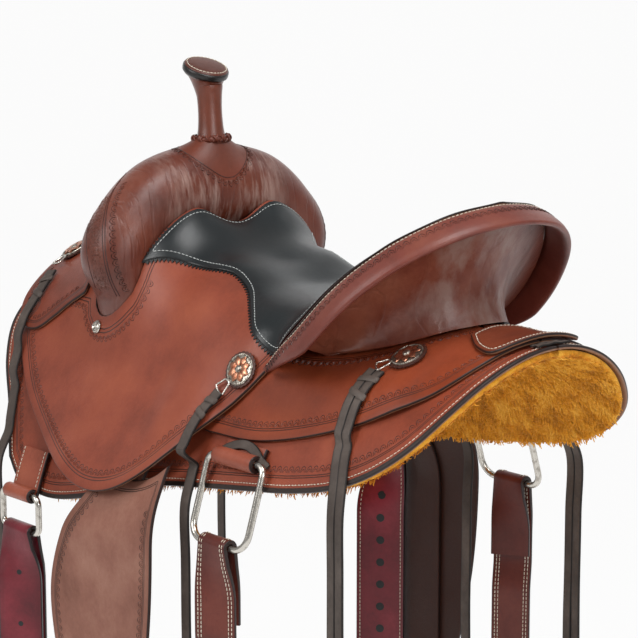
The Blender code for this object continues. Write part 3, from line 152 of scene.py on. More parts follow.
def step_up(value: np.ndarray | float, low: float, high: float) -> np.ndarray:
    """Soft ramp from 0 below low to 1 above high.

    Args:
        value: where to read the ramp.
        low: its foot.
        high: its top.

    Returns:
        The ramp's height.
    """
    t = np.clip((np.asarray(value, float) - low) / (high - low), 0.0, 1.0)
    return t * t * (3.0 - 2.0 * t)


def curve(points: Sequence[Sequence[float]] | np.ndarray, count: int) -> np.ndarray:
    """Even places along a smooth curve.

    Args:
        points: places that the curve passes through.
        count: number of spans.

    Returns:
        count + 1 places.
    """
    pts = np.asarray(points, float)
    if len(pts) == 2:
        return pts[0] + (pts[1] - pts[0]) * np.linspace(0, 1, count + 1)[:, None]
    ends = np.vstack([2 * pts[0] - pts[1], pts, 2 * pts[-1] - pts[-2]])
    gaps = np.sqrt(np.linalg.norm(np.diff(ends, axis=0), axis=1)) + 1e-9
    knots = np.concatenate([[0.0], np.cumsum(gaps)])
    dense = []
    for i in range(1, len(ends) - 2):
        t0, t1, t2, t3 = knots[i - 1:i + 3]
        p0, p1, p2, p3 = ends[i - 1:i + 3]
        t = np.linspace(t1, t2, 24, endpoint=False)[:, None]
        a1 = (t1 - t) / (t1 - t0) * p0 + (t - t0) / (t1 - t0) * p1
        a2 = (t2 - t) / (t2 - t1) * p1 + (t - t1) / (t2 - t1) * p2
        a3 = (t3 - t) / (t3 - t2) * p2 + (t - t2) / (t3 - t2) * p3
        b1 = (t2 - t) / (t2 - t0) * a1 + (t - t0) / (t2 - t0) * a2
        b2 = (t3 - t) / (t3 - t1) * a2 + (t - t1) / (t3 - t1) * a3
        dense.append((t2 - t) / (t2 - t1) * b1 + (t - t1) / (t2 - t1) * b2)
    line = np.vstack(dense + [pts[-1:]])
    way = run_along(line)
    at = np.linspace(0, way[-1], count + 1)
    return np.stack([np.interp(at, way, line[:, k]) for k in range(pts.shape[1])], axis=1)


def respace(line: np.ndarray, pitch: float, closed: bool = False) -> np.ndarray:
    """Places at an even pitch along a line of short straight spans.

    Args:
        line: the line's places.
        pitch: wished distance between places.
        closed: whether the line runs back to its start.

    Returns:
        The places; those of a closed line don't repeat the first.
    """
    line = np.asarray(line, float)
    if closed:
        line = np.vstack([line, line[:1]])
    way = run_along(line)
    count = max(2, round(way[-1] / pitch))
    at = np.linspace(0, way[-1], count + 1)
    made = np.stack([np.interp(at, way, line[:, k]) for k in range(line.shape[1])], axis=1)
    return made[:-1] if closed else made


def outline(*runs: Sequence[Sequence[float]], spacing: float = 0.003) -> np.ndarray:
    """Closed outline of smooth runs that meet at corners.

    Args:
        runs: each a list of places, from corner to corner.
        spacing: distance between the places of the outline.

    Returns:
        The outline's places.
    """
    loop = []
    for run in runs:
        length = np.linalg.norm(np.diff(np.asarray(run, float), axis=0), axis=1).sum()
        loop.extend(curve(run, max(1, round(length / spacing)))[:-1])
    return np.array(loop)


def tangents_of(line: np.ndarray, closed: bool = False) -> np.ndarray:
    """Unit tangents at each place of a line.

    Args:
        line: places along it.
        closed: whether it closes on itself.

    Returns:
        One unit vector for each place.
    """
    if closed:
        run = np.roll(line, -1, axis=0) - np.roll(line, 1, axis=0)
    else:
        run = np.gradient(line, axis=0)
    return run / np.maximum(np.linalg.norm(run, axis=1), 1e-12)[:, None]


def inset(loop: np.ndarray, distance: float) -> np.ndarray:
    """A closed outline of the plane drawn in by a distance.

    Args:
        loop: places of the closed outline.
        distance: how far in.

    Returns:
        The smaller outline.
    """
    along = tangents_of(loop, closed=True)
    after = np.roll(loop, -1, axis=0)
    area = 0.5 * np.sum(loop[:, 0] * after[:, 1] - after[:, 0] * loop[:, 1])
    inward = np.stack([-along[:, 1], along[:, 0]], axis=1) * (1 if area > 0 else -1)
    return loop + inward * distance


def gap_to(loop: np.ndarray, spots: np.ndarray) -> tuple[np.ndarray, np.ndarray]:
    """How far places lie from a closed outline, and how far along it the nearest place is.

    Args:
        loop: the outline.
        spots: places of the same plane.

    Returns:
        Distances, and lengths along the outline.
    """
    run = np.roll(loop, -1, axis=0) - loop
    size = np.maximum((run * run).sum(axis=1), 1e-15)
    starts = np.concatenate([[0.0], np.cumsum(np.sqrt(size))[:-1]])
    gaps, ways = [], []
    for i in range(0, len(spots), 4000):
        off = spots[i:i + 4000, None] - loop[None]
        share = np.clip((off * run).sum(axis=2) / size, 0, 1)
        far = np.linalg.norm(off - share[..., None] * run, axis=2)
        best = far.argmin(axis=1)
        rows = np.arange(len(best))
        gaps.append(far[rows, best])
        ways.append(starts[best] + share[rows, best] * np.sqrt(size[best]))
    return np.concatenate(gaps), np.concatenate(ways)


def inside(loop: np.ndarray, spots: np.ndarray) -> np.ndarray:
    """Whether places of the plane lie inside a closed outline.

    Args:
        loop: places of the closed outline.
        spots: places of the plane.

    Returns:
        True or False for each place.
    """
    after = np.roll(loop, -1, axis=0)
    rise = np.where(after[:, 1] == loop[:, 1], 1.0, after[:, 1] - loop[:, 1])
    made = np.zeros(len(spots), bool)
    for i in range(0, len(spots), 4000):
        part = spots[i:i + 4000]
        crosses = (loop[None, :, 1] > part[:, 1:]) != (after[None, :, 1] > part[:, 1:])
        at = loop[:, 0] + (part[:, 1:] - loop[:, 1]) / rise * (after[:, 0] - loop[:, 0])
        made[i:i + 4000] = (crosses & (part[:, :1] < at)).sum(axis=1) % 2 == 1
    return made


# ---------------------------------------------------------------- the saddle's own surfaces

class Back:
    """The mule's back, which every sheet of leather is laid on."""

    RADIUS = 0.165
    SLOPE = math.radians(78)
    TURN = 1.6
    RATE = 1.25

    def __init__(self) -> None:
        """Works out the back's cross-section."""
        self.v = np.linspace(0.0, 0.5, 1001)
        reach = self.v / (self.RADIUS * self.SLOPE)
        self.lean = self.SLOPE * (1.0 - np.exp(-self.RATE * reach ** self.TURN)) ** (1.0 / self.TURN)
        step = self.v[1]
        across = (np.cos(self.lean[1:]) + np.cos(self.lean[:-1])) / 2 * step
        drop = (np.sin(self.lean[1:]) + np.sin(self.lean[:-1])) / 2 * step
        self.x = np.concatenate([[0.0], np.cumsum(across)])
        self.z = -np.concatenate([[0.0], np.cumsum(drop)])

    @staticmethod
    def rise(y: np.ndarray | float) -> np.ndarray:
        """Height that the back gains towards its two ends."""
        y = np.asarray(y, float)
        return np.where(y < 0, 0.30, 0.12) * y * y

    def normal(self, v: np.ndarray) -> np.ndarray:
        """Directions off the back.

        Args:
            v: way down the mule's side.

        Returns:
            One unit vector for each value.
        """
        side = np.where(np.asarray(v) < 0, -1.0, 1.0)
        lean = np.interp(np.abs(v), self.v, self.lean)
        return np.stack([side * np.sin(lean), np.zeros_like(lean), np.cos(lean)], axis=-1)

    def point(self, y: np.ndarray, v: np.ndarray, h: np.ndarray) -> np.ndarray:
        """World places of shell coordinates.

        Args:
            y: place along the saddle.
            v: way down the mule's side.
            h: height off the back.

        Returns:
            The places in metres.
        """
        y, v, h = np.broadcast_arrays(np.asarray(y, float), np.asarray(v, float), np.asarray(h, float))
        side = np.where(v < 0, -1.0, 1.0)
        x = side * np.interp(np.abs(v), self.v, self.x)
        z = np.interp(np.abs(v), self.v, self.z) + self.rise(y)
        return np.stack([x, y, z], axis=-1) + h[..., None] * self.normal(v)

    def shell(self, place: Sequence[float]) -> tuple[float, float, float]:
        """Shell coordinates of a world place on the left side.

        Args:
            place: the world place.

        Returns:
            y, v and h.
        """
        x, y, z = place
        dx = x - self.x
        dz = z - float(self.rise(y)) - self.z
        along = dx * np.cos(self.lean) - dz * np.sin(self.lean)
        at = int(np.argmax(along <= 0)) if (along <= 0).any() else len(along) - 1
        h = dx[at] * math.sin(self.lean[at]) + dz[at] * math.cos(self.lean[at])
        return float(y), float(self.v[at]), float(h)


BACK = Back()


@dataclass(frozen=True)
class Layers:
    """Thicknesses and heights of the saddle's layers, in metres."""

    fleece: float = 0.0080
    skirt: float = 0.0045
    jockey: float = 0.0040
    seat: float = 0.0045
    inlay: float = 0.0030
    cover: float = 0.0035
    plate: float = 0.0040

    @property
    def skirt_low(self) -> float:
        """Height of the skirt's inner face."""
        return self.fleece + GAP

    @property
    def skirt_top(self) -> float:
        """Height of the skirt's outer face."""
        return self.skirt_low + self.skirt

    def bar(self, y: np.ndarray, v: np.ndarray) -> np.ndarray:
        """Height of the tree bars' top.

        Args:
            y: place along the saddle.
            v: way down the mule's side.

        Returns:
            The heights.
        """
        at = (-0.300, -0.265, -0.200, -0.130, 0.000, 0.120, 0.200, 0.320, 0.352)
        top = (0.002, 0.010, 0.024, 0.028, 0.024, 0.012, 0.009, 0.009, 0.004)
        end = step_up(y, -0.315, -0.285) * (1.0 - step_up(y, 0.335, 0.375))
        return self.skirt_top + np.interp(y, at, top) * end * (1.0 - step_up(np.abs(v), 0.105, 0.158))

    def jockey_low(self, y: np.ndarray, v: np.ndarray) -> np.ndarray:
        """Height of the rear jockey's inner face."""
        return self.bar(y, v) + 1.5 * GAP

    def jockey_top(self, y: np.ndarray, v: np.ndarray) -> np.ndarray:
        """Height of the rear jockey's outer face."""
        return self.jockey_low(y, v) + self.jockey

    def flap_low(self, y: np.ndarray, v: np.ndarray) -> np.ndarray:
        """Height of the seat flap's inner face, over the stirrup leather and the fender.

        Args:
            y: place along the saddle.
            v: way down the mule's side.

        Returns:
            The heights.
        """
        along = step_up(y, -0.215, -0.085) * (1.0 - step_up(y, 0.055, 0.115))
        down = np.abs(v)
        room = along * (0.0100 * step_up(down, 0.112, 0.155) + 0.0125 * step_up(down, 0.215, 0.272))
        return self.jockey_low(y, v) + (self.jockey + GAP) * step_up(y, -0.010, 0.030) + room


LAYERS = Layers()

SEAT_FRONT = ((0.000, -0.076, 0.105), (0.018, -0.077, 0.109), (0.048, -0.079, 0.125),
              (0.070, -0.080, 0.119), (0.097, -0.083, 0.099), (0.120, -0.092, 0.067))
SEAT_SHOULDER = ((0.090, -0.040, 0.068), (0.082, 0.000, 0.066), (0.076, 0.022, 0.063),
                 (0.082, 0.052, 0.050), (0.104, 0.085, 0.032), (0.120, 0.112, 0.014))
SEAT_CROWN = ((0.0, -0.035, 0.086), (0.0, 0.010, 0.066), (0.0, 0.070, 0.047), (0.0, 0.130, 0.041),
              (0.0, 0.190, 0.050), (0.0, 0.250, 0.083), (0.0, 0.305, 0.124), (0.060, 0.130, 0.044),
              (0.073, 0.190, 0.058), (0.078, 0.235, 0.085))
CANTLE_RIM = ((0.127, 0.146, -0.010), (0.146, 0.180, 0.012), (0.150, 0.223, 0.050),
              (0.136, 0.268, 0.097), (0.104, 0.308, 0.135), (0.056, 0.338, 0.160),
              (0.000, 0.350, 0.169))
RIM_SHELL = [BACK.shell(p) for p in CANTLE_RIM]
FRONT_SHELL = [BACK.shell(p) for p in SEAT_FRONT]


class Drape:
    """Thin-plate surface of the seat over shell coordinates, the same on both sides."""

    FLAP_PLACES = ((-0.250, 0.120), (-0.200, 0.135), (-0.150, 0.145), (-0.110, 0.155),
                   (-0.050, 0.150), (0.000, 0.145), (0.050, 0.140), (0.095, 0.135),
                   (-0.150, 0.200), (-0.050, 0.200), (0.050, 0.190), (-0.080, 0.260),
                   (-0.220, 0.180), (0.130, 0.150))
    SOFTNESS = 0.0025

    def __init__(self) -> None:
        """Solves the plate through the seat's places."""
        places = [BACK.shell(p) for p in SEAT_FRONT + SEAT_SHOULDER + SEAT_CROWN + CANTLE_RIM]
        for y, v in self.FLAP_PLACES:
            places.append((y, v, float(LAYERS.flap_low(y, v)) + LAYERS.seat))
        data = np.array(places + [(y, -v, h) for y, v, h in places if v > 1e-6])
        self.at = data[:, :2] / 0.1
        count = len(data)
        matrix = np.zeros((count + 3, count + 3))
        matrix[:count, :count] = self.kernel(self.at, self.at) + 1e-3 * np.eye(count)
        matrix[:count, count] = 1.0
        matrix[:count, count + 1:] = self.at
        matrix[count:, :count] = matrix[:count, count:].T
        self.weights = np.linalg.solve(matrix, np.concatenate([data[:, 2], np.zeros(3)]))

    @staticmethod
    def kernel(a: np.ndarray, b: np.ndarray) -> np.ndarray:
        """Bending kernel between two sets of places."""
        gap = np.linalg.norm(a[:, None] - b[None], axis=2)
        return gap * gap * np.log(np.maximum(gap, 1e-9))

    def top(self, y: np.ndarray, v: np.ndarray) -> np.ndarray:
        """Upper face of the seat's leather, the seat itself running out into the flaps.

        Args:
            y: places along the saddle.
            v: places down its side.

        Returns:
            Heights off the mule's back.
        """
        y, v = np.broadcast_arrays(np.asarray(y, float), np.asarray(v, float))
        flap = LAYERS.flap_low(y, v) + LAYERS.seat
        at = np.stack([y.ravel(), v.ravel()], axis=1) / 0.1
        flat = self.kernel(at, self.at) @ self.weights[:-3] + self.weights[-3] + at @ self.weights[-2:]
        return flap + self.SOFTNESS * np.logaddexp(0.0, (flat.reshape(y.shape) - flap) / self.SOFTNESS)


DRAPE = Drape()


def front_jockey_top(y: np.ndarray, v: np.ndarray) -> np.ndarray:
    """Outer face of the front jockey, which lies over the flap's upper corner."""
    over = np.maximum(DRAPE.top(y, v), LAYERS.flap_low(y, v) + LAYERS.seat)
    return over + 1.5 * GAP + LAYERS.jockey


@dataclass(frozen=True)
class Outlines:
    """Places in shell coordinates that the leather sheets are cut to."""

    skirt_front: tuple = ((-0.300, 0.020), (-0.318, 0.060), (-0.325, 0.110), (-0.322, 0.150),
                          (-0.300, 0.190), (-0.262, 0.235), (-0.232, 0.285))
    skirt_lower: tuple = ((-0.232, 0.285), (-0.205, 0.302), (-0.150, 0.306), (-0.090, 0.292),
                          (-0.020, 0.266), (0.041, 0.251), (0.113, 0.241), (0.177, 0.234),
                          (0.244, 0.227), (0.305, 0.215), (0.350, 0.195), (0.385, 0.165),
                          (0.408, 0.125), (0.422, 0.080), (0.428, 0.040), (0.430, 0.0015))
    flap: tuple = ((-0.255, 0.108), (-0.286, 0.136), (-0.288, 0.156), (-0.268, 0.178),
                   (-0.222, 0.216), (-0.157, 0.248), (-0.100, 0.268), (-0.060, 0.277),
                   (-0.025, 0.276), (0.006, 0.267), (0.030, 0.254), (0.068, 0.216),
                   (0.097, 0.178), (0.119, 0.148))
    notch: tuple = ((-0.112, 0.092), (-0.134, 0.096), (-0.160, 0.094), (-0.190, 0.092),
                    (-0.225, 0.094), (-0.255, 0.108))
    rear_lower: tuple = ((0.060, 0.168), (0.074, 0.183), (0.110, 0.186), (0.177, 0.184),
                         (0.267, 0.163), (0.335, 0.136), (0.378, 0.104), (0.398, 0.066),
                         (0.404, 0.030), (0.406, 0.0015))
    front_jockey: tuple = ((-0.192, 0.028), (-0.275, 0.026), (-0.308, 0.045), (-0.317, 0.085),
                           (-0.312, 0.125), (-0.292, 0.148), (-0.262, 0.148), (-0.236, 0.130),
                           (-0.212, 0.112), (-0.192, 0.100))

    def skirt(self) -> np.ndarray:
        """Outline of a skirt."""
        inner = [(0.430, 0.0015), (0.0, 0.0015), (-0.290, 0.0015)]
        return outline(self.skirt_front, self.skirt_lower, inner[:2], inner[1:], [inner[2], (-0.300, 0.020)])

    def rear_jockey(self) -> np.ndarray:
        """Outline of a rear jockey, which ends along the cantle's foot.

        Returns:
            Its (y, v) places.
        """
        foot = []
        for turn in np.linspace(math.pi / 2, 0.03, 7):
            x, y = 0.100 * math.sin(turn), 0.148 + 0.170 * math.cos(turn)
            v = BACK.shell((x, y, float(BACK.rise(y)) + 0.02 * (1 - x / 0.2)))[1]
            foot.append((y, max(v, 0.0015)))
        foot[-1] = (foot[-1][0], 0.0015)
        start = self.rear_lower[0]
        return outline(self.rear_lower, [self.rear_lower[-1], foot[-1]], foot[::-1],
                       [foot[0], (0.084, 0.132), start])

    def front(self) -> np.ndarray:
        """Outline of a front jockey."""
        return outline(self.front_jockey, [self.front_jockey[-1], self.front_jockey[0]])

    def seat(self) -> np.ndarray:
        """Outline of the seat's leather with its two flaps, before it is fitted round the swell.

        Returns:
            Its (y, v) places.
        """
        rim = [(y, v) for y, v, _ in RIM_SHELL]
        front = [(y, v) for y, v, _ in FRONT_SHELL]
        left = [front, [front[-1], *self.notch], list(self.flap),
                [self.flap[-1], (0.131, 0.134), rim[0]], rim]
        return outline(*left, *[[(y, -v) for y, v in reversed(run)] for run in reversed(left)])

    def inlay(self) -> np.ndarray:
        """Outline of the smooth black insert of the seat.

        Returns:
            Its (y, v) places.
        """
        edge = [(y + 0.0045, v) for y, v, _ in FRONT_SHELL]
        side = [BACK.shell(p)[:2] for p in SEAT_SHOULDER]
        rim = [(y - 0.006, v - 0.004) for y, v, _ in RIM_SHELL[1:]]
        rim[-1] = (rim[-1][0], 0.0)
        left = [edge, [edge[-1], *side, rim[0]], rim]
        return outline(*left, *[[(y, -v) for y, v in reversed(run)] for run in reversed(left)])


OUTLINES = Outlines()


# ---------------------------------------------------------------- meshes

@dataclass
class Solid:
    """Vertices and faces of a piece, with what its finish reads at each vertex.

    edge is the distance to the leather's cut edge, and is negative on the cut itself and on
    the flesh side; way is the length along that edge or along a strap.
    """

    verts: np.ndarray
    faces: list
    edge: np.ndarray | None = None
    way: np.ndarray | None = None

    def mirrored(self) -> Solid:
        """The same solid on the other side of the saddle."""
        return Solid(self.verts * [-1, 1, 1], [tuple(reversed(f)) for f in self.faces], self.edge, self.way)

    def on(self, side: Side) -> Solid:
        """The solid on that side."""
        return self if side is Side.LEFT else self.mirrored()

    def joined(self, other: Solid) -> Solid:
        """This solid and another as one.

        Args:
            other: the solid to add.

        Returns:
            The joined solid.
        """
        count = len(self.verts)
        faces = self.faces + [tuple(i + count for i in f) for f in other.faces]
        fill = [s.edge if s.edge is not None else np.full(len(s.verts), 0.02) for s in (self, other)]
        ways = [s.way if s.way is not None else np.zeros(len(s.verts)) for s in (self, other)]
        return Solid(np.vstack([self.verts, other.verts]), faces, np.concatenate(fill), np.concatenate(ways))

    def volume(self) -> float:
        """Signed volume, positive where the faces point outwards.

        Returns:
            Cubic metres.
        """
        total = 0.0
        by_size: dict[int, list] = {}
        for face in self.faces:
            by_size.setdefault(len(face), []).append(face)
        for size, faces in by_size.items():
            corners = self.verts[np.array(faces)]
            for k in range(1, size - 1):
                total += float(np.einsum("ij,ij->", corners[:, 0],
                                         np.cross(corners[:, k], corners[:, k + 1])))
        return total / 6

    def mesh(self, name: str, sharp: float = 45.0) -> bpy.types.Mesh:
        """Blender mesh of the solid.

        Args:
            name: its name.
            sharp: angle in degrees past which an edge is drawn sharp.

        Returns:
            The mesh, smoothly shaded.
        """
        faces = self.faces if self.volume() >= 0 else [tuple(reversed(f)) for f in self.faces]
        mesh = bpy.data.meshes.new(name)
        mesh.from_pydata(self.verts.tolist(), [], faces)
        for key, values in (("edge", self.edge), ("way", self.way)):
            if values is not None:
                layer = mesh.attributes.new(key, "FLOAT", "POINT")
                layer.data.foreach_set("value", np.asarray(values, np.float32))
        mesh.shade_smooth()
        mesh.set_sharp_from_angle(angle=math.radians(sharp))
        return mesh

    def tree(self) -> BVHTree:
        """Search tree of the solid's faces."""
        return BVHTree.FromPolygons(self.verts.tolist(), self.faces)


def rings_to_solid(rings: Sequence[np.ndarray], closed: bool = False, capped: bool = True,
                   edge: np.ndarray | None = None, way: np.ndarray | None = None) -> Solid:
    """Skin over rings of equal point count.

    Args:
        rings: the rings, one after another.
        closed: whether the last ring joins the first.
        capped: whether the two ends of an open skin are closed.
        edge: the solid's edge values.
        way: the solid's way values.

    Returns:
        The solid.
    """
    count = len(rings[0])
    faces = []
    for i in range(len(rings) if closed else len(rings) - 1):
        a, b = i * count, (i + 1) % len(rings) * count
        faces += [(a + j, a + (j + 1) % count, b + (j + 1) % count, b + j) for j in range(count)]
    if capped and not closed:
        faces += [tuple(range(count))[::-1], tuple(range((len(rings) - 1) * count, len(rings) * count))]
    return Solid(np.vstack([np.asarray(r, float) for r in rings]), faces, edge, way)


def boundary_loops(faces: Sequence[tuple]) -> list[list[int]]:
    """Closed chains of the edges that only one face uses.

    Args:
        faces: faces as tuples of vertex numbers.

    Returns:
        Vertex numbers in order, chain by chain.
    """
    uses: dict[tuple, tuple] = {}
    for face in faces:
        for a, b in zip(face, face[1:] + face[:1]):
            key = (min(a, b), max(a, b))
            uses[key] = () if key in uses else (a, b)
    after = dict(edge for edge in uses.values() if edge)
    loops = []
    while after:
        start, spot = next(iter(after.items()))
        loop = [start]
        del after[start]
        while spot in after:
            loop.append(spot)
            spot = after.pop(spot)
        loops.append(loop)
    return sorted(loops, key=len, reverse=True)


def triangulate(loops: Sequence[np.ndarray], spots: np.ndarray, keep: np.ndarray,
                holes: Sequence[np.ndarray]) -> tuple[np.ndarray, list]:
    """Triangles of a plane figure.

    Args:
        loops: closed lines that the triangles follow.
        spots: places inside.
        keep: outline of the figure.
        holes: outlines of what is cut away.

    Returns:
        The places and the triangles.
    """
    flat, edges = [], []
    for loop in loops:
        start, count = len(flat), len(loop)
        flat += [Vector(p) for p in loop.tolist()]
        edges += [(start + i, start + (i + 1) % count) for i in range(count)]
    flat += [Vector(p) for p in spots.tolist()]
    points, _, faces, _, _, _ = delaunay_2d_cdt(flat, edges, [], 0, 1e-7)
    points = np.array([tuple(p) for p in points])
    faces = np.array([tuple(f) for f in faces])
    middle = points[faces].mean(axis=1)
    good = inside(keep, middle)
    for hole in holes:
        good &= ~inside(hole, middle)
    faces = faces[good]
    used, packed = np.unique(faces, return_inverse=True)
    return points[used], [tuple(f) for f in packed.reshape(faces.shape).tolist()]


@dataclass
class Hide:
    """A piece of leather cut to an outline and laid on a surface, with softly rounded edges.

    place maps the outline's plane and a height to the world; low and high are its two faces.
    """

    outline: np.ndarray
    low: Height
    high: Height
    place: Place = BACK.point
    pitch: float = 0.0045
    rounding: float = 0.0009
    holes: Sequence[np.ndarray] = ()
    bulge: Callable[[np.ndarray, np.ndarray, np.ndarray], np.ndarray] | None = None
    loops: list = field(default_factory=list)

    def __post_init__(self) -> None:
        """Finds the true outlines, with what is cut away taken out."""
        if not len(self.holes):
            self.loops = [np.asarray(self.outline, float)]
            return
        flat, faces = triangulate([self.outline, *self.holes], np.zeros((0, 2)), self.outline, self.holes)
        self.loops = [respace(flat[loop], 0.003, closed=True) for loop in boundary_loops(faces)]

    def edge_of(self, spots: np.ndarray) -> tuple[np.ndarray, np.ndarray]:
        """Distance to the nearest outline and the length along it, for places of the plane.

        Args:
            spots: places of the plane.

        Returns:
            The distances and the lengths.
        """
        far, way = gap_to(self.loops[0], spots)
        for loop in self.loops[1:]:
            other, length = gap_to(loop, spots)
            way = np.where(other < far, length, way)
            far = np.minimum(far, other)
        return far, way

    def top(self, spots: np.ndarray) -> np.ndarray:
        """World places on the outer face.

        Args:
            spots: places of the plane.

        Returns:
            The places in metres.
        """
        height = self.high(spots[:, 0], spots[:, 1])
        far, way = self.edge_of(spots)
        if self.bulge is not None:
            height = height + self.bulge(spots, far, way)
        round_off = np.clip(self.rounding - far, 0, self.rounding)
        height = height - (self.rounding - np.sqrt(np.maximum(self.rounding ** 2 - round_off ** 2, 0)))
        return self.place(spots[:, 0], spots[:, 1], height)

    def facing(self, spots: np.ndarray) -> np.ndarray:
        """Directions off the outer face, found a little way inside it.

        Args:
            spots: places of the plane.

        Returns:
            One unit vector for each place.
        """
        step = 0.0012
        raised = []
        for shift in ((step, 0), (-step, 0), (0, step), (0, -step)):
            at = spots + shift
            raised.append(self.place(at[:, 0], at[:, 1], self.high(at[:, 0], at[:, 1])))
        off = np.cross(raised[0] - raised[1], raised[2] - raised[3])
        off = off / np.linalg.norm(off, axis=1)[:, None]
        base = self.place(spots[:, 0], spots[:, 1], self.low(spots[:, 0], spots[:, 1]))
        over = self.place(spots[:, 0], spots[:, 1], self.high(spots[:, 0], spots[:, 1]))
        return off * np.sign(((over - base) * off).sum(axis=1))[:, None]

    def solid(self) -> Solid:
        """The leather as a closed solid.

        Returns:
            The closed solid.
        """
        r = self.rounding
        rings = [loop for loop in self.loops]
        for depth in (0.12 * r, 0.45 * r, r):
            rings += [inset(loop, depth * (1 if i == 0 else -1)) for i, loop in enumerate(self.loops)]
        low, high = self.loops[0].min(axis=0), self.loops[0].max(axis=0)
        grid = [np.arange(a + self.pitch / 2, b, self.pitch) for a, b in zip(low, high)]
        spots = np.stack(np.meshgrid(*grid, indexing="ij"), axis=-1).reshape(-1, 2)
        spots[::2, 0] += self.pitch * 0.02
        spots = spots[inside(self.loops[0], spots)]
        spots = spots[self.edge_of(spots)[0] > r + self.pitch * 0.45]
        flat, faces = triangulate(rings, spots, self.loops[0], self.loops[1:])
        far, way = self.edge_of(flat)
        above = self.top(flat)
        round_off = np.clip(r - far, 0, r)
        lift = r - np.sqrt(np.maximum(r ** 2 - round_off ** 2, 0))
        below = self.place(flat[:, 0], flat[:, 1], self.low(flat[:, 0], flat[:, 1]) + lift)
        count = len(flat)
        skin = list(faces) + [tuple(i + count for i in reversed(f)) for f in faces]
        for loop in boundary_loops(faces):
            skin += [(b, a, a + count, b + count) for a, b in zip(loop, loop[1:] + loop[:1])]
        edge = np.concatenate([np.where(far < 1e-6, -0.0006, far), np.full(count, -0.0200)])
        return Solid(np.vstack([above, below]), skin, edge, np.concatenate([way, way]))

    def row(self, distance: float, where: Callable[[np.ndarray], np.ndarray] | None = None,
            pitch: float = 0.0046) -> list[Row]:
        """Even places on the outer face at a distance inside the outline.

        Args:
            distance: how far inside.
            where: says which places of the plane are wanted.
            pitch: distance between the places.

        Returns:
            Unbroken runs of places.
        """
        ring = inset(self.loops[0], distance)
        far = gap_to(self.loops[0], ring)[0]
        ring = ring[far > distance * 0.93]
        good = np.ones(len(ring), bool) if where is None else where(ring)
        if good.all():
            runs = [np.vstack([ring, ring[:1]])]
        else:
            start = int(np.argmin(good))
            ring, good = np.roll(ring, -start, axis=0), np.roll(good, -start)
            cuts = np.flatnonzero(np.diff(good.astype(int))) + 1
            runs = [part for part, keep in zip(np.split(ring, cuts), np.split(good, cuts)) if keep[0]]
        return [self.along(run, pitch) for run in runs if len(run) > 2]

    def along(self, run: np.ndarray, pitch: float = 0.0046) -> Row:
        """Even places on the outer face along a line of the plane, headed so that left is inward.

        Args:
            run: places along the line.
            pitch: distance between places.

        Returns:
            The places, with their directions.
        """
        world = self.top(run)
        way = run_along(world)
        at = np.linspace(0, way[-1], max(2, round(way[-1] / pitch)) + 1)
        flat = np.stack([np.interp(at, way, run[:, k]) for k in range(2)], axis=1)
        middle = (flat[1:] + flat[:-1]) / 2
        spots = self.top(middle)
        ends = self.top(flat)
        heads = ends[1:] - ends[:-1]
        outs = self.facing(middle)
        heads = heads / np.linalg.norm(heads, axis=1)[:, None]
        side = np.stack([-(flat[1:] - flat[:-1])[:, 1], (flat[1:] - flat[:-1])[:, 0]], axis=1)
        side = side / np.linalg.norm(side, axis=1)[:, None] * 0.002
        inward = self.edge_of(middle + side)[0] > self.edge_of(middle - side)[0]
        left = self.top(middle + np.where(inward[:, None], side, -side)) - spots
        turned = (np.cross(outs, heads) * left).sum(axis=1) < 0
        heads[turned] *= -1
        return Row(spots, outs, heads)


@dataclass
class Row:
    """Places for a repeated shape: where, which way is off the surface, and which way it heads."""

    at: np.ndarray
    out: np.ndarray
    head: np.ndarray

    def mirrored(self) -> Row:
        """The same places on the other side of the saddle; the shapes keep their handedness."""
        flip = np.array([-1.0, 1.0, 1.0])
        return Row(self.at * flip, self.out * flip, -self.head * flip)

    def on(self, side: Side) -> Row:
        """The places on that side."""
        return self if side is Side.LEFT else self.mirrored()

    def raised(self, height: float) -> Row:
        """The places lifted off their surface."""
        return Row(self.at + self.out * height, self.out, self.head)

    @staticmethod
    def of(rows: Sequence[Row]) -> Row:
        """Several rows as one."""
        return Row(*(np.vstack([getattr(r, key) for r in rows]) for key in ("at", "out", "head")))


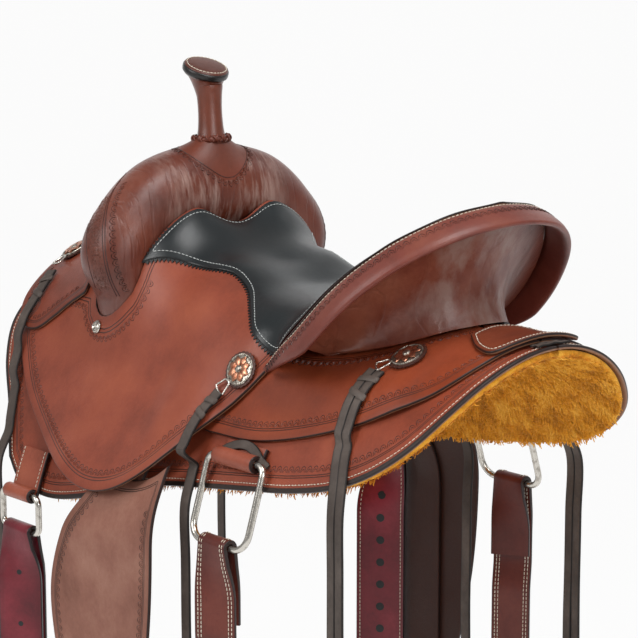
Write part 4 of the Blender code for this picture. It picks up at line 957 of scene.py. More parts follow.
def strap(path: np.ndarray, across: np.ndarray, width: float | np.ndarray, thick: float,
          round_off: float = 0.0010, cells: int = 6) -> tuple[Solid, Callable[[float, int], Row]]:
    """Flat strap with rounded edges, and a way to set rows along its faces.

    Args:
        path: places of its middle line.
        across: its width direction, one or one for each place.
        width: its width, one or one for each place.
        thick: its thickness.
        round_off: radius of its edges.
        cells: faces across it.

    Returns:
        The solid, and a function of (offset across, which face) that gives a Row of stitches.
    """
    path = np.asarray(path, float)
    heads = tangents_of(path)
    sides = np.broadcast_to(np.asarray(across, float), path.shape)
    sides = sides - heads * (sides * heads).sum(axis=1)[:, None]
    sides = sides / np.linalg.norm(sides, axis=1)[:, None]
    ups = np.cross(heads, sides)
    way = run_along(path)
    wide = np.broadcast_to(np.asarray(width, float), (len(path),))
    half, r = thick / 2, min(round_off, thick * 0.49)
    bends = np.radians((90, 50, 20, 0))
    arc = [(1 - math.cos(t)) * r for t in bends], [math.sin(t) * r for t in bends]
    rings, edge = [], []
    for p, s, u, w in zip(path, sides, ups, wide):
        b = w / 2
        top = [(x, half) for x in np.linspace(-b + r, b - r, cells + 1)]
        corner = [(b - a, half - r + c) for a, c in zip(arc[0][1:], arc[1][1:])]
        ring = top + corner + [(x, -z) for x, z in reversed(corner)] + [(x, -half) for x, _ in reversed(top)]
        ring += [(-x, -z) for x, z in corner] + [(-x, z) for x, z in reversed(corner)]
        rings.append([p + s * x + u * z for x, z in ring])
        edge += [(b - abs(x)) if abs(z) >= half - 1e-6 else -0.0006 for x, z in ring]

    def row(offset: float, face: int = 1, pitch: float = 0.0046, start: float = 0.0,
            end: float | None = None) -> Row:
        """Even places along one face, at an offset across it.

        Args:
            offset: distance from the strap's middle.
            face: 1 for the outer face, -1 for the inner.
            pitch: distance between places.
            start: where it begins, as a length.
            end: where it stops, as a length, or None for its end.

        Returns:
            The places, with their directions.
        """
        last = way[-1] if end is None else end
        at = np.arange(start + pitch / 2, last, pitch)
        take = lambda values: np.stack([np.interp(at, way, values[:, k]) for k in range(3)], axis=1)
        spots = take(path + sides * offset + ups * half * face)
        return Row(spots, take(ups) * face, take(heads) * face)

    return rings_to_solid(rings, edge=np.array(edge), way=np.repeat(way, len(rings[0]))), row


def wire(path: np.ndarray, radius: float | np.ndarray, out: Sequence[float], sides: int = 16,
         closed: bool = True) -> Solid:
    """Round wire along a flat path.

    Args:
        path: places of its middle line.
        radius: its radius, one or one for each place.
        out: direction that is never along the path.
        sides: faces round it.
        closed: whether it runs back to its start.

    Returns:
        The solid.
    """
    path = np.asarray(path, float)
    heads = tangents_of(path, closed)
    size = np.broadcast_to(np.asarray(radius, float), (len(path),))
    turns = np.linspace(0, 2 * math.pi, sides, endpoint=False)
    first = np.cross(heads, np.asarray(out, float))
    first = first / np.linalg.norm(first, axis=1)[:, None]
    second = np.cross(heads, first)
    rings = [p + s * (np.cos(turns)[:, None] * a + np.sin(turns)[:, None] * b)
             for p, s, a, b in zip(path, size, first, second)]
    return rings_to_solid(rings, closed=closed)


def turned(profile: Sequence[tuple[float, float]], centre: Sequence[float], axis: Sequence[float],
           sides: int = 48) -> Solid:
    """Turned solid of (radius, height) places about an axis.

    Args:
        profile: (radius, height) places.
        centre: its centre.
        axis: the axis it goes round.
        sides: how many facets go round.

    Returns:
        The closed solid.
    """
    axis = np.asarray(axis, float) / np.linalg.norm(axis)
    first = np.cross(axis, [1.0, 0.0, 0.0] if abs(axis[0]) < 0.8 else [0.0, 1.0, 0.0])
    first = first / np.linalg.norm(first)
    second = np.cross(axis, first)
    turns = np.linspace(0, 2 * math.pi, sides, endpoint=False)
    ring = np.cos(turns)[:, None] * first + np.sin(turns)[:, None] * second
    return rings_to_solid([np.asarray(centre) + axis * h + ring * max(r, 1e-5) for r, h in profile])


# ---------------------------------------------------------------- finishes

def colour(code: str) -> tuple[float, float, float, float]:
    """Linear colour of an sRGB hex value such as #7a3c26.

    Args:
        code: the hex value.

    Returns:
        Red, green, blue and alpha.
    """
    parts = [int(code[i:i + 2], 16) / 255 for i in (1, 3, 5)]
    linear = [c / 12.92 if c <= 0.04045 else ((c + 0.055) / 1.055) ** 2.4 for c in parts]
    return (*linear, 1.0)


def node(tree: bpy.types.NodeTree, kind: str, links: dict | None = None, values: dict | None = None,
         **settings: object) -> bpy.types.Node:
    """Adds a node with its settings and links.

    Args:
        tree: the tree it goes in.
        kind: Blender's name of the node's type.
        links: input name or number to the output socket that feeds it.
        values: input name or number to a fixed value.
        **settings: the node's own properties.

    Returns:
        The node.
    """
    made = tree.nodes.new(kind)
    for key, value in settings.items():
        setattr(made, key, value)
    for key, value in (values or {}).items():
        made.inputs[key].default_value = value
    for key, socket in (links or {}).items():
        tree.links.new(socket, made.inputs[key])
    return made


class Finish:
    """A procedural material, which its subclasses lay out."""

    name: str

    def material(self) -> bpy.types.Material:
        """The finish as a Blender material, made once.

        Returns:
            The material.
        """
        found = bpy.data.materials.get(self.name)
        if found is not None:
            return found
        made = bpy.data.materials.new(self.name)
        made.use_nodes = True
        tree = made.node_tree
        shader = tree.nodes["Principled BSDF"]
        self.lay_out(tree, shader)
        return made

    def lay_out(self, tree: bpy.types.NodeTree, shader: bpy.types.Node) -> None:
        """Builds the finish's nodes in front of the shader."""
        raise NotImplementedError

    @staticmethod
    def ramp(tree: bpy.types.NodeTree, fac: bpy.types.NodeSocket,
             stops: Sequence[tuple[float, str]]) -> bpy.types.NodeSocket:
        """Colour of a value between stops of (place, hex).

        Args:
            tree: the material's node tree.
            fac: the socket that drives it.
            stops: (place, hex) pairs.

        Returns:
            The colour's socket.
        """
        made = node(tree, "ShaderNodeValToRGB", {0: fac})
        band = made.color_ramp
        while len(band.elements) < len(stops):
            band.elements.new(0.5)
        for element, (at, code) in zip(band.elements, stops):
            element.position = at
            element.color = colour(code)
        return made.outputs[0]

    @staticmethod
    def join(tree: bpy.types.NodeTree, shader: bpy.types.Node, links: dict, values: dict) -> None:
        """Links sockets to the shader's inputs and sets its plain values.

        Args:
            tree: the material's node tree.
            shader: the node that takes the result.
            links: sockets by the shader's input.
            values: plain values by the shader's input.
        """
        for key, socket in links.items():
            tree.links.new(socket, shader.inputs[key])
        for key, value in values.items():
            shader.inputs[key].default_value = value

    @staticmethod
    def pulse(tree: bpy.types.NodeTree, value: bpy.types.NodeSocket, at: float,
              width: float) -> bpy.types.NodeSocket:
        """1 where the value is at a place, running out to 0 at half a width on both sides.

        Args:
            tree: the material's node tree.
            value: the socket to read.
            at: the middle of the pulse.
            width: its width.

        Returns:
            The socket of the pulse.
        """
        off = node(tree, "ShaderNodeMath", {0: value}, {1: at}, operation="SUBTRACT").outputs[0]
        off = node(tree, "ShaderNodeMath", {0: off}, operation="ABSOLUTE").outputs[0]
        made = node(tree, "ShaderNodeMapRange", {0: off}, {1: width / 2, 2: width * 0.12, 3: 0.0, 4: 1.0},
                    interpolation_type="SMOOTHSTEP")
        return made.outputs[0]

    @staticmethod
    def mix(tree: bpy.types.NodeTree, fac: bpy.types.NodeSocket, a: object, b: object,
            blend: str = "MIX") -> bpy.types.NodeSocket:
        """Mixes two colours, each a socket or a hex value.

        Args:
            tree: the material's node tree.
            fac: the socket that drives it.
            a: the first colour.
            b: the second colour.
            blend: how they mix.

        Returns:
            The mixed colour's socket.
        """
        made = node(tree, "ShaderNodeMix", {"Factor": fac}, data_type="RGBA", blend_type=blend)
        for socket, value in ((made.inputs[6], a), (made.inputs[7], b)):
            if isinstance(value, str):
                socket.default_value = colour(value)
            else:
                tree.links.new(value, socket)
        return made.outputs[2]


@dataclass(frozen=True)
class Leather(Finish):
    """Vegetable-tanned cowhide, dyed, tooled and waxed; the grain side up unless it is rough."""

    name: str
    dark: str = "#5e2d1e"
    base: str = "#7d402c"
    light: str = "#8f5039"
    edge: str = "#241512"
    lines: tuple[float, ...] = ()
    line_width: float = 0.0015
    binding: float = 0.0
    binding_code: str = "#2a1f1b"
    fade: float = 0.010
    rough: float = 0.46
    coat: float = 0.10
    grain: float = 0.00035
    creases: float = 0.0
    crease_size: tuple[float, float, float] = (1.0, 1.0, 1.0)
    bloom: str = ""
    edged: bool = True
    flesh: str = "#8a6248"

    def lay_out(self, tree: bpy.types.NodeTree, shader: bpy.types.Node) -> None:
        """Blotched dye, fine grain, pressed border lines and burnished edges.

        Args:
            tree: the material's node tree.
            shader: the node that takes the result.
        """
        where = node(tree, "ShaderNodeTexCoord").outputs["Object"]
        # the dye takes unevenly over 60 to 100 mm, and finer over a few millimetres
        cloud = node(tree, "ShaderNodeTexNoise", {"Vector": where},
                     {"Scale": DYE_SCALE, "Detail": 4.0, "Roughness": 0.55})
        fine = node(tree, "ShaderNodeTexNoise", {"Vector": where},
                    {"Scale": GRAIN_SCALE, "Detail": 5.0, "Roughness": 0.6})
        both = node(tree, "ShaderNodeMath", {0: fine.outputs[0], 2: cloud.outputs[0]}, {1: 0.22},
                    operation="MULTIPLY_ADD").outputs[0]
        tint = self.ramp(tree, both, ((0.34, self.dark), (0.60, self.base), (0.84, self.light)))
        # grain pits of about a millimetre and hair pores under them
        pits = node(tree, "ShaderNodeTexVoronoi", {"Vector": where}, {"Scale": PIT_SCALE},
                    feature="DISTANCE_TO_EDGE")
        height = node(tree, "ShaderNodeMath", {0: pits.outputs[0], 2: fine.outputs[0]}, {1: 0.9},
                      operation="MULTIPLY_ADD").outputs[0]
        if self.creases:
            sized = node(tree, "ShaderNodeMapping", {"Vector": where}, {"Scale": self.crease_size})
            folds = node(tree, "ShaderNodeTexNoise", {"Vector": sized.outputs[0]},
                         {"Scale": 60.0, "Detail": 2.0, "Roughness": 0.5, "Distortion": 0.3})
            thin = self.pulse(tree, folds.outputs[0], 0.5, 0.10)
            # The crease lines are also darkened a little: painted shade in the creases.
            tint = self.mix(tree, node(tree, "ShaderNodeMath", {0: thin}, {1: 0.10},
                                       operation="MULTIPLY").outputs[0],
                            tint, self.dark)
            if self.bloom:
                # painted sheen, with some wax bloom: pale streaks across the creases, strongest near the middle
                # line, stand for the lamps' sheen on the stretched grain
                streak = node(tree, "ShaderNodeTexNoise", {"Vector": sized.outputs[0]},
                              {"Scale": STREAK_SCALE, "Detail": 5.0, "Roughness": 0.65})
                patch = node(tree, "ShaderNodeTexNoise", {"Vector": where},
                             {"Scale": SHEEN_BLOOM_SCALE, "Detail": 1.0})
                sheen_streaks = node(tree, "ShaderNodeMath", {0: streak.outputs[0], 1: patch.outputs[0]},
                           operation="MULTIPLY")
                share = node(tree, "ShaderNodeMapRange", {0: sheen_streaks.outputs[0]},
                             {1: 0.20, 2: 0.36, 3: 0.0, 4: 0.95})
                # the painted sheen fades out away from the middle line
                aside = node(tree, "ShaderNodeSeparateXYZ", {0: where}).outputs[0]
                off = node(tree, "ShaderNodeMath", {0: aside}, operation="ABSOLUTE")
                middle = node(tree, "ShaderNodeMapRange", {0: off.outputs[0]},
                              {1: SHEEN_MIDDLE_HALF, 2: SHEEN_MIDDLE_END, 3: 1.0, 4: 0.06})
                shown = node(tree, "ShaderNodeMath", {0: share.outputs[0], 1: middle.outputs[0]},
                             operation="MULTIPLY")
                tint = self.mix(tree, shown.outputs[0], tint, self.bloom)
            height = node(tree, "ShaderNodeMath", {0: thin, 2: height}, {1: -self.creases},
                          operation="MULTIPLY_ADD").outputs[0]
        if self.edged:
            rim = node(tree, "ShaderNodeAttribute", attribute_name="edge",
                       attribute_type="GEOMETRY").outputs["Fac"]
            for at in self.lines:
                groove = self.pulse(tree, rim, at, self.line_width)
                tint = self.mix(tree, node(tree, "ShaderNodeMath", {0: groove}, {1: 0.88},
                                           operation="MULTIPLY").outputs[0], tint, self.edge)
                height = node(tree, "ShaderNodeMath", {0: groove, 2: height}, {1: -3.0},
                              operation="MULTIPLY_ADD").outputs[0]
            # a worn, darker margin, then the black burnished cut
            worn = node(tree, "ShaderNodeMapRange", {0: rim}, {1: 0.0, 2: self.fade, 3: 0.45, 4: 0.0})
            tint = self.mix(tree, worn.outputs[0], tint, self.dark)
            if self.binding:
                bound = node(tree, "ShaderNodeMapRange", {0: rim}, {1: self.binding + 0.0003, 2: self.binding,
                                                                  3: 0.0, 4: 1.0})
                tint = self.mix(tree, bound.outputs[0], tint, self.binding_code)
                seam = self.pulse(tree, rim, self.binding + 0.0002, 0.0012)
                height = node(tree, "ShaderNodeMath", {0: seam, 2: height}, {1: -4.0},
                              operation="MULTIPLY_ADD").outputs[0]
            black = node(tree, "ShaderNodeMapRange", {0: rim}, {1: 0.0011, 2: 0.0004, 3: 0.0, 4: 1.0})
            tint = self.mix(tree, black.outputs[0], tint, self.edge)
            under = node(tree, "ShaderNodeMapRange", {0: rim}, {1: -0.012, 2: -0.016, 3: 0.0, 4: 1.0})
            tint = self.mix(tree, under.outputs[0], tint, self.flesh)
        bump = node(tree, "ShaderNodeBump", {"Height": height}, {"Strength": 0.55, "Distance": self.grain})
        gloss = node(tree, "ShaderNodeMapRange", {0: both},
                     {1: 0.4, 2: 0.8, 3: self.rough + 0.07, 4: self.rough - 0.06})
        self.join(tree, shader,
                  {"Base Color": tint, "Roughness": gloss.outputs[0], "Normal": bump.outputs[0]},
                  {"IOR": 1.42, "Coat Weight": self.coat, "Coat Roughness": 0.34})


@dataclass(frozen=True)
class Metal(Finish):
    """Cast or drawn metal, polished, with tarnish in its hollows."""

    name: str
    base: str = "#c9c4bb"
    tarnish: str = "#6d655a"
    share: float = 0.45
    rough: float = 0.24
    scale: float = 140.0

    def lay_out(self, tree: bpy.types.NodeTree, shader: bpy.types.Node) -> None:
        """Bright metal clouded by a thin tarnish, with fine polishing scratches.

        Args:
            tree: the material's node tree.
            shader: the node that takes the result.
        """
        where = node(tree, "ShaderNodeTexCoord").outputs["Object"]
        cloud = node(tree, "ShaderNodeTexNoise", {"Vector": where},
                     {"Scale": self.scale, "Detail": 5.0, "Roughness": 0.65})
        tint = self.ramp(tree, cloud.outputs[0],
                         ((self.share - 0.08, self.tarnish), (self.share + 0.14, self.base)))
        worn = node(tree, "ShaderNodeMapRange", {0: cloud.outputs[0]}, {1: 0.3, 2: 0.7, 3: self.rough + 0.16,
                                                                       4: self.rough - 0.04})
        scratch = node(tree, "ShaderNodeTexNoise", {"Vector": where}, {"Scale": 900.0, "Detail": 2.0})
        bump = node(tree, "ShaderNodeBump", {"Height": scratch.outputs[0]},
                    {"Strength": 0.25, "Distance": 0.00006})
        shader.inputs["Metallic"].default_value = 1.0
        self.join(tree, shader,
                  {"Base Color": tint, "Roughness": worn.outputs[0], "Normal": bump.outputs[0]}, {})


@dataclass(frozen=True)
class Wool(Finish):
    """Dyed sheepskin, brushed: bright tips over deeper ochre roots."""

    name: str
    root: str = "#b87410"
    base: str = "#e39a22"
    tip: str = "#fbc14a"

    def lay_out(self, tree: bpy.types.NodeTree, shader: bpy.types.Node) -> None:
        """Clumps of 15 to 25 mm with finer locks, soft and sheened.

        Args:
            tree: the material's node tree.
            shader: the node that takes the result.
        """
        where = node(tree, "ShaderNodeTexCoord").outputs["Object"]
        clump = node(tree, "ShaderNodeTexNoise", {"Vector": where},
                     {"Scale": 42.0, "Detail": 6.0, "Roughness": 0.62, "Distortion": 0.4})
        lock = node(tree, "ShaderNodeTexNoise", {"Vector": where}, {"Scale": 520.0, "Detail": 3.0})
        both = node(tree, "ShaderNodeMath", {0: lock.outputs[0], 2: clump.outputs[0]}, {1: 0.35},
                    operation="MULTIPLY_ADD").outputs[0]
        tint = self.ramp(tree, both, ((0.50, self.root), (0.67, self.base), (0.88, self.tip)))
        bump = node(tree, "ShaderNodeBump", {"Height": both}, {"Strength": 0.7, "Distance": 0.0015})
        self.join(tree, shader, {"Base Color": tint, "Normal": bump.outputs[0]},
                  {"Roughness": 0.95, "Sheen Weight": 0.35, "Sheen Roughness": 0.5,
                   "Sheen Tint": colour("#ffd98a")})


@dataclass(frozen=True)
class Thread(Finish):
    """Waxed linen thread, twisted from three plies of about half a millimetre."""

    name: str
    base: str = "#e6dccb"
    shade: str = "#a89a86"

    def lay_out(self, tree: bpy.types.NodeTree, shader: bpy.types.Node) -> None:
        """Plies drawn as soft bands, with a little wax dirt.

        Args:
            tree: the material's node tree.
            shader: the node that takes the result.
        """
        where = node(tree, "ShaderNodeTexCoord").outputs["Object"]
        ply = node(tree, "ShaderNodeTexNoise", {"Vector": where}, {"Scale": 1300.0, "Detail": 2.0})
        tint = self.ramp(tree, ply.outputs[0], ((0.38, self.shade), (0.55, self.base)))
        bump = node(tree, "ShaderNodeBump", {"Height": ply.outputs[0]}, {"Strength": 0.5, "Distance": 0.0002})
        self.join(tree, shader, {"Base Color": tint, "Normal": bump.outputs[0]}, {"Roughness": 0.72})


@dataclass(frozen=True)
class Wood(Finish):
    """Planed hardwood, oiled, with growth rings about 3 mm apart."""

    name: str
    dark: str = "#7d5430"
    light: str = "#b98a57"

    def lay_out(self, tree: bpy.types.NodeTree, shader: bpy.types.Node) -> None:
        """Rings along the length, broken up by fine pores.

        Args:
            tree: the material's node tree.
            shader: the node that takes the result.
        """
        where = node(tree, "ShaderNodeTexCoord").outputs["Object"]
        sized = node(tree, "ShaderNodeMapping", {"Vector": where}, {"Scale": (1.0, 0.12, 1.0)})
        rings = node(tree, "ShaderNodeTexWave", {"Vector": sized.outputs[0]},
                     {"Scale": 52.0, "Distortion": 3.5, "Detail": 3.0, "Detail Scale": 1.6})
        tint = self.ramp(tree, rings.outputs[0], ((0.2, self.dark), (0.8, self.light)))
        bump = node(tree, "ShaderNodeBump", {"Height": rings.outputs[0]},
                    {"Strength": 0.3, "Distance": 0.0002})
        self.join(tree, shader, {"Base Color": tint, "Normal": bump.outputs[0]}, {"Roughness": 0.55})


# Chestnut skirting leather, waxed: warm, with blackened edges and two pressed border lines
SEAT_HIDE = Leather("chestnut_skirting_leather_seat", dark="#6f301f", base="#8b412c", light="#994d34",
                    lines=(0.0105, 0.0135), rough=0.43)
JOCKEY_HIDE = Leather("chestnut_skirting_leather_jockey", dark="#6c2d16", base="#893b20", light="#984729",
                      lines=(0.0105, 0.0128), rough=0.44)
SKIRT_HIDE = Leather("chestnut_skirting_leather_skirt", dark="#702f1b", base="#8c3f28", light="#9c4d33",
                     lines=(0.0150, 0.0172), binding=0.0046, rough=0.46)
# The same leather drawn over the tree while wet: darker and creased
# The pale grey-brown streak colour is painted sheen on the swell's rear face, with some wax bloom.
SWELL_HIDE = Leather("wet_moulded_leather_swell", dark="#461f14", base="#612c1e", light="#753c2b",
                     rough=0.38, creases=1.5, crease_size=(1.0, 0.35, 0.16), bloom="#b3958a",
                     edged=False, coat=0.20)
NECK_HIDE = Leather("wet_moulded_leather_neck", dark="#512616", base="#6a3220", light="#7a3f2e",
                    rough=0.30, edged=False, coat=0.50)
ROLL_HIDE = Leather("wet_moulded_leather_roll", dark="#5b291e", base="#72362b", light="#814738",
                    rough=0.40, edged=False, coat=0.14)
# The grey-brown streak colour is painted sheen on the cantle's back, with some wax bloom.
CANTLE_HIDE = Leather("wet_moulded_leather_cantle", dark="#4f1d10", base="#6e3322", light="#864c38",
                      rough=0.38, creases=1.6, crease_size=(0.45, 0.45, 0.20), bloom="#8a6a60",
                      edged=False, coat=0.26)
# The dark brown of the flesh side is painted shade for the far fender's back, which lies in shadow.
FENDER_HIDE = Leather("oiled_harness_leather_fender", dark="#724738", base="#8e5d4d", light="#a27361",
                      lines=(0.0085, 0.0105), rough=0.60, coat=0.03, grain=0.0006,
                      flesh="#3b1f16")
STRAP_HIDE = Leather("harness_leather_billet", dark="#471a13", base="#5a241c", light="#6b3126", rough=0.40)
LOOP_HIDE = Leather("chestnut_skirting_leather_loop", dark="#743421", base="#934a35",
                    light="#a55a42", rough=0.42)
# Smooth black bridle leather of the seat's insert
BLACK_HIDE = Leather("black_bridle_leather", dark="#121618", base="#191e20", light="#22282a", edge="#0b0c0d",
                     rough=0.34, coat=0.28, grain=0.00018, flesh="#3a3634")
# Burgundy latigo, soft and greasy
WINE_HIDE = Leather("burgundy_latigo_leather", dark="#4c1018", base="#6e1a26", light="#8a2c38",
                    edge="#1a0a0c",
                    rough=0.36, coat=0.22, flesh="#3f171b")
# Brown-black latigo of the thongs and laces, matt, worn paler on top
THONG_HIDE = Leather("brown_latigo_thong", dark="#372d28", base="#4c423c", light="#665b54", edge="#1c1613",
                     rough=0.58, coat=0.04, fade=0.003, flesh="#43352c")
STAMP_HIDE = Leather("burnished_stamping", dark="#27100a", base="#381810", light="#4c231a", rough=0.38,
                     edged=False, coat=0.2)
# Black leather of the pinked teeth; the same dark finish in the straps' punched holes is painted shade.
PINKING_AND_HOLE_SHADE_HIDE = Leather("black_pinked_leather", dark="#131415", base="#1c1e1f", light="#25282a", rough=0.45,
                     edged=False)
ROSETTE_HIDE = Leather("dark_rosette_leather", dark="#2c1712", base="#43231a", light="#563126", rough=0.45,
                       edged=False)
NICKEL = Metal("polished_nickel_steel", base="#d6d1c8", tarnish="#8d857a", share=0.34, rough=0.20)
SILVER = Metal("antique_silver_plate", base="#c4bdb1", tarnish="#4b4038", share=0.43, rough=0.34, scale=330.0)
COPPER = Metal("brushed_copper_plate", base="#d69a7c", tarnish="#8a4f38", share=0.44, rough=0.30, scale=260.0)
STEEL = Metal("blued_steel", base="#8c8a86", tarnish="#4a4846", share=0.5, rough=0.38)
FLEECE = Wool("golden_sheepskin")
LINEN = Thread("cream_linen_thread")
GREY_THREAD = Thread("grey_linen_thread", base="#c9ccca", shade="#858a88")
MAPLE = Wood("oiled_hardwood")


# ---------------------------------------------------------------- pieces and repeats

BODY = "saddle"


def dress(obj: bpy.types.Object, finish: Finish, body: str = BODY,
          replaces: Sequence[str] = ()) -> bpy.types.Object:
    """Gives a piece its material and body, and reports it.

    Args:
        obj: the piece.
        finish: its finish.
        body: the CAD body that it rides on.
        replaces: CAD nodes that it stands for.

    Returns:
        The piece.
    """
    if not obj.data.materials:
        obj.data.materials.append(finish.material())
    if obj.name not in bpy.context.scene.collection.objects:
        shown(obj)
    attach(obj, body)
    if replaces:
        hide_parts(*replaces)
    LOG.info("%s: %d faces on %s", obj.name, len(obj.data.polygons), body)
    return obj


def piece(name: str, solid: Solid, finish: Finish, body: str = BODY, replaces: Sequence[str] = (),
          sharp: float = 45.0) -> bpy.types.Object:
    """A named, dressed object of a solid."""
    return dress(bpy.data.objects.new(name, solid.mesh(name, sharp)), finish, body, replaces)


class Repeater:
    """Lays a small template along rows of places with one Geometry Nodes tree."""

    def __init__(self) -> None:
        """Builds the tree, with named inputs for its sizes."""
        tree = bpy.data.node_groups.new("laid_in_rows", "GeometryNodeTree")
        face = tree.interface
        face.new_socket("Geometry", in_out="INPUT", socket_type="NodeSocketGeometry")
        face.new_socket("Template", in_out="INPUT", socket_type="NodeSocketObject")
        face.new_socket("Finish", in_out="INPUT", socket_type="NodeSocketMaterial")
        face.new_socket("Size", in_out="INPUT", socket_type="NodeSocketFloat")
        face.new_socket("Spread", in_out="INPUT", socket_type="NodeSocketFloat")
        face.new_socket("Sway", in_out="INPUT", socket_type="NodeSocketFloat")
        face.new_socket("Geometry", in_out="OUTPUT", socket_type="NodeSocketGeometry")
        start = node(tree, "NodeGroupInput").outputs
        out = node(tree, "GeometryNodeInputNamedAttribute", None, {"Name": "out"}, data_type="FLOAT_VECTOR")
        head = node(tree, "GeometryNodeInputNamedAttribute", None, {"Name": "head"}, data_type="FLOAT_VECTOR")
        stand = node(tree, "FunctionNodeAlignRotationToVector", {"Vector": out.outputs[0]}, axis="Z")
        face_on = node(tree, "FunctionNodeAlignRotationToVector",
                       {"Rotation": stand.outputs[0], "Vector": head.outputs[0]}, axis="X", pivot_axis="Z")
        sway = node(tree, "ShaderNodeMath", {0: start["Sway"]}, {1: -1.0}, operation="MULTIPLY")
        lean = node(tree, "FunctionNodeRandomValue", None, {"Seed": 11}, data_type="FLOAT")
        for link, socket in zip((sway.outputs[0], start["Sway"]), (lean.inputs[2], lean.inputs[3])):
            tree.links.new(link, socket)
        turn = node(tree, "ShaderNodeCombineXYZ", {2: lean.outputs[1]})
        spun = node(tree, "FunctionNodeRotateRotation",
                    {0: face_on.outputs[0], 1: node(tree, "FunctionNodeEulerToRotation",
                                                    {0: turn.outputs[0]}).outputs[0]}, rotation_space="LOCAL")
        least = node(tree, "ShaderNodeMath", {0: start["Size"], 1: start["Spread"]}, operation="SUBTRACT")
        most = node(tree, "ShaderNodeMath", {0: start["Size"], 1: start["Spread"]}, operation="ADD")
        size = node(tree, "FunctionNodeRandomValue", None, {"Seed": 5}, data_type="FLOAT")
        tree.links.new(least.outputs[0], size.inputs[2])
        tree.links.new(most.outputs[0], size.inputs[3])
        shape = node(tree, "GeometryNodeObjectInfo", {"Object": start["Template"]},
                     transform_space="ORIGINAL")
        laid = node(tree, "GeometryNodeInstanceOnPoints",
                    {"Points": start["Geometry"], "Instance": shape.outputs["Geometry"],
                     "Rotation": spun.outputs[0], "Scale": size.outputs[1]})
        real = node(tree, "GeometryNodeRealizeInstances", {0: laid.outputs[0]})
        done = node(tree, "GeometryNodeSetMaterial",
                    {"Geometry": real.outputs[0], "Material": start["Finish"]})
        node(tree, "NodeGroupOutput", {0: done.outputs[0]})
        self.tree = tree

    def lay(self, name: str, row: Row, template: Solid, finish: Finish, body: str = BODY,
            size: float = 1.0, spread: float = 0.0, sway: float = 0.0,
            replaces: Sequence[str] = ()) -> bpy.types.Object:
        """Lays a template at every place of a row.

        Args:
            name: the piece's name.
            row: the places.
            template: the shape, with X ahead, Y to the left and Z off the surface.
            finish: its finish.
            body: the CAD body that it rides on.
            size: scale of the template.
            spread: most that the scale differs at random.
            sway: most that it is turned at random, in radians.
            replaces: CAD nodes that it stands for.

        Returns:
            The piece.
        """
        seed = bpy.data.meshes.new(name + "_places")
        seed.from_pydata(row.at.tolist(), [], [])
        for key, values in (("out", row.out), ("head", row.head)):
            layer = seed.attributes.new(key, "FLOAT_VECTOR", "POINT")
            layer.data.foreach_set("vector", np.asarray(values, np.float32).ravel())
        holder = bpy.data.objects.new(name + "_places", seed)
        shape = bpy.data.objects.new(name + "_template", template.mesh(name + "_template"))
        for obj in (holder, shape):
            shown(obj)
        use = holder.modifiers.new("rows", "NODES")
        use.node_group = self.tree
        ids = {i.name: i.identifier for i in self.tree.interface.items_tree if i.in_out == "INPUT"}
        for key, value in (("Template", shape), ("Finish", finish.material()), ("Size", size),
                           ("Spread", spread), ("Sway", sway)):
            use[ids[key]] = value
        bpy.context.view_layer.update()
        graph = bpy.context.evaluated_depsgraph_get()
        mesh = bpy.data.meshes.new_from_object(holder.evaluated_get(graph), depsgraph=graph)
        mesh.name = name
        for obj in (holder, shape):
            bpy.data.objects.remove(obj)
        for key in [a.name for a in mesh.attributes if a.name in ("out", "head")]:
            mesh.attributes.remove(mesh.attributes[key])
        return dress(bpy.data.objects.new(name, mesh), finish, body, replaces)


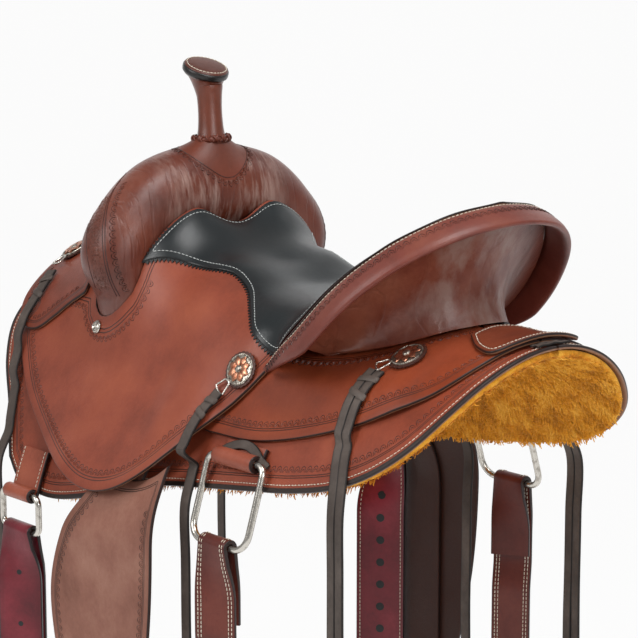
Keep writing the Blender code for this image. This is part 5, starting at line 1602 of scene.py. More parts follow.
class Templates:
    """Small shapes that are laid in rows."""

    @staticmethod
    def stitch(length: float = 0.0034, thick: float = 0.0010) -> Solid:
        """One stitch of waxed thread: a low bow whose ends dive into the leather.

        Args:
            length: its length.
            thick: its thickness.

        Returns:
            The template.
        """
        rings = []
        for t in np.linspace(-1, 1, 6):
            size = thick / 2 * (0.55 + 0.45 * math.sqrt(max(0.0, 1 - t * t)))
            turns = np.linspace(0, 2 * math.pi, 5, endpoint=False)
            rise = 0.00032 * (1 - t * t)
            rings.append(np.stack([np.full(5, t * length / 2), np.cos(turns) * size,
                                   rise + np.sin(turns) * size], 1))
        return rings_to_solid(rings)

    @staticmethod
    def fan(width: float = 0.0076, tall: float = 0.0064, rise: float = 0.00042) -> Solid:
        """A scallop stamp: an arch over a smaller arch and a seed, pressed dark; Y is its crown.

        Args:
            width: its width.
            tall: its height.
            rise: how far it stands up.

        Returns:
            The template.
        """
        parts = []
        for outer, inner, drop, count in ((1.0, 0.74, 0.0, 9), (0.52, 0.26, 0.0, 6)):
            turns = np.linspace(math.radians(-12), math.radians(192), count + 1)
            rings = []
            for t in turns:
                slim = 0.55 + 0.45 * math.sin(max(0.0, min(math.pi, t)))
                inside_ = outer - (outer - inner) * slim
                cos, sin = math.cos(t), math.sin(t)
                spots = [(outer * cos * width / 2, outer * sin * tall - drop, -rise),
                         ((outer + inside_) / 2 * cos * width / 2, (outer + inside_) / 2 * sin * tall, rise),
                         (inside_ * cos * width / 2, inside_ * sin * tall, -rise)]
                rings.append(np.array(spots) - [0, tall / 2, 0])
            parts.append(rings_to_solid(rings))
        return reduce(Solid.joined, parts)

    @staticmethod
    def tooth(width: float = 0.0052, tall: float = 0.0046, thick: float = 0.0012) -> Solid:
        """A pinked tooth pointing to the right (-Y).

        Args:
            width: its width.
            tall: its height.
            thick: its thickness.

        Returns:
            The template.
        """
        flat = np.array([(-width / 2, 0.001), (width / 2, 0.001), (width * 0.42, -tall * 0.25),
                         (width * 0.05, -tall), (-width * 0.42, -tall * 0.25)])
        low = np.column_stack([flat, np.full(5, -0.0008)])
        high = np.column_stack([flat * 0.94, np.full(5, thick)])
        return rings_to_solid([low, high])

    @staticmethod
    def bead(length: float = 0.0034, wide: float = 0.0017) -> Solid:
        """One slanting bead of a roped rim.

        Args:
            length: its length.
            wide: its breadth.

        Returns:
            The template.
        """
        turns = np.linspace(0, 2 * math.pi, 6, endpoint=False)
        rings = [np.stack([np.full(6, t * length / 2), np.cos(turns) * wide / 2 * s + 0.0006 * t,
                           np.sin(turns) * wide / 2 * s],
                           axis=1) for t, s in ((-1, 0.35), (-0.5, 0.9), (0.5, 0.9), (1, 0.35))]
        return rings_to_solid(rings)

    @staticmethod
    def knot(length: float = 0.0092, tall: float = 0.0100, thick: float = 0.0030) -> Solid:
        """A knot of round lace: one slanting turn over another.

        Args:
            length: its length.
            tall: its height.
            thick: its thickness.

        Returns:
            The template.
        """
        parts = []
        for slant, lift in ((1.0, 0.0), (-0.7, 0.0011)):
            rings = []
            for t in np.linspace(-1, 1, 7):
                mid = np.array([slant * t * length * 0.42, t * tall * 0.5, lift + 0.0020 * (1 - t * t)])
                size = thick / 2 * (0.62 + 0.38 * math.sqrt(max(0.0, 1 - t * t)))
                turns = np.linspace(0, 2 * math.pi, 6, endpoint=False)
                rings.append(mid + np.stack([np.cos(turns) * size * 1.25, np.zeros(6), np.sin(turns) * size],
                                            axis=1))
            parts.append(rings_to_solid(rings))
        return reduce(Solid.joined, parts)

    @staticmethod
    def lock(length: float = 0.0085, wide: float = 0.0017) -> Solid:
        """A lock of wool: a thin, curling blade that rises and lies over.

        Args:
            length: its length.
            wide: its breadth.

        Returns:
            The template.
        """
        rings = []
        for t in np.linspace(0, 1, 5):
            size = wide * (0.35 + 0.65 * math.sin(math.pi * min(1.0, t * 0.85 + 0.12)))
            mid = np.array([length * t, 0.0018 * math.sin(3.0 * t), 0.0016 * math.sin(2.6 * t) - 0.0006])
            rings.append(np.array([mid + [0, size / 2, 0], mid + [0, 0, size * 0.5], mid - [0, size / 2, 0]]))
        return rings_to_solid(rings)


# ---------------------------------------------------------------- camera, light and floor

@dataclass
class Studio:
    """Camera at the photograph's place, soft lamps, and a plain pale floor."""

    azimuth: float = 140.0
    elevation: float = 10.0
    distance: float = 2.6
    target: tuple[float, float, float] = (-0.03, 0.035, 0.005)
    lens: float = 133.05
    sensor: float = 36.0
    floor_z: float = -0.702
    frame: int = 638
    floor_glow: float = 0.93  # share of the floor's own white that the camera sees

    def directions(self) -> tuple[np.ndarray, np.ndarray, np.ndarray]:
        """The camera's back, right and up directions.

        Returns:
            Three unit vectors.
        """
        az, el = math.radians(self.azimuth), math.radians(self.elevation)
        back = np.array([math.sin(az) * math.cos(el), -math.cos(az) * math.cos(el), math.sin(el)])
        right = np.cross([0, 0, 1], back)
        right = right / np.linalg.norm(right)
        return back, right, np.cross(back, right)

    def rays(self, pixels: np.ndarray) -> tuple[np.ndarray, np.ndarray]:
        """The camera's place and the directions through pixels of the photograph.

        Args:
            pixels: (column, row) places in the photograph.

        Returns:
            The place and one unit vector for each pixel.
        """
        back, right, up = self.directions()
        scale = self.sensor / self.lens / self.frame
        u, v = (pixels[:, 0] - self.frame / 2) * scale, (self.frame / 2 - pixels[:, 1]) * scale
        ways = -back + u[:, None] * right + v[:, None] * up
        return np.array(self.target) + back * self.distance, ways / np.linalg.norm(ways, axis=1)[:, None]

    def trace(self, pixels: Sequence[Sequence[float]], surface: BVHTree, pitch: float,
              smooth: bool = True) -> Row:
        """Even places on a surface along a line of the photograph.

        Args:
            pixels: places of the line in the photograph.
            surface: what it is seen on.
            pitch: distance between the places.
            smooth: whether the line is a smooth curve.

        Returns:
            The places, headed along the line.
        """
        line = curve(pixels, 160) if smooth else respace(np.asarray(pixels, float), 1.0)
        eye, ways = self.rays(line)
        found = [surface.ray_cast(Vector(eye), Vector(way)) for way in ways]
        found = [hit for hit in found if hit[0] is not None]
        spots = np.array([tuple(hit[0]) for hit in found])
        keep = np.concatenate([[True], np.linalg.norm(np.diff(spots, axis=0), axis=1) < 0.02])
        line = respace(spots[keep], pitch)
        middle = (line[1:] + line[:-1]) / 2
        heads = line[1:] - line[:-1]
        outs = []
        for i, spot in enumerate(middle):
            near, off, _, _ = surface.find_nearest(Vector(spot))
            middle[i] = near
            outs.append(-np.array(off) if np.dot(off, eye - spot) < 0 else np.array(off))
        return Row(middle, np.array(outs), heads / np.linalg.norm(heads, axis=1)[:, None])

    def build(self) -> None:
        """Makes the camera, the lamps, the floor and the backdrop."""
        back, _, _ = self.directions()
        data = bpy.data.cameras.new("camera")
        data.lens, data.sensor_width = self.lens, self.sensor
        data.clip_start, data.clip_end = 0.05, 60.0
        camera = bpy.data.objects.new("camera", data)
        aimed(camera, Vector(self.target) + Vector(back) * self.distance, -Vector(back))
        bpy.context.scene.camera = camera
        for name, place, aim, size, power in (
                ("lamp_above", (0.3, 1.0, 2.1), (0.0, -0.1, 0.05), (1.0, 0.8), 31.0),
                ("lamp_left", (2.3, -0.5, 1.3), (0.0, 0.0, 0.0), (1.2, 1.3), 29.0),
                ("lamp_rear", (0.6, 2.6, 0.9), (0.0, 0.1, 0.0), (1.3, 1.0), 24.0),
                ("lamp_right", (-2.2, 0.6, 1.5), (0.0, 0.0, 0.05), (1.2, 1.2), 6.0)):
            light = bpy.data.lights.new(name, "AREA")
            light.shape, light.size, light.size_y, light.energy = "RECTANGLE", size[0], size[1], power
            aimed(bpy.data.objects.new(name, light), Vector(place), Vector(aim) - Vector(place))
        self.world()
        self.floor()
        scene = bpy.context.scene
        scene.view_settings.view_transform = "Standard"

    def world(self) -> None:
        """White where the camera or a transmission ray sees it, and a plain soft fill elsewhere."""
        world = bpy.data.worlds.new("studio")
        bpy.context.scene.world = world
        world.use_nodes = True
        tree = world.node_tree
        tree.nodes.clear()
        path = node(tree, "ShaderNodeLightPath").outputs
        seen = node(tree, "ShaderNodeMath", {0: path["Is Camera Ray"], 1: path["Is Transmission Ray"]},
                    operation="MAXIMUM")
        strength = node(tree, "ShaderNodeMapRange", {0: seen.outputs[0]}, {3: 0.30, 4: 1.0})
        light = node(tree, "ShaderNodeBackground", {"Strength": strength.outputs[0]},
                     {"Color": colour("#ffffff")})
        node(tree, "ShaderNodeOutputWorld", {0: light.outputs[0]})

    def floor(self) -> None:
        """A pale floor that runs up into a backdrop behind the saddle; it keeps the shadow."""
        back, _, _ = self.directions()
        flat = np.array([back[0], back[1]]) / math.hypot(back[0], back[1])
        across = np.array([-flat[1], flat[0]])
        rings = []
        for far, height in ((3.2, 0.0), (0.0, 0.0), (-2.6, 0.0), (-3.1, 0.07), (-3.5, 0.30), (-3.7, 0.8),
                            (-3.75, 3.4)):
            mid = flat * far
            rings.append(np.array([(*(mid + across * s), self.floor_z + height) for s in (-4.0, 0.0, 4.0)]))
        verts = np.vstack(rings)
        faces = [(i * 3 + j, i * 3 + j + 1, i * 3 + j + 4, i * 3 + j + 3) for i in range(6) for j in range(2)]
        mesh = bpy.data.meshes.new("floor")
        mesh.from_pydata(verts.tolist(), [], faces)
        mesh.shade_smooth()
        mat = bpy.data.materials.new("matt_white_paint_floor")
        mat.use_nodes = True
        tree = mat.node_tree
        shader = tree.nodes["Principled BSDF"]
        shader.inputs["Base Color"].default_value = colour("#f4f3f1")
        shader.inputs["Roughness"].default_value = 0.9
        glow = node(tree, "ShaderNodeEmission", None, {"Color": colour("#ffffff"), "Strength": 1.0})
        path = node(tree, "ShaderNodeLightPath").outputs
        seen = node(tree, "ShaderNodeMath", {0: path["Is Camera Ray"], 1: path["Is Glossy Ray"]},
                    operation="MAXIMUM")
        share = node(tree, "ShaderNodeMath", {0: seen.outputs[0]}, {1: self.floor_glow}, operation="MULTIPLY")
        mixed = node(tree, "ShaderNodeMixShader",
                     {0: share.outputs[0], 1: shader.outputs[0], 2: glow.outputs[0]})
        tree.links.new(mixed.outputs[0], tree.nodes["Material Output"].inputs[0])
        mesh.materials.append(mat)
        obj = shown(bpy.data.objects.new("floor", mesh))


STUDIO = Studio()


# ---------------------------------------------------------------- skirts and fleece

@dataclass
class Skirts:
    """The two skirts, their woolskins, border stitching, tooling and the lace between them."""

    stitch_in: float = 0.0075
    fans_in: float = 0.0245
    wool_tries: int = 26000
    wool_seed: int = 7
    fringe_pitch: float = 0.0011
    fringe_in: float = 0.0058
    lock_size: float = 0.85

    def hide(self) -> Hide:
        """The left skirt."""
        return Hide(OUTLINES.skirt(), lambda y, v: np.full(np.shape(y), LAYERS.skirt_low),
                    lambda y, v: np.full(np.shape(y), LAYERS.skirt_top), pitch=0.0060, rounding=0.0014)

    def build(self, rows: Repeater) -> None:
        """Makes both sides.

        Args:
            rows: lays the small repeats.
        """
        hide = self.hide()
        solid = hide.solid()
        border = lambda p: p[:, 1] > 0.012
        stitches = Row.of(hide.row(self.stitch_in, border))
        fans = Row.of(hide.row(self.fans_in, lambda p: (p[:, 1] > 0.03) & (p[:, 0] > -0.31), pitch=0.0088))
        for side in Side:
            piece("skirt_leather_" + side.word, solid.on(side), SKIRT_HIDE,
                  replaces=["skirt_" + side.word])
            rows.lay("skirt_stitches_" + side.word, stitches.on(side).raised(0.0001),
                     Templates.stitch(), LINEN)
            rows.lay("skirt_stamping_" + side.word, fans.on(side), Templates.fan(), STAMP_HIDE)
            self.fleece(side, rows)
        self.lace()

    def fleece(self, side: Side, rows: Repeater) -> None:
        """A woolskin: a lumpy pad under thousands of locks that lie over one another.

        Args:
            side: the side to make.
            rows: lays the small repeats.
        """
        outline_in = inset(OUTLINES.skirt(), 0.0030)
        outline_in[:, 1] = np.maximum(outline_in[:, 1], 0.0015)
        lump = lambda y, v: 0.0009 * np.sin(61 * y + 3 * np.sin(43 * v)) * np.cos(77 * v + 2 * np.sin(35 * y))
        hide = Hide(outline_in, lambda y, v: 0.0012 + lump(y, v),
                    lambda y, v: np.full(np.shape(y), LAYERS.fleece), pitch=0.0075, rounding=0.0025)
        pad = piece("woolskin_" + side.word, hide.solid().on(side), FLEECE,
                    replaces=["fleece_" + side.word])
        rng = np.random.default_rng(self.wool_seed)
        low, high = outline_in.min(axis=0), outline_in.max(axis=0)
        spots = rng.uniform(low, high, (self.wool_tries, 2))
        spots = spots[inside(outline_in, spots)]
        far = gap_to(outline_in, spots)[0]
        spots = spots[far > 0.001]
        height = 0.0008 + lump(spots[:, 0], spots[:, 1])
        at = BACK.point(spots[:, 0], spots[:, 1], height)
        out = -BACK.normal(spots[:, 1])
        lie = np.stack([0.5 + 0.9 * np.sin(19 * spots[:, 1] + 5 * spots[:, 0]),
                        1.0 + 0.6 * np.sin(23 * spots[:, 0])], axis=1) + rng.normal(0, 0.35, (len(spots), 2))
        ahead = BACK.point(spots[:, 0] + 0.001 * lie[:, 0], spots[:, 1] + 0.001 * lie[:, 1], height) - at
        locks = Row(at, out, ahead / np.linalg.norm(ahead, axis=1)[:, None])
        rim = hide.row(0.0004, lambda p: p[:, 1] > 0.006, pitch=self.fringe_pitch)
        edge = Row.of(rim)
        outward = np.cross(edge.head, edge.out)
        down = -edge.out
        lean = outward * 0.32 + down * 0.80 + rng.normal(0, 0.12, edge.at.shape)
        lean = lean / np.linalg.norm(lean, axis=1)[:, None]
        start = edge.at + down * rng.uniform(0.002, 0.0065, (len(edge.at), 1)) - outward * self.fringe_in
        fringe = Row(start, down, lean)
        flip = np.array([side.value, 1.0, 1.0])
        both = Row.of([locks, fringe])
        wool = Row(both.at * flip, both.out * flip, both.head * flip)
        tufts = rows.lay("wool_locks_" + side.word, wool, Templates.lock(), FLEECE,
                         size=self.lock_size, spread=0.22, sway=0.45)

    @staticmethod
    def lace() -> None:
        """The dark thong that ties the skirts together behind the back plate."""
        low = LAYERS.skirt_top + GAP
        for number, (y, reach) in enumerate(((0.4166, 0.020), (0.4228, 0.019))):
            v = np.linspace(-reach, reach, 40)
            lift = low + 0.0013 + 0.0004 * np.sin(v * 400 + number * 2)
            path = BACK.point(np.full(40, y), v, lift)
            solid, _ = strap(path, (0, 1, 0), 0.0058, 0.0022, 0.0007)
            piece(f"skirt_lace_turn_{number + 1}", solid, THONG_HIDE,
                  replaces=["skirt_lace"] if number == 0 else ())


# ---------------------------------------------------------------- jockeys and back plate

@dataclass
class Jockeys:
    """Rear and front jockeys and the back plate."""

    front_fans_in: float = 0.0125
    plate_seam_in: float = 0.0042
    plate_gap: float = 1.6 * GAP
    fans_in: float = 0.0180

    def rear(self) -> Hide:
        """The left rear jockey."""
        return Hide(OUTLINES.rear_jockey(), LAYERS.jockey_low, LAYERS.jockey_top, rounding=0.0012)

    def front(self) -> Hide:
        """The left front jockey.

        Returns:
            The hide.
        """
        slot = np.array([(-0.3040, 0.1200), (-0.2800, 0.1262), (-0.2795, 0.1282), (-0.3040, 0.1225)])
        return Hide(OUTLINES.front(), lambda y, v: front_jockey_top(y, v) - LAYERS.jockey, front_jockey_top,
                    pitch=0.0040, rounding=0.0012, holes=[respace(slot, 0.0008, closed=True)])

    def plate(self) -> Hide:
        """The small leather plate behind the cantle.

        Returns:
            The hide.
        """
        loop = outline([(0.345, 0.030), (0.372, 0.046), (0.400, 0.052), (0.410, 0.030), (0.412, 0.0),
                        (0.410, -0.030), (0.400, -0.052), (0.372, -0.046), (0.345, -0.030)],
                       [(0.345, -0.030), (0.341, 0.0), (0.345, 0.030)], spacing=0.002)
        return Hide(loop, lambda y, v: LAYERS.jockey_top(y, v) + self.plate_gap,
                    lambda y, v: LAYERS.jockey_top(y, v) + self.plate_gap + LAYERS.plate, pitch=0.004,
                    rounding=0.0011)

    def build(self, rows: Repeater) -> None:
        """Makes both sides and the plate.

        Args:
            rows: lays the small repeats.
        """
        rear, front, plate = self.rear(), self.front(), self.plate()
        rear_solid, front_solid = rear.solid(), front.solid()
        rear_fans = Row.of(rear.row(self.fans_in, lambda p: (p[:, 1] > 0.012), pitch=0.0088))
        front_fans = Row.of(front.row(self.front_fans_in, lambda p: (p[:, 0] < -0.21), pitch=0.0080))
        for side in Side:
            piece("rear_jockey_leather_" + side.word, rear_solid.on(side), JOCKEY_HIDE,
                  replaces=["rear_jockey_" + side.word])
            rows.lay("rear_jockey_stamping_" + side.word, rear_fans.on(side), Templates.fan(), STAMP_HIDE)
            piece("front_jockey_leather_" + side.word, front_solid.on(side), FRONT_HIDE,
                  replaces=["front_jockey_" + side.word])
            rows.lay("front_jockey_stamping_" + side.word, front_fans.on(side),
                     Templates.fan(0.0062, 0.0050), STAMP_HIDE)
        piece("back_plate_leather", plate.solid(), PLATE_HIDE, replaces=["back_plate"])
        seam = Row.of(plate.row(self.plate_seam_in)).raised(0.0001)
        rows.lay("back_plate_stitches", seam, Templates.stitch(), LINEN)


FRONT_HIDE = Leather("chestnut_skirting_leather_front_jockey", dark="#5d2a1a", base="#783522",
                     light="#88422c",
                     lines=(0.0060, 0.0078), rough=0.45)
PLATE_HIDE = Leather("chestnut_skirting_leather_plate", dark="#5a2616", base="#71311b",
                     light="#823e25", rough=0.46)


# ---------------------------------------------------------------- the swell, its horn and its bindings

@dataclass
class Swell:
    """The leather-covered fork, the horn on it, and its tooled bands."""

    yoke_foot: float = 0.0185
    yoke_reach: float = 0.0400
    yoke_stamps: float = 0.0078
    collar_up: float = 0.0085
    collar_radius: float = 0.0185
    knot_radius: float = 0.0196
    y: float = -0.129
    half_depth: float = 0.046
    crown_z: float = 0.137
    crown_half: float = 0.051
    shoulder: tuple[float, float] = (0.097, 0.107)
    widest: tuple[float, float] = (0.1215, 0.076)
    tip: tuple[float, float] = (0.113, 0.022)
    side_half: float = 0.042
    squareness: float = 2.15
    foot: float = 0.026
    horn_y: float = -0.116
    horn_height: float = 0.078
    horn_sweep: float = 0.0070
    cap_radius: float = 0.0265
    flare_foot: float = 0.0134
    collar_knots: int = 15
    cap_stitches: int = 34
    cap_thick: float = 0.0125
    cap_tilt: float = math.radians(21)
    cap_forward: float = 0.0115

    def sections(self, grow: float, count: int, sides: int, reach: float) -> np.ndarray:
        """Sections of the arch from its left foot to its right one.

        Args:
            grow: how far outside the leather.
            count: spans along the arch.
            sides: places round a section.
            reach: extra length at the feet.

        Returns:
            Places, by section and then round it.
        """
        left = [self.tip, self.widest, self.shoulder, (0.052, self.crown_z - 0.007), (0.0, self.crown_z)]
        line = curve(left + [(-x, z) for x, z in reversed(left[:-1])], count)
        side = np.abs(line[:, 0]) / self.widest[0]
        half = self.crown_half + (self.side_half - self.crown_half) * step_up(side, 0.5, 1.0)
        way = run_along(line)
        half = half * (0.62 + 0.38 * step_up(np.minimum(way, way[-1] - way), 0.0, 0.055))
        heads = tangents_of(line)
        steps = max(1, round(reach / 0.004))
        first = [line[0] - heads[0] * reach * (steps - i) / steps for i in range(steps)]
        last = [line[-1] + heads[-1] * reach * (i + 1) / steps for i in range(steps)]
        line = np.vstack([first, line, last])
        heads = np.vstack([[heads[0]] * steps, heads, [heads[-1]] * steps])
        half = np.concatenate([[half[0]] * steps, half, [half[-1]] * steps])
        turns = 2 * math.pi * (np.arange(sides) + 0.5) / sides
        power = 2.0 / self.squareness
        cos = np.sign(np.cos(turns)) * np.abs(np.cos(turns)) ** power
        sin = np.sign(np.sin(turns)) * np.abs(np.sin(turns)) ** power
        rings = []
        for place, head, size in zip(line, heads, half):
            depth = self.half_depth * (1.0 - 0.10 * abs(place[0]) / self.widest[0]) + grow
            off = sin * (size + grow)
            rings.append(np.stack([place[0] - head[1] * off, self.y + cos * depth, place[1] + head[0] * off],
                                  axis=1))
        return np.array(rings)

    def notch(self) -> np.ndarray:
        """Outline of the opening that the seat's flap leaves round the left side of the swell.

        Returns:
            Its (y, v) places.
        """
        solid = rings_to_solid(list(self.sections(2 * GAP, 60, 40, self.foot + 0.004)))
        if solid.volume() < 0:
            solid = Solid(solid.verts, [tuple(reversed(f)) for f in solid.faces])
        tree = solid.tree()
        middle = np.array([self.y, 0.085])
        loop = []
        for turn in np.linspace(0, 2 * math.pi, 120, endpoint=False):
            way = np.array([math.cos(turn), math.sin(turn)])
            reach = np.arange(0.002, 0.110, 0.0010)
            spots = middle + reach[:, None] * way
            world = BACK.point(spots[:, 0], spots[:, 1], DRAPE.top(spots[:, 0], spots[:, 1]))
            best = reach[0]
            for r, spot in zip(reach, world):
                near, off, _, _ = tree.find_nearest(Vector(spot))
                if (Vector(spot) - near).dot(off) > 0:
                    break
                best = r
            loop.append(middle + way * best)
        return np.array(loop)

    def horn_frame(self) -> tuple[np.ndarray, np.ndarray, float, float]:
        """The horn's root, its direction, and how high along it the neck starts and how long it is.

        Returns:
            Root, direction, height of the neck's start and its length.
        """
        low = np.array([0.0, self.horn_y, self.crown_z + self.crown_half - LAYERS.cover - 0.030])
        root = np.array([0.0, self.horn_y, self.crown_z + self.crown_half])
        axis = root + np.array([0.0, -self.horn_sweep, self.horn_height]) - low
        unit = axis / np.linalg.norm(axis)
        return low, unit, float(np.dot(root - low, unit)) + GAP, self.horn_height - 0.012

    def build(self, rows: Repeater) -> None:
        """Makes the cover, the bands, the collar, the neck and the cap.

        Args:
            rows: lays the small repeats.
        """
        rings = self.sections(0.0, 130, 72, self.foot)
        flat = rings.reshape(-1, 3)
        feet = np.flatnonzero(flat[:, 2] < 0.050)
        for i in feet:
            y, v, h = BACK.shell((abs(flat[i, 0]), flat[i, 1], flat[i, 2]))
            floor = float(LAYERS.bar(y, v)) + GAP
            if h < floor:
                place = BACK.point(y, v, floor)
                flat[i] = (math.copysign(place[0], flat[i, 0]), place[1], place[2])
        solid = rings_to_solid(list(flat.reshape(rings.shape)))
        surface = solid.tree()
        piece("swell_leather", solid, SWELL_HIDE, replaces=["swell_cover"])
        self.bands(surface, rows)
        self.yoke(surface, rows)
        self.horn(rows)

    def bands(self, surface: BVHTree, rows: Repeater) -> None:
        """Pressed lines and stamping down both ends of the swell.

        Args:
            surface: the surface to lie on.
            rows: lays the small repeats.
        """
        inner = [(127, 172), (116, 186), (108, 205), (105.5, 222), (105, 242), (107, 262),
                 (112, 281), (120, 297)]
        second = [(121, 180), (112, 192), (106, 207), (102.8, 225), (102.5, 242), (104.5, 262),
                  (109.5, 281), (117, 297)]
        outer = [(88.5, 222), (86.5, 238), (87, 254), (90, 270), (95.5, 288)]
        stamps = [(124, 183), (117, 196), (112.5, 212), (111.5, 228), (112, 244), (114, 260),
                  (119, 278), (126, 292)]
        for number, pixels in enumerate((inner, second, outer)):
            row = STUDIO.trace(pixels, surface, 0.0020)
            for side in Side:
                line = row.on(side)
                groove = wire(line.at - line.out * 0.00010, 0.00062, (0.3, 1.0, 0.2), sides=6, closed=False)
                piece(f"swell_line_{number + 1}_{side.word}", groove, STAMP_HIDE)
        fans = STUDIO.trace(stamps, surface, 0.0082)
        fans = Row(fans.at, fans.out, -fans.head)
        for side in Side:
            rows.lay("swell_stamping_" + side.word, fans.on(side),
                     Templates.fan(0.0086, 0.0066, 0.0005), STAMP_HIDE)
        self.tooling(surface, rows)

    def tooling(self, surface: BVHTree, rows: Repeater) -> None:
        """Leafy background stamps between the lines, in staggered rows.

        Args:
            surface: the surface to lie on.
            rows: lays the small repeats.
        """
        places = []
        for share in np.linspace(0.12, 0.88, 4):
            inner = curve([(110, 196), (101, 225), (100.5, 245), (104, 268), (111, 290)], 40)
            outer = curve([(101, 196), (88.5, 225), (88.5, 245), (91.5, 268), (98, 290)], 40)
            line = inner + (outer - inner) * share
            row = STUDIO.trace(line.tolist(), surface, 0.0052)
            places.append(row)
        stamps = Row.of(places)
        for side in Side:
            rows.lay("swell_background_" + side.word, stamps.on(side), Templates.fan(0.0048, 0.0042, 0.00026),
                     BAND_STAMP, sway=1.2, size=0.95, spread=0.15)

    def yoke(self, surface: BVHTree, rows: Repeater) -> None:
        """The leather yoke that rises from the swell to the collar round the horn.

        Args:
            surface: the surface to lie on.
            rows: lays the small repeats.
        """
        low, unit, base, _ = self.horn_frame()
        foot = low + unit * (base - 0.002)
        count, steps = 96, 18
        turns = np.linspace(0, 2 * math.pi, count, endpoint=False)
        grid = []
        for k in range(steps + 1):
            share = k / steps
            ring = []
            for turn in turns:
                reach = self.yoke_reach + 0.0040 * math.cos(2 * turn) + 0.004 * max(0.0, math.sin(turn))
                radius = self.yoke_foot + (reach - self.yoke_foot) * share
                spot = np.array([foot[0] + math.cos(turn) * radius,
                                 foot[1] + math.sin(turn) * radius * 0.86, 0.30])
                hit, _, _, _ = surface.ray_cast(Vector(spot), Vector((0, 0, -1)))
                height = hit.z if hit is not None else ring[-1][2]
                rise = max(0.0, foot[2] + 0.0085 - height)
                top = height + 0.0012 * (1 - share ** 6) + rise * (1 - share) ** 2.2
                ring.append((spot[0], spot[1], top))
            grid.append(np.array(ring))
        lower = [g - [0, 0, 0.0016] for g in reversed(grid)]
        solid = rings_to_solid(grid + lower, closed=True)
        piece("horn_yoke", solid, YOKE_HIDE)
        ring = self.ring_on(grid, 0.93)
        groove = wire(respace(ring + [0, 0, 0.0001], 0.002, closed=True), 0.00055, (0, 0, 1), sides=6)
        piece("horn_yoke_line", groove, STAMP_HIDE)
        border = respace(self.ring_on(grid, 1.0), self.yoke_stamps, closed=True)
        centre = border.mean(axis=0)
        rows_at, outs, heads = [], [], []
        for a, b in zip(border, np.roll(border, -1, axis=0)):
            mid = (a + b) / 2
            away = (mid - centre) * [1, 1, 0]
            mid = mid + away / np.linalg.norm(away) * 0.0036
            near, off, _, _ = surface.find_nearest(Vector(mid))
            off = np.array(off) if off.z > 0 else -np.array(off)
            head = b - a
            if np.dot(np.cross(off, head), away) < 0:
                head = -head
            rows_at.append(tuple(near))
            outs.append(off)
            heads.append(head / np.linalg.norm(head))
        fans = Row(np.array(rows_at), np.array(outs), np.array(heads))
        rows.lay("horn_yoke_stamping", fans, Templates.fan(0.0070, 0.0066, 0.0004), STAMP_HIDE)
        self.collar(foot, unit, rows)

    @staticmethod
    def ring_on(grid: Sequence[np.ndarray], share: float) -> np.ndarray:
        """The ring of a grid of rings at a share of the way through it.

        Args:
            grid: rings, one after another.
            share: share of the way, from 0 to 1.

        Returns:
            The ring's places.
        """
        at = share * (len(grid) - 1)
        low = min(int(at), len(grid) - 2)
        return grid[low] + (grid[low + 1] - grid[low]) * (at - low)

    def collar(self, foot: np.ndarray, unit: np.ndarray, rows: Repeater) -> None:
        """A ring of knotted lace round the horn's foot.

        Args:
            foot: the horn's foot.
            unit: the horn's direction.
            rows: lays the small repeats.
        """
        centre = foot + unit * self.collar_up
        away, around = circle(unit, self.collar_knots)
        rows.lay("horn_collar_knots", Row(centre + away * self.knot_radius, away, around), Templates.knot(),
                 COLLAR_HIDE, size=0.86, spread=0.06, sway=0.12)
        ring = [centre + self.tilt(a, unit, self.collar_radius) for a in away]
        piece("horn_collar_core", wire(np.array(ring), 0.0034, unit, sides=10), COLLAR_HIDE)

    @staticmethod
    def tilt(away: np.ndarray, unit: np.ndarray, radius: float) -> np.ndarray:
        """Offset of a ring's place from its centre."""
        return away * radius - unit * 0.0008

    def horn(self, rows: Repeater) -> None:
        """The wrapped neck and the tilted cap with its sewn binding.

        Args:
            rows: lays the small repeats.
        """
        low, unit, base, length = self.horn_frame()
        neck = [(0.0180, 0.000), (0.0172, 0.004), (0.0158, 0.010), (0.0145, 0.018), (0.0138, 0.028),
                (0.0136, 0.036), (0.0138, 0.046), (0.0145, 0.056), (0.0155, 0.064), (0.0155, length)]
        smooth = curve(neck, 46)
        solid = turned([(0.0088, 0.0)] + [tuple(p) for p in smooth] + [(0.0088, length)],
                       low + unit * base, unit, 56)
        piece("horn_neck_leather", solid, NECK_HIDE, replaces=["horn_neck_cover"])
        axis = np.array([0.0, math.sin(self.cap_tilt), math.cos(self.cap_tilt)])
        ahead = np.array([0.0, -math.cos(self.cap_tilt), math.sin(self.cap_tilt)])
        top = low + unit * (base + length)
        lean = math.atan2(unit[1], unit[2])
        rise = 0.0155 * math.sin(self.cap_tilt - lean) + 0.0003
        centre = top + axis * rise + ahead * self.cap_forward
        r, t = self.cap_radius, self.cap_thick
        lower = [(r * 0.55, 0.0002), (r * 0.80, 0.0), (r * 0.90, 0.0012), (r * 0.94, 0.0026)]
        band = [(r * 0.93, 0.0024), (r * 0.985, 0.0036), (r, 0.0056), (r, 0.0080), (r * 0.992, 0.0096),
                (r * 0.965, 0.0106), (r * 0.93, 0.0108)]
        crown = [(r * 0.95, 0.0096), (r * 0.952, 0.0112), (r * 0.93, t - 0.0004), (r * 0.86, t + 0.0003),
                 (r * 0.55, t + 0.0011), (r * 0.25, t + 0.0013), (0.0, t + 0.0014)]
        piece("horn_cap_base",
              turned([(0.0, 0.0006)] + lower + [(r * 0.90, 0.0098), (0.0, 0.0098)], centre, axis, 64),
              NECK_HIDE, replaces=["horn_cap"])
        piece("horn_cap_binding", turned(band, centre, axis, 64), CAP_EDGE)
        piece("horn_cap_leather", turned([(r * 0.90, 0.0090)] + crown, centre, axis, 64), CAP_HIDE)
        self.flare(top, unit, centre, axis)
        away, around = circle(axis, self.cap_stitches)
        spots = centre + axis * (t + 0.0002) + away * r * 0.855
        row = Row(spots, np.repeat(axis[None], len(away), axis=0), around)
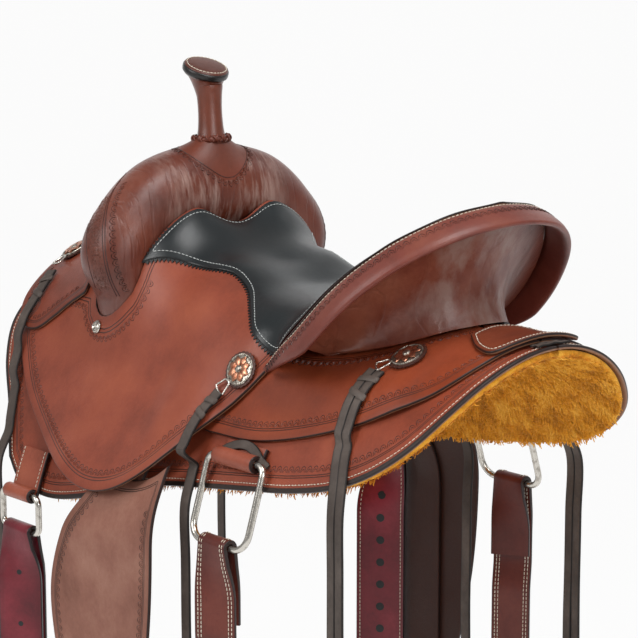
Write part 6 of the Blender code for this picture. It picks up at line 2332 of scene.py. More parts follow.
        rows.lay("horn_cap_stitches", row, Templates.stitch(0.0036, 0.0011), LINEN)

    def flare(self, top: np.ndarray, unit: np.ndarray, centre: np.ndarray, axis: np.ndarray) -> None:
        """The leather that spreads from the neck's end to the cap's underside.

        Args:
            top: the neck's end.
            unit: the horn's direction.
            centre: the cap's centre.
            axis: the cap's axis.
        """
        rings = []
        for share in np.linspace(0, 1, 14):
            soft = float(step_up(share, 0.0, 1.0))
            way = unit + (axis - unit) * soft
            away, _ = circle(way / np.linalg.norm(way), 56)
            low, high = top - unit * 0.018, centre + axis * 0.0030
            spot = low + (high - low) * share
            radius = self.flare_foot + (self.cap_radius * 0.90 - self.flare_foot) * share ** 2.0
            rings.append(spot + radius * away)
        piece("horn_cap_underside", rings_to_solid(rings), NECK_HIDE)


CAP_EDGE = Leather("black_burnished_edge", dark="#100e0d", base="#1a1716", light="#262220", rough=0.30,
                   edged=False, coat=0.35)
CAP_HIDE = Leather("waxed_leather_horn_cap", dark="#421f16", base="#592d21", light="#6c3b2a", rough=0.40,
                   edged=False, coat=0.22)
YOKE_HIDE = Leather("wet_moulded_leather_yoke", dark="#512214", base="#693120", light="#7b3c2c", rough=0.42,
                    edged=False)
COLLAR_HIDE = Leather("braided_lace_leather", dark="#441c10", base="#6b2f1e", light="#8b412e", rough=0.42,
                      edged=False)
BAND_STAMP = Leather("antiqued_background_stamping", dark="#3e241c", base="#573428",
                     light="#6d4637", rough=0.5,
                     edged=False)
SWELL = Swell()


# ---------------------------------------------------------------- seat, insert, roll and cantle

@dataclass
class Seat:
    """The seat's leather with its flaps, the smooth black insert, and the fans pressed along them."""

    fans_in: float = 0.0195

    def leather(self) -> Hide:
        """The seat and both flaps, cut out round the swell.

        Returns:
            The hide.
        """
        notch = SWELL.notch()
        return Hide(OUTLINES.seat(), lambda y, v: DRAPE.top(y, v) - LAYERS.seat, DRAPE.top, pitch=0.0045,
                    rounding=0.0012, holes=[notch, notch[::-1] * [1, -1]])

    def insert(self) -> Hide:
        """The insert, softly stuffed towards its stitched border.

        Returns:
            The hide.
        """
        swell = lambda spots, far, way: (0.0010 * step_up(far, 0.004, 0.011)
                                         - 0.0006 * step_up(0.0055 - far, 0.0, 0.0025))
        return Hide(OUTLINES.inlay(), lambda y, v: DRAPE.top(y, v) + GAP,
                    lambda y, v: DRAPE.top(y, v) + GAP + LAYERS.inlay, pitch=0.0045, rounding=0.0012,
                    bulge=swell)

    def build(self, rows: Repeater) -> None:
        """Makes the seat.

        Args:
            rows: lays the small repeats.
        """
        leather, insert, inlay = self.leather(), self.insert(), OUTLINES.inlay()
        piece("seat_hide", leather.solid(), SEAT_HIDE, replaces=["seat_leather"])
        free = lambda p: ~inside(inlay, p) & (gap_to(inlay, p)[0] > 0.012) & (p[:, 0] < 0.135)
        fans = Row.of([r for r in leather.row(self.fans_in, free, pitch=0.0088) if len(r.at) > 3])
        rows.lay("seat_stamping", fans, Templates.fan(), STAMP_HIDE)
        pad = piece("seat_insert", insert.solid(), BLACK_HIDE, replaces=["seat_inlay"])
        seam = Row.of(insert.row(0.0042, lambda p: (np.abs(p[:, 1]) > 0.004) | (p[:, 0] < 0.0)))
        rows.lay("seat_insert_stitches", seam.raised(0.0001), Templates.stitch(), GREY_THREAD)
        sides = lambda p: (np.abs(p[:, 1]) > 0.050) & (p[:, 0] < 0.150)
        low = Hide(OUTLINES.inlay(), DRAPE.top, lambda y, v: DRAPE.top(y, v) + 0.0002)
        teeth = Row.of(low.row(0.0006, sides, pitch=0.0050))
        rows.lay("seat_insert_pinking", teeth, Templates.tooth(), PINKING_AND_HOLE_SHADE_HIDE)


@dataclass
class Rim:
    """The cheyenne roll along the seat's rim, and the cantle's leather back under it."""

    samples: int = 190
    sides: int = 44
    lip_round: float = 0.75  # powers of the roll's section: 1 is an ellipse, 0 a box
    face_round: float = 0.80
    lip_gap: float = 0.0022
    crease_at: float = 0.80  # shares of the roll's half width
    seam_at: float = -0.80
    stamps_at: float = -0.30
    end_in: float = 0.012
    width: float = 0.033
    thick: float = 0.0098
    base_half: float = 0.112
    base_front: float = 0.148
    base_rear: float = 0.330

    @staticmethod
    def line(count: int) -> np.ndarray:
        """Places along the seat's rim from its left corner over the crown to its right corner.

        Args:
            count: how many.

        Returns:
            The places in metres.
        """
        flat = curve([(y, v) for y, v, _ in RIM_SHELL], count // 2)
        left = BACK.point(flat[:, 0], flat[:, 1], DRAPE.top(flat[:, 0], flat[:, 1]))
        line = np.vstack([left, left[::-1][1:] * [-1, 1, 1]])
        for _ in range(count // 6):
            line[1:-1] = (line[:-2] + 2 * line[1:-1] + line[2:]) / 4
        return line

    @staticmethod
    def frame(line: np.ndarray) -> tuple[np.ndarray, np.ndarray]:
        """Directions of the roll at each place: out along the lip, and off its face.

        Args:
            line: places along it.

        Returns:
            The two sets of unit vectors.
        """
        lips = np.stack([0.35 * line[:, 0] / 0.160, np.full(len(line), 0.85), np.full(len(line), -0.42)],
                        axis=1)
        lips = lips / np.linalg.norm(lips, axis=1)[:, None]
        faces = np.cross(lips, tangents_of(line))
        faces = faces / np.linalg.norm(faces, axis=1)[:, None]
        up = faces[:, 0] * line[:, 0] * 4 + faces[:, 1] * 0.3 + faces[:, 2]
        return lips, np.where(up[:, None] < 0, -faces, faces)

    @staticmethod
    def taper(count: int) -> np.ndarray:
        """How full the roll is, by place along it."""
        at = np.linspace(0, 1, count)
        return step_up(np.minimum(at, 1 - at), 0.0, 0.14)

    def roll(self, rows: Repeater) -> None:
        """Makes the roll with its seam, its ridge and its stamping.

        Args:
            rows: lays the small repeats.
        """
        line = self.line(self.samples)
        lips, faces = self.frame(line)
        share = self.taper(len(line))
        width, thick = self.width * (0.30 + 0.70 * share), self.thick * (0.45 + 0.55 * share)
        sink = thick / 2 - 0.0020 - 0.0075 * (1.0 - share)
        centre = line + lips * (width / 2 + self.lip_gap)[:, None] - faces * sink[:, None]
        turns = 2 * math.pi * (np.arange(self.sides) + 0.5) / self.sides
        cos = np.sign(np.cos(turns)) * np.abs(np.cos(turns)) ** self.lip_round
        sin = np.sign(np.sin(turns)) * np.abs(np.sin(turns)) ** self.face_round
        rings = []
        for k in range(len(line)):
            along, off = cos * width[k] / 2, sin * thick[k] / 2
            crease = -0.0005 * np.exp(-((cos - self.crease_at) / 0.035) ** 2) * (sin > 0) * share[k]
            rings.append(centre[k] + np.outer(along, lips[k]) + np.outer(off + crease, faces[k]))
        piece("cheyenne_roll_leather", rings_to_solid(rings), ROLL_HIDE,
              replaces=["cheyenne_roll"])
        heads = tangents_of(line)

        def row(cross: float, pitch: float) -> Row:
            """Even places along the roll's face, at a share of its half width.

            Args:
                cross: the share, from -1 on the seat's side to 1 at the lip.
                pitch: distance between places.

            Returns:
                The places.
            """
            spot = centre + lips * (cross * width / 2)[:, None]
            tall = (1 - abs(cross) ** (1 / self.lip_round * 2)) ** (self.face_round / 2)
            spot = spot + faces * (thick / 2 * tall)[:, None]
            way = run_along(spot)
            at = np.arange(self.end_in, way[-1] - self.end_in, pitch)
            take = lambda v: np.stack([np.interp(at, way, v[:, i]) for i in range(3)], axis=1)
            return Row(take(spot), take(faces), take(heads))

        rows.lay("cheyenne_roll_stitches", row(self.seam_at, 0.0046).raised(0.0001), Templates.stitch(), LINEN)
        stamps = row(self.stamps_at, 0.0084)
        rows.lay("cheyenne_roll_stamping", stamps, Templates.fan(0.0078, 0.0066, 0.0005), STAMP_HIDE)

    def back(self) -> None:
        """Makes the cantle's wrinkled leather back."""
        count, steps, skip = 120, 42, 12
        line = self.line(count)
        lips, faces = self.frame(line)
        share = self.taper(count + 1)[:, None]
        top = line + lips * 0.006 - faces * (self.thick * (0.45 + 0.55 * share) + 0.0002)
        turn = np.linspace(math.pi / 2, -math.pi / 2, count + 1)
        base = []
        for a, b in zip(self.base_half * np.sin(turn),
                        self.base_front + (self.base_rear - self.base_front) * np.cos(turn)):
            y, v, _ = BACK.shell((abs(a), b, float(BACK.rise(b)) + 0.02 * (1 - abs(a) / 0.2)))
            place = BACK.point(y, v, float(LAYERS.jockey_top(y, v)) + GAP)
            base.append((math.copysign(place[0], a), place[1], place[2]))
        base = np.array(base)
        t = np.linspace(0, 1, steps + 1)[None, :, None]
        a, b = top[skip:count + 1 - skip, None], base[skip:count + 1 - skip, None]
        inward = np.stack([-a[..., 0] * 0.6, -0.4 * np.abs(a[..., 1] - 0.15), np.full(a.shape[:2], -0.03)],
                          axis=-1)
        outer = a + (b - a) * t + inward * 0.22 * np.sin(math.pi * t)
        normal = np.cross(np.gradient(outer, axis=1), np.gradient(outer, axis=0))
        normal = normal / np.linalg.norm(normal, axis=2)[..., None]
        if normal[len(outer) // 2, steps // 2, 1] < 0:
            normal = -normal
        inner = outer - normal * LAYERS.cover
        for skin in (outer, inner):
            for column in range(int(steps * 0.80), steps + 1):
                for place in skin[:, column]:
                    self.stand_clear(place, column == steps)
        # wrinkles run down and outward, deepest in the middle of the leather
        i = np.linspace(-1, 1, len(outer))[:, None]
        fall = t[..., 0]
        ripple = np.sin(26 * i + 5 * fall) * np.sin(9 * fall + 11 * i) + 0.5 * np.sin(47 * i - 8 * fall)
        outer = outer + normal * (0.00045 * ripple * np.sin(math.pi * fall))[..., None]
        rings = [np.vstack([o, n[::-1]]) for o, n in zip(outer, inner)]
        piece("cantle_back_leather", rings_to_solid(rings), CANTLE_HIDE,
              replaces=["cantle_back"])

    @staticmethod
    def stand_clear(place: np.ndarray, seated: bool) -> None:
        """Lifts a place of the cantle's back clear of the jockeys; a seated one is set on them.

        Args:
            place: the place, whose height is changed.
            seated: whether the place rests on the jockeys.
        """
        for _ in range(4):
            y, v, height = BACK.shell((abs(place[0]), place[1], place[2]))
            short = float(LAYERS.jockey_top(y, v)) + 3.6 * GAP - height
            if seated or short > 0:
                place[2] += short / math.cos(float(np.interp(v, BACK.v, BACK.lean)))


# ---------------------------------------------------------------- rigging

@dataclass
class Rigging:
    """Rings and dees on their loops, and the straps that hang on them."""

    billet_turn: float = 32.0  # degrees about the vertical, the same way on both sides
    latigo_turn: float = -38.0
    latigo_holes: tuple[float, ...] = (0.052, 0.112, 0.172, 0.232, 0.272)
    latigo_hole_radius: float = 0.0030
    off_hole_radius: float = 0.0050
    off_hole_pitch: float = 0.0275
    ring_width: float = 0.090
    ring_drop: float = 0.088
    lean: float = math.radians(17)
    ring_at: tuple[float, float] = (0.160, 0.208)
    dee_width: float = 0.072
    dee_drop: float = 0.042
    dee_at: tuple[float, float] = (-0.180, 0.312)
    wall: float = 0.0050
    thick: float = 0.0045
    billet: float = 0.044
    latigo: float = 0.050
    end_z: float = -0.505
    off_width: float = 0.058
    off_at: tuple[float, float] = (0.2020, -0.055)

    @staticmethod
    def hang(y: float, v: float, off: float) -> np.ndarray:
        """A place at a distance off the skirt."""
        return BACK.point(y, v, LAYERS.skirt_top + 1.55 * GAP + off)

    def loop(self, start: float, v: float, y: float, width: float,
             wall: float) -> tuple[Solid, Callable, np.ndarray]:
        """A strap that lies on the skirt and turns round a ring's bar, and the bar's place.

        Args:
            start: way down the mule's side where the strap begins.
            v: the bar's way down the mule's side.
            y: the bar's place along the saddle.
            width: its width.
            wall: the leather's thickness.

        Returns:
            The solid, the function that gives its rows, and the bar's middle.
        """
        bore = WIRE + 0.0006
        radius = bore + wall / 2
        bar = self.hang(y, v, wall + bore)
        lean = float(np.interp(v, BACK.v, BACK.lean))
        out = np.array([math.sin(lean), 0.0, math.cos(lean)])
        down = np.array([math.cos(lean), 0.0, -math.sin(lean)])
        path = [self.hang(y, d, wall / 2) for d in np.linspace(start, v - 0.005, 12)]
        path += [bar + radius * (-math.cos(a) * out + math.sin(a) * down)
                 for a in np.radians(np.linspace(0, 285, 42))]
        solid, row = strap(np.array(path), (0, 1, 0), width, wall, 0.0013)
        return solid, row, bar

    @staticmethod
    def ring(bar: np.ndarray, width: float, drop: float, corner: float, square: float) -> np.ndarray:
        """Middle line of a ring under its bar.

        Args:
            bar: the middle of the bar.
            width: its width.
            drop: its height below the bar.
            corner: radius of the upper corners.
            square: radius of the lower corners.

        Returns:
            The places in metres.
        """
        half, points = width / 2, []
        for y, z, start in ((half - corner, -corner, 90), (half - square, -drop + square, 0),
                            (-half + square, -drop + square, -90), (-half + corner, -corner, 180)):
            size = corner if z == -corner else square
            for a in np.radians(start - np.linspace(0, 90, 12)):
                points.append((bar[0], bar[1] + y + size * math.cos(a), bar[2] + z + size * math.sin(a)))
        return np.array(points)

    @staticmethod
    def tilt(path: np.ndarray, bar: np.ndarray, angle: float) -> np.ndarray:
        """Places turned outward about a bar that runs along Y.

        Args:
            path: places along it.
            bar: the middle of the bar.
            angle: the turn in radians.

        Returns:
            The turned places.
        """
        off = np.atleast_2d(path) - bar
        return bar + np.stack([off[:, 0] * math.cos(angle) - off[:, 2] * math.sin(angle), off[:, 1],
                               off[:, 0] * math.sin(angle) + off[:, 2] * math.cos(angle)], axis=1)

    def on_ring(self, bottom: np.ndarray, width: float, twist: float, reach: float) -> tuple[Solid, Callable]:
        """A strap folded round a ring's lowest wire: a short inner run and a long outer one.

        Args:
            bottom: the ring's lowest place.
            width: its width.
            twist: turn about the vertical, in radians.
            reach: length of the inner run.

        Returns:
            The solid and the function that gives its rows.
        """
        radius = WIRE + 0.0006 + self.thick / 2
        x, y, z = bottom
        path = [(x - radius, y, z - d, d) for d in np.linspace(reach, 0.02, 14)]
        path += [(x + radius * math.cos(a), y, z + radius * math.sin(a),
                  0.0) for a in np.radians(np.linspace(180, 0, 24))]
        path += [(x + radius, y, z - d, d) for d in np.linspace(0.02, z - self.end_z, 90)]
        flat, drop = np.array(path)[:, :3], np.array(path)[:, 3]
        turn = twist * step_up(drop, 0.0, 0.060)
        offset = (flat[:, 0] - x) * (1.0 - step_up(z - flat[:, 2], reach + 0.005, reach + 0.045))
        line = np.stack([x + offset * np.cos(turn), y - offset * np.sin(turn), flat[:, 2]], axis=1)
        sides = np.stack([np.sin(turn), np.cos(turn), np.zeros(len(turn))], axis=1)
        return strap(line, sides, width, self.thick, 0.0010)

    @staticmethod
    def seams(rows: Repeater, name: str, row: Callable, offsets: Sequence[float], side: Side,
              body: str, slot: str,
              spans: Sequence[tuple[float, float | None]] = ((0.0, None),), face: int = 1) -> None:
        """Stitches along a strap at the given distances from its middle."""
        made = Row.of([row(o, face, start=a, end=b) for o in offsets for a, b in spans])
        rows.lay(name, made.on(side).raised(0.0001), Templates.stitch(), LINEN, body)

    def build(self, rows: Repeater) -> None:
        """Makes both sides.

        Args:
            rows: lays the small repeats.
        """
        solid, _, bar = self.loop(0.190, self.ring_at[1], self.ring_at[0], self.ring_width - 0.026, self.wall)
        ring = self.tilt(self.ring(bar, self.ring_width, self.ring_drop, 0.010, 0.018), bar, self.lean)
        normal = (math.cos(self.lean), 0.0, math.sin(self.lean))
        bottom = self.tilt(bar - [0, 0, self.ring_drop], bar, self.lean)[0]
        dee_solid, dee_row, dee_bar = self.loop(0.262, self.dee_at[1], self.dee_at[0], self.dee_width - 0.022,
                                                self.wall - 0.001)
        dee = self.ring(dee_bar, self.dee_width, self.dee_drop, 0.010, 0.009)
        for side in Side:
            word = side.word
            piece("rear_rigging_loop_" + word, solid.on(side), LOOP_HIDE,
                  replaces=["rear_rigging_strap_" + word])
            piece("front_rigging_loop_" + word, dee_solid.on(side), LOOP_HIDE,
                  replaces=["front_rigging_strap_" + word])
            self.seams(rows, "front_loop_stitches_" + word, dee_row, (-0.020, 0.020), side, BODY,
                       "brown_leather", ((0.0, 0.040),), face=FRONT_FACE)
            piece("rear_rigging_ring_" + word, wire(ring, WIRE, normal).on(side), NICKEL,
                  "ring_" + word, replaces=["rear_ring_" + word])
            piece("front_rigging_dee_" + word, wire(dee, WIRE, (1, 0, 0)).on(side), NICKEL,
                  "dee_" + word, replaces=["front_dee_" + word])
            turn = math.radians(-self.billet_turn * side.value)
            billet, along = self.on_ring(bottom, self.billet, turn, 0.085)
            piece("rear_billet_strap_" + word, billet.on(side), STRAP_HIDE, "billet_" + word,
                  replaces=["rear_billet_" + word])
            edges = [s * (self.billet / 2 - inset_) for s in (-1, 1) for inset_ in (0.0038, 0.0072)]
            for face, tag in FACES:
                self.seams(rows, f"rear_billet_stitches_{tag}_{word}", along, edges, side, "billet_" + word,
                           "brown_leather", ((0.092, None),), face=face)
        self.latigo_strap(dee_bar - [0, 0, self.dee_drop])
        self.lace()
        self.off_billet(rows)

    def lace(self) -> None:
        """The dark lace that passes over each rear loop and through the skirt beside it."""
        y, v = self.ring_at
        share = np.linspace(-1, 1, 48)
        deep = v - 0.016 + 0.017 * share ** 2
        sink = (self.wall + 0.0014) * step_up(np.abs(share), 0.86, 0.98)
        height = LAYERS.skirt_top + 1.55 * GAP + self.wall + 0.0022 - sink
        path = BACK.point(y + 0.0385 * share, deep, height)
        lean = np.interp(deep, BACK.v, BACK.lean)
        down = np.stack([np.cos(lean), np.zeros(48), -np.sin(lean)], axis=1)
        solid, _ = strap(path, down, 0.0105, 0.0022, 0.0008)
        for side in Side:
            piece("rear_loop_lace_" + side.word, solid.on(side), THONG_HIDE)

    def latigo_strap(self, bottom: np.ndarray) -> None:
        """The doubled burgundy strap on the left dee, with its punched holes.

        Args:
            bottom: the ring's lowest place.
        """
        solid, row = self.on_ring(bottom, self.latigo, math.radians(self.latigo_turn), 0.240)
        piece("latigo_strap", solid, WINE_HIDE, "dee_left", replaces=["latigo_left"])
        for number, down in enumerate(self.latigo_holes):
            spot = row(0.0, 1, pitch=0.002, start=0.255 + down, end=0.255 + down + 0.003)
            # the dark disc is painted shade in place of the punched hole
            disc = turned([(0.0, -0.0006), (0.0026, -0.0004), (self.latigo_hole_radius, 0.00012),
                           (0.0024, 0.0002), (0.0, 0.00005)],
                          spot.at[0], spot.out[0], 20)
            piece(f"latigo_hole_{number + 1}", disc, PINKING_AND_HOLE_SHADE_HIDE, "dee_left")

    def off_billet(self, rows: Repeater) -> None:
        """The wide strap sewn to the right skirt, with one line of holes.

        Args:
            rows: lays the small repeats.
        """
        x, y = self.off_at
        path, across = [], []
        for v in np.linspace(0.266, 0.296, 10):
            path.append(BACK.point(y, v, LAYERS.skirt_top + 1.5 * GAP + self.thick / 2))
            across.append((0.0, 1.0, 0.0))
        edge = path[-1]
        for z in np.linspace(edge[2] - 0.010, self.end_z, 60):
            share = float(step_up(edge[2] - z, 0.0, 0.075))
            turn = math.radians(38) * share
            path.append(np.array([edge[0] + (x - edge[0]) * share, y, z]))
            across.append((math.sin(turn), math.cos(turn), 0.0))
        solid, row = strap(np.array(path), np.array(across), self.off_width, self.thick)
        piece("off_billet_strap", solid.mirrored(), WINE_HIDE,
              replaces=["off_billet_right"])
        half = self.off_width / 2
        for face, tag in FACES:
            self.seams(rows, "off_billet_stitches_" + tag, row, (-half + 0.0045, half - 0.0045),
                       Side.RIGHT, BODY, "burgundy_leather", ((0.004, None),), face=face)
        for number, start in enumerate(np.arange(0.084, 0.330, self.off_hole_pitch)):
            for face, tag in FACES:
                spot = row(0.0, face, pitch=0.002, start=start, end=start + 0.003).mirrored()
                # the dark disc is painted shade in place of the punched hole
                disc = turned([(0.0, -0.0006), (0.0046, -0.0004), (self.off_hole_radius, 0.00012),
                               (0.0043, 0.0002), (0.0, 0.0)],
                              spot.at[0], spot.out[0], 20)
                piece(f"off_billet_hole_{number + 1}_{tag}", disc, PINKING_AND_HOLE_SHADE_HIDE)


FRONT_FACE = 1


# ---------------------------------------------------------------- fenders and stirrups

@dataclass
class Swing:
    """Fender, stirrup leather, hobble strap and stirrup of one side."""

    leather_top: float = 0.054
    tooling_in: float = 0.0150
    above_bolt: float = 0.030
    hobble_half: float = 0.040
    hobble_wall: float = 0.003
    hobble_round: float = 0.28
    stirrup_head: float = 0.016
    stirrup_round: float = 0.35
    pin_head: float = 0.0075
    y: float = -0.008
    z: float = -0.012
    leather: float = 0.056
    thick: float = 0.0042
    top: float = 0.134
    length: float = 0.400
    x: float = 0.2262
    clear: float = 0.026
    bolt: float = 0.0040
    height: float = 0.140
    width: float = 0.136
    neck: float = 0.076
    tread: float = 0.056
    wall: float = 0.012

    def __post_init__(self) -> None:
        """Works out the track of what swings."""
        self.deep = np.linspace(0.0, 0.30, 61)
        drop = -BACK.point(self.y, BACK.v, LAYERS.skirt_top)[:, 2]
        skirt = [float(BACK.point(self.y, float(np.interp(r - self.z, drop, BACK.v)),
                                  LAYERS.skirt_top)[0]) + 1.1 * GAP
                 for r in self.deep]
        blend = step_up(self.deep, 0.120, 0.214)
        self.face = np.minimum(np.array(skirt) * (1 - blend) + self.x * blend, self.x)

    def track(self, radius: np.ndarray) -> np.ndarray:
        """Distance of the inner face from the middle, by distance from the pivot."""
        return np.interp(radius, self.deep, self.face)

    def place(self, y: np.ndarray, z: np.ndarray, h: np.ndarray) -> np.ndarray:
        """World places of the swinging surface."""
        return np.stack([self.track(np.hypot(y - self.y, z - self.z)) + h, y, z], axis=-1)

    def slope(self, y: np.ndarray, z: np.ndarray) -> np.ndarray:
        """Extra thickness along X where the track slopes.

        Args:
            y: place along the saddle.
            z: height.

        Returns:
            The factor at each place.
        """
        radius = np.hypot(y - self.y, z - self.z)
        rise = (self.track(radius + 0.004) - self.track(radius - 0.004)) / 0.008
        return np.sqrt(1 + rise * rise)

    def fender(self) -> Hide:
        """The fender.

        Returns:
            The hide.
        """
        low = -self.top - self.length
        turns = np.radians((-13.0, 0.0, 13.0, 26.0, 38.0))
        arc = [(self.top * math.sin(a), -self.top * math.cos(a)) for a in turns]
        rear = [arc[-1], (0.086, -0.130), (0.086, -0.217), (0.078, -0.300), (0.055, -0.400), (0.038, -0.480),
                (0.036, low)]
        front = [(-0.036, low), (-0.040, -0.480), (-0.066, -0.400), (-0.094, -0.320), (-0.098, -0.262),
                 (-0.077, -0.202), (-0.046, -0.158), arc[0]]
        runs = [[(self.y + a, self.z + b) for a, b in run] for run in (rear, front, arc)]
        loop = outline(runs[0], [runs[0][-1], runs[1][0]], runs[1], runs[2], spacing=0.003)
        under = lambda y, z: (self.thick + 1.3 * GAP) * self.slope(y, z)
        return Hide(loop, under, lambda y, z: under(y, z) + self.thick * self.slope(y, z), self.place,
                    pitch=0.007, rounding=0.0012)

    def build(self, rows: Repeater) -> None:
        """Makes both sides.

        Args:
            rows: lays the small repeats.
        """
        fender = self.fender()
        solid = fender.solid()
        top = self.z - 0.150
        fans = Row.of(fender.row(self.tooling_in, lambda p: p[:, 1] < top, pitch=0.0088))
        bolt_z = self.z - self.top - self.length - self.clear
        end, half = bolt_z + self.above_bolt, self.leather / 2
        high = self.z - self.leather_top
        loop = outline([(self.y - half, high), (self.y - half, end)],
                       [(self.y - half, end), (self.y + half, end)],
                       [(self.y + half, end), (self.y + half, high)],
                       [(self.y + half, high), (self.y - half, high)], spacing=0.003)
        leather = Hide(loop, lambda y, z: np.zeros(np.shape(y)),
                       lambda y, z: self.thick * self.slope(y, z), self.place,
                       pitch=0.008, rounding=0.0010).solid()
        x = self.x + self.thick / 2
        radius = self.bolt + 0.0006 + self.thick / 2
        centre = x + radius
        path = [(x, self.y, end + 0.010), (x, self.y, end), (x, self.y, bolt_z + 0.010)]
        path += [(centre - radius * math.cos(a), self.y, bolt_z - radius * math.sin(a))
                 for a in np.radians(np.linspace(0, 300, 30))]
        eye, _ = strap(np.array(path), (0, 1, 0), self.leather - 0.0006, self.thick)
        hobble = self.hobble()
        stirrup, pin = self.stirrup(centre, bolt_z), self.pin(centre, bolt_z)
        for side in Side:
            word = side.word
            piece("fender_leather_" + word, solid.on(side), FENDER_HIDE, "swing_" + word,
                  replaces=["fender_" + word])
            rows.lay("fender_stamping_" + word, fans.on(side), Templates.fan(), STAMP_HIDE,
                     "swing_" + word)
            piece("stirrup_strap_" + word, leather.joined(eye).on(side), FENDER_HIDE,
                  "swing_" + word, replaces=["stirrup_leather_" + word])
            piece("hobble_band_" + word, hobble.on(side), YOKE_HIDE, "swing_" + word,
                  replaces=["hobble_strap_" + word])
            piece("stirrup_wood_" + word, stirrup.on(side), MAPLE, "stirrup_hang_" + word,
                  replaces=["stirrup_" + word])
            piece("stirrup_pin_" + word, pin.on(side), STEEL, "swing_" + word,
                  replaces=["stirrup_bolt_" + word])

    def hobble(self) -> Solid:
        """The band that holds fender and leather together above the stirrup.

        Returns:
            The closed solid.
        """
        z = self.z - self.top - self.length + self.above_bolt
        inner, outer = self.x - 0.0008, self.x + self.thick + GAP + self.thick + 0.0008
        mid_x, half_x, half_y = (inner + outer) / 2, (outer - inner) / 2, self.hobble_half
        wall = self.hobble_wall
        rings = []
        for t in np.linspace(0, 2 * math.pi, 96, endpoint=False):
            cos, sin = (math.copysign(abs(f(t)) ** self.hobble_round, f(t)) for f in (math.cos, math.sin))
            ring = []
            for grow, rise in ((0.0, -0.0118), (0.0, 0.0118), (0.0006, 0.0125), (wall - 0.0006, 0.0125),
                               (wall, 0.0118), (wall, -0.0118), (wall - 0.0006, -0.0125), (0.0006, -0.0125)):
                ring.append((mid_x + cos * (half_x + grow), self.y + sin * (half_y + grow), z + rise))
            rings.append(np.array(ring))
        return rings_to_solid(rings, closed=True)

    def stirrup(self, centre: float, bolt_z: float) -> Solid:
        """Bell stirrup: a bent wooden bow with a flat tread.

        Args:
            centre: x of its middle.
            bolt_z: height of the bolt.

        Returns:
            The closed solid.
        """
        top = bolt_z + self.stirrup_head
        bottom = top - self.height
        half, tread = self.neck / 2, self.width / 2
        side = [(half, top, 0.024), (half + 0.003, top - 0.030, 0.028), (tread - 0.010, top - 0.080, 0.036),
                (tread - 0.002, top - 0.112, 0.048),
                (tread - 0.008, bottom + self.wall / 2 + 0.002, self.tread)]
        left = curve(side, 34)
        flat = np.array([(tread * s, bottom + self.wall / 2, self.tread) for s in (0.6, 0.3, 0.0)])
        path = np.vstack([left, flat, flat[:-1][::-1] * [-1, 1, 1], left[::-1] * [-1, 1, 1]])
        heads = tangents_of(path[:, :2])
        turns = np.linspace(0, 2 * math.pi, 24, endpoint=False)
        cos = np.sign(np.cos(turns)) * np.abs(np.cos(turns)) ** self.stirrup_round
        sin = np.sign(np.sin(turns)) * np.abs(np.sin(turns)) ** self.stirrup_round
        rings = []
        for (y, z, depth), head in zip(path, heads):
            out = np.array([-head[1], head[0]]) * self.wall / 2
            rings.append(np.stack([centre + cos * depth / 2, self.y + y + out[0] * sin, z + out[1] * sin],
                                  axis=1))
        return rings_to_solid(rings)

    def pin(self, centre: float, bolt_z: float) -> Solid:
        """The stirrup's bolt.

        Args:
            centre: x of its middle.
            bolt_z: height of the bolt.

        Returns:
            The closed solid.
        """
        reach = self.neck / 2 + self.wall / 2 + 0.0040
        head = self.pin_head
        half = [(self.bolt, reach), (head, reach), (head, reach + 0.0033), (head - 0.0007, reach + 0.004),
                (0.0, reach + 0.004)]
        return turned([(r, -h) for r, h in half[::-1]] + half, (centre, self.y, bolt_z), (0, 1, 0), 32)


# ---------------------------------------------------------------- conchos and thongs

CONCHO_RADIUS = 0.0200
CONCHO_LOBES = 24
CONCHO_PETALS = 8
CONCHO_BEADS = 40
BEAD_RING = 0.0160
CLIP_WIRE = 0.0011


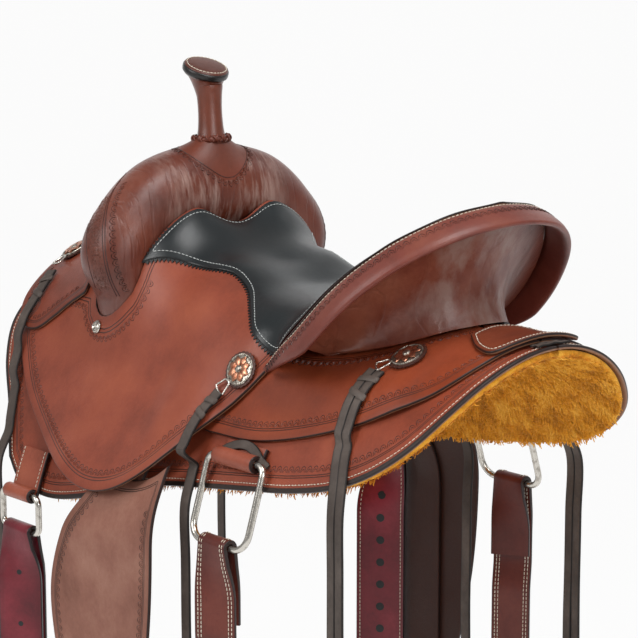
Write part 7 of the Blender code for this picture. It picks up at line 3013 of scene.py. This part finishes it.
@dataclass
class Button:
    """A flat ornament on a leather face."""

    y: float
    v: float
    turn: float
    stand: float
    ground: Height

    def frame(self) -> tuple[np.ndarray, np.ndarray]:
        """Centre, and a matrix whose rows are ahead along y, down the side, and off the face.

        Returns:
            The centre and the matrix.
        """
        at = lambda a, b: BACK.point(a, b, self.ground(a, b))
        ahead = at(self.y + 0.012, self.v) - at(self.y - 0.012, self.v)
        down = at(self.y, self.v + 0.012) - at(self.y, self.v - 0.012)
        ahead = ahead / np.linalg.norm(ahead)
        off = np.cross(down, ahead)
        off = off / np.linalg.norm(off)
        off = off if off[0] > 0 else -off
        down = np.cross(ahead, off)
        down = down if down[2] < 0 else -down
        return at(self.y, self.v), np.array([ahead, down, off])

    def set(self, solid: Solid) -> Solid:
        """A solid moved from the ornament's own axes to the world."""
        centre, axes = self.frame()
        return Solid(centre + solid.verts @ axes, solid.faces, solid.edge, solid.way)

    def concho(self, name: str, rows: Repeater) -> None:
        """A rosette of leather, a roped silver rim, eight copper petals and a boss.

        Args:
            name: front, middle or rear.
            rows: lays the small repeats.
        """
        base = self.stand
        around = np.linspace(0, 2 * math.pi, 144, endpoint=False)
        wave = CONCHO_RADIUS + 0.0005 * np.cos(CONCHO_LOBES * around)
        ring = lambda scale, h: np.stack([wave * scale * np.cos(around), wave * scale * np.sin(around),
                                          np.full(144, h)], axis=1)
        rosette = rings_to_solid([ring(0.985, base), ring(1.0, base + 0.0008), ring(0.985, base + 0.0019),
                                  ring(0.90, base + 0.0022), ring(0.2, base + 0.0022)])
        z = base + 0.0020
        plate = turned([(0.0, z), (0.0172, z), (0.0172, z + 0.0012), (0.0148, z + 0.0016), (0.0146, z + 0.0010),
                        (0.010, z + 0.0020), (0.0, z + 0.0026)], (0, 0, 0), (0, 0, 1), 64)
        boss = turned([(0.0, z + 0.001), (0.0040, z + 0.001), (0.0042, z + 0.0032), (0.0036, z + 0.0041),
                       (0.0018, z + 0.0046), (0.0, z + 0.0047)], (0, 0, 0), (0, 0, 1), 24)
        petals = []
        for k in range(CONCHO_PETALS):
            t = 2 * math.pi * k / CONCHO_PETALS + 0.2
            rings = []
            for s in np.linspace(0, 1, 11):
                far = 0.0038 + 0.0106 * s
                wide = 0.0042 * math.sin(math.pi * min(1.0, 0.15 + 0.87 * s)) ** 0.7 + 0.0002
                lift = z + 0.0014 + 0.0016 * math.sin(math.pi * (0.2 + 0.7 * s))
                spots = [(far, wide * c,
                          lift + 0.0006 * (1 - c * c) * (1.0 if up else -1.0) - (0.0 if up else 0.0005))
                         for up, cs in ((True, (-1, -0.5, 0, 0.5, 1)), (False, (0.5, 0, -0.5))) for c in cs]
                rings.append(np.array([(x * math.cos(t) - y * math.sin(t), x * math.sin(t) + y * math.cos(t), h)
                                       for x, y, h in spots]))
            petals.append(rings_to_solid(rings))
        beads_at = np.linspace(0, 2 * math.pi, CONCHO_BEADS, endpoint=False)
        rim = np.stack([np.cos(beads_at), np.sin(beads_at), np.zeros(CONCHO_BEADS)], axis=1)
        centre, axes = self.frame()
        beads = Row(centre + (rim * BEAD_RING + [0, 0, z + 0.0012]) @ axes,
                    np.repeat(axes[2:3], CONCHO_BEADS, axis=0),
                    np.stack([-rim[:, 1], rim[:, 0], rim[:, 2]], axis=1) @ axes)
        clip = [(0.0190, -0.0042), (0.0250, -0.0058), (0.0318, -0.0072), (0.0332, 0.0), (0.0318, 0.0072),
                (0.0250, 0.0058), (0.0190, 0.0042), (0.0178, 0.0)]
        way = curve(clip + clip[:1], 40)[:-1]
        cos, sin = math.cos(self.turn), math.sin(self.turn)
        way = np.array([(x * cos - y * sin, x * sin + y * cos, base + 0.0030) for x, y in way])
        all_petals = reduce(Solid.joined, petals)
        catch = wire(way, CLIP_WIRE, (0, 0, 1), 10)
        for side in Side:
            word = side.word
            piece(f"rosette_{name}_{word}", self.set(rosette).on(side), ROSETTE_HIDE)
            piece(f"concho_plate_{name}_{word}", self.set(plate).on(side), SILVER,
                  replaces=[f"concho_{name}_{word}"])
            piece(f"concho_petals_{name}_{word}", self.set(all_petals).on(side), COPPER)
            piece(f"concho_boss_{name}_{word}", self.set(boss).on(side), SILVER)
            piece(f"concho_clip_{name}_{word}", self.set(catch).on(side), NICKEL)
            rows.lay(f"concho_rope_{name}_{word}", beads.on(side), Templates.bead(), SILVER,
                     sway=0.1)

    def ferrule(self) -> None:
        """A round silver ferrule with a raised spiral."""
        disc = turned([(0.0, 0.0006), (0.0072, 0.0006), (0.0076, 0.0016), (0.0070, 0.0026), (0.0, 0.0024)],
                      (0, 0, 0), (0, 0, 1), 40)
        t = np.linspace(0.4, 2 * math.pi * 2.6, 90)
        r = 0.0064 * t / t[-1]
        spiral = wire(np.stack([r * np.cos(t), r * np.sin(t), np.full(90, 0.0027)], axis=1), 0.00075,
                      (0, 0, 1), 8, closed=False)
        for side in Side:
            piece("ferrule_" + side.word, self.set(disc.joined(spiral)).on(side), NICKEL,
                  replaces=["swell_ferrule_" + side.word])


CONCHOS = {"front": Button(-0.291, 0.055, 1.45, 0.0012, front_jockey_top),
           "middle": Button(0.111, 0.1250, 2.15, 0.0026, DRAPE.top),
           "rear": Button(0.3110, 0.0765, 2.30, 0.0010, LAYERS.jockey_top)}


@dataclass
class Thong:
    """A saddle string: its way down over the leather, where it hangs, and its width."""

    places: tuple
    hang: tuple[float, float]
    width: float = 0.0145
    strands: int = 1
    thick: float = 0.0028
    end_z: float = -0.500

    def path(self) -> np.ndarray:
        """Middle line on the left side.

        Returns:
            The places in metres.
        """
        covers = ((OUTLINES.seat(), DRAPE.top), (OUTLINES.rear_jockey(), LAYERS.jockey_top),
                  (OUTLINES.front(), front_jockey_top))
        half, made = self.width / 2, []
        for a, b in curve(self.places, 14):
            heights = [LAYERS.skirt_top]
            for da, db in ((0, 0), (half, 0), (-half, 0), (0, 0.008), (0, -0.008)):
                spot = np.array([[a + da, b + db]])
                heights += [float(top(a + da, b + db)) for loop, top in covers
                            if inside(loop, spot)[0] or gap_to(loop, spot)[0][0] < 0.009]
            made.append(tuple(BACK.point(a, b, max(heights) + 1.15 * GAP + self.thick / 2)))
        x, y = self.hang
        low = made[-1][2]
        made += [(x, y, low - drop) for drop in (0.028, 0.090, 0.190)] + [(x, y, self.end_z)]
        return curve(made, 120)

    def build(self, name: str) -> None:
        """Makes the string and its knot, and reports its length.

        Args:
            name: its name.
        """
        side = Side.LEFT if name.endswith("left") else Side.RIGHT
        line = self.path()
        share = np.linspace(0, 1, len(line))
        parts = []
        one = self.width if self.strands == 1 else self.width / 2 - 0.0004
        for k in range(self.strands):
            shift = (k - (self.strands - 1) / 2) * (self.width / 2)
            moved = line + np.outer(np.ones(len(line)), [0, shift, 0])
            moved = moved + np.outer(0.0006 * np.sin(17 * share + 2 * k) * step_up(share, 0.45, 0.7),
                                     [1, 0, 0])
            solid, _ = strap(moved, (0, 1, 0), one, self.thick, 0.0009, 4)
            parts.append(solid)
        string = piece("saddle_string_" + name, reduce(Solid.joined, parts).on(side), THONG_HIDE,
                       replaces=["string_" + name])
        path = line * [side.value, 1, 1]
        length = float(np.linalg.norm(np.diff(path, axis=0), axis=1).sum())
        knot = self.knot(line)
        tied = piece("string_knot_" + name, knot.on(side), THONG_HIDE)
        LOG.info("string %s: %.3f m long", name, length)
        tuple(path[0])
        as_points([tuple(p) for p in path[::3]] + [tuple(path[-1])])

    def knot(self, line: np.ndarray) -> Solid:
        """Two turns of the thong about itself.

        Args:
            line: places along it.

        Returns:
            The knot.
        """
        parts = []
        for k, place in enumerate((3, 7)):
            at, ahead = line[place], line[place + 2] - line[place - 2]
            ahead = ahead / np.linalg.norm(ahead)
            across = np.array([0.0, 1.0, 0.0]) - ahead * ahead[1]
            across = across / np.linalg.norm(across)
            up = np.cross(ahead, across)
            up = up if up[0] > 0 else -up
            turns = np.linspace(0, 2 * math.pi, 28, endpoint=False)
            slant = 0.0022 * (1 if k else -1)
            ring = at + np.outer(np.cos(turns), across) * (self.width / 2 + 0.0006) \
                + np.outer(np.maximum(np.sin(turns), -0.3), up) * (self.thick / 2 + 0.0014) \
                + np.outer(np.cos(turns), ahead) * slant
            rings = []
            for t, spot in zip(turns, ring):
                away = math.cos(t) * across + math.sin(t) * up
                away = away / np.linalg.norm(away)
                rings.append(np.array([spot + ahead * a * 0.0036 + away * b * 0.0011
                                       for a, b in ((-1, 0), (-0.6, 1), (0.6, 1), (1, 0), (0.6, -1),
                                                    (-0.6, -1))]))
            parts.append(rings_to_solid(rings, closed=True))
        made = reduce(Solid.joined, parts)
        made.edge = np.full(len(made.verts), 0.004)
        return made


THONGS = {
    "front_left": Thong(((-0.290, 0.088), (-0.284, 0.112), (-0.285, 0.141), (-0.277, 0.169), (-0.266, 0.196),
                         (-0.253, 0.227), (-0.242, 0.258)), (0.2205, -0.2310)),
    "front_right": Thong(((-0.290, 0.088), (-0.297, 0.112), (-0.305, 0.138), (-0.314, 0.165)),
                         (0.1690, -0.3240)),
    "middle_left": Thong(((0.0940, 0.1500), (0.087, 0.168), (0.084, 0.184), (0.085, 0.207), (0.090, 0.233)),
                         (0.2010, 0.0950)),
    "middle_right": Thong(((0.0940, 0.1500), (0.087, 0.168), (0.084, 0.184), (0.085, 0.207), (0.090, 0.233)),
                          (0.2010, 0.0950)),
    "rear_left": Thong(((0.2900, 0.0985), (0.288, 0.121), (0.287, 0.137), (0.290, 0.158), (0.300, 0.186),
                        (0.311, 0.210)), (0.1905, 0.3220), 0.0235, 2),
    "rear_right": Thong(((0.2900, 0.0985), (0.286, 0.121), (0.281, 0.137), (0.275, 0.160), (0.270, 0.188),
                         (0.268, 0.218)), (0.1955, 0.2680), 0.0235, 2),
}


# ---------------------------------------------------------------- the whole saddle

TREE_FINISHES = {"tree_bar_left": MAPLE, "tree_bar_right": MAPLE, "tree_fork": MAPLE, "tree_cantle": MAPLE,
                 "strainer_plate": STEEL, "horn_core": STEEL, "ground_seat": YOKE_HIDE}


def dress_tree(frame: Frame) -> None:
    """Gives the tree under the leather, which keeps its CAD shape, its own materials.
    """
    for name, finish in TREE_FINISHES.items():
        mesh = frame["nodes"][name].data
        mesh.materials.clear()
        mesh.materials.append(finish.material())


def main() -> None:
    """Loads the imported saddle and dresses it."""
    logging.basicConfig(level=logging.INFO, format="%(message)s")
    for obj in list(bpy.data.objects):
        bpy.data.objects.remove(obj)
    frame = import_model()
    STUDIO.build()
    rows = Repeater()
    dress_tree(frame)
    for name, thong in THONGS.items():
        thong.build(name)
    for part in (Skirts(), Jockeys(), SWELL, Seat(), Rigging(), Swing()):
        part.build(rows)
    rim = Rim()
    rim.roll(rows)
    rim.back()
    for name, button in CONCHOS.items():
        button.concho(name, rows)
    Button(-0.146, 0.124, 0.0, 0.0, DRAPE.top).ferrule()


if __name__ == "__main__":
    main()
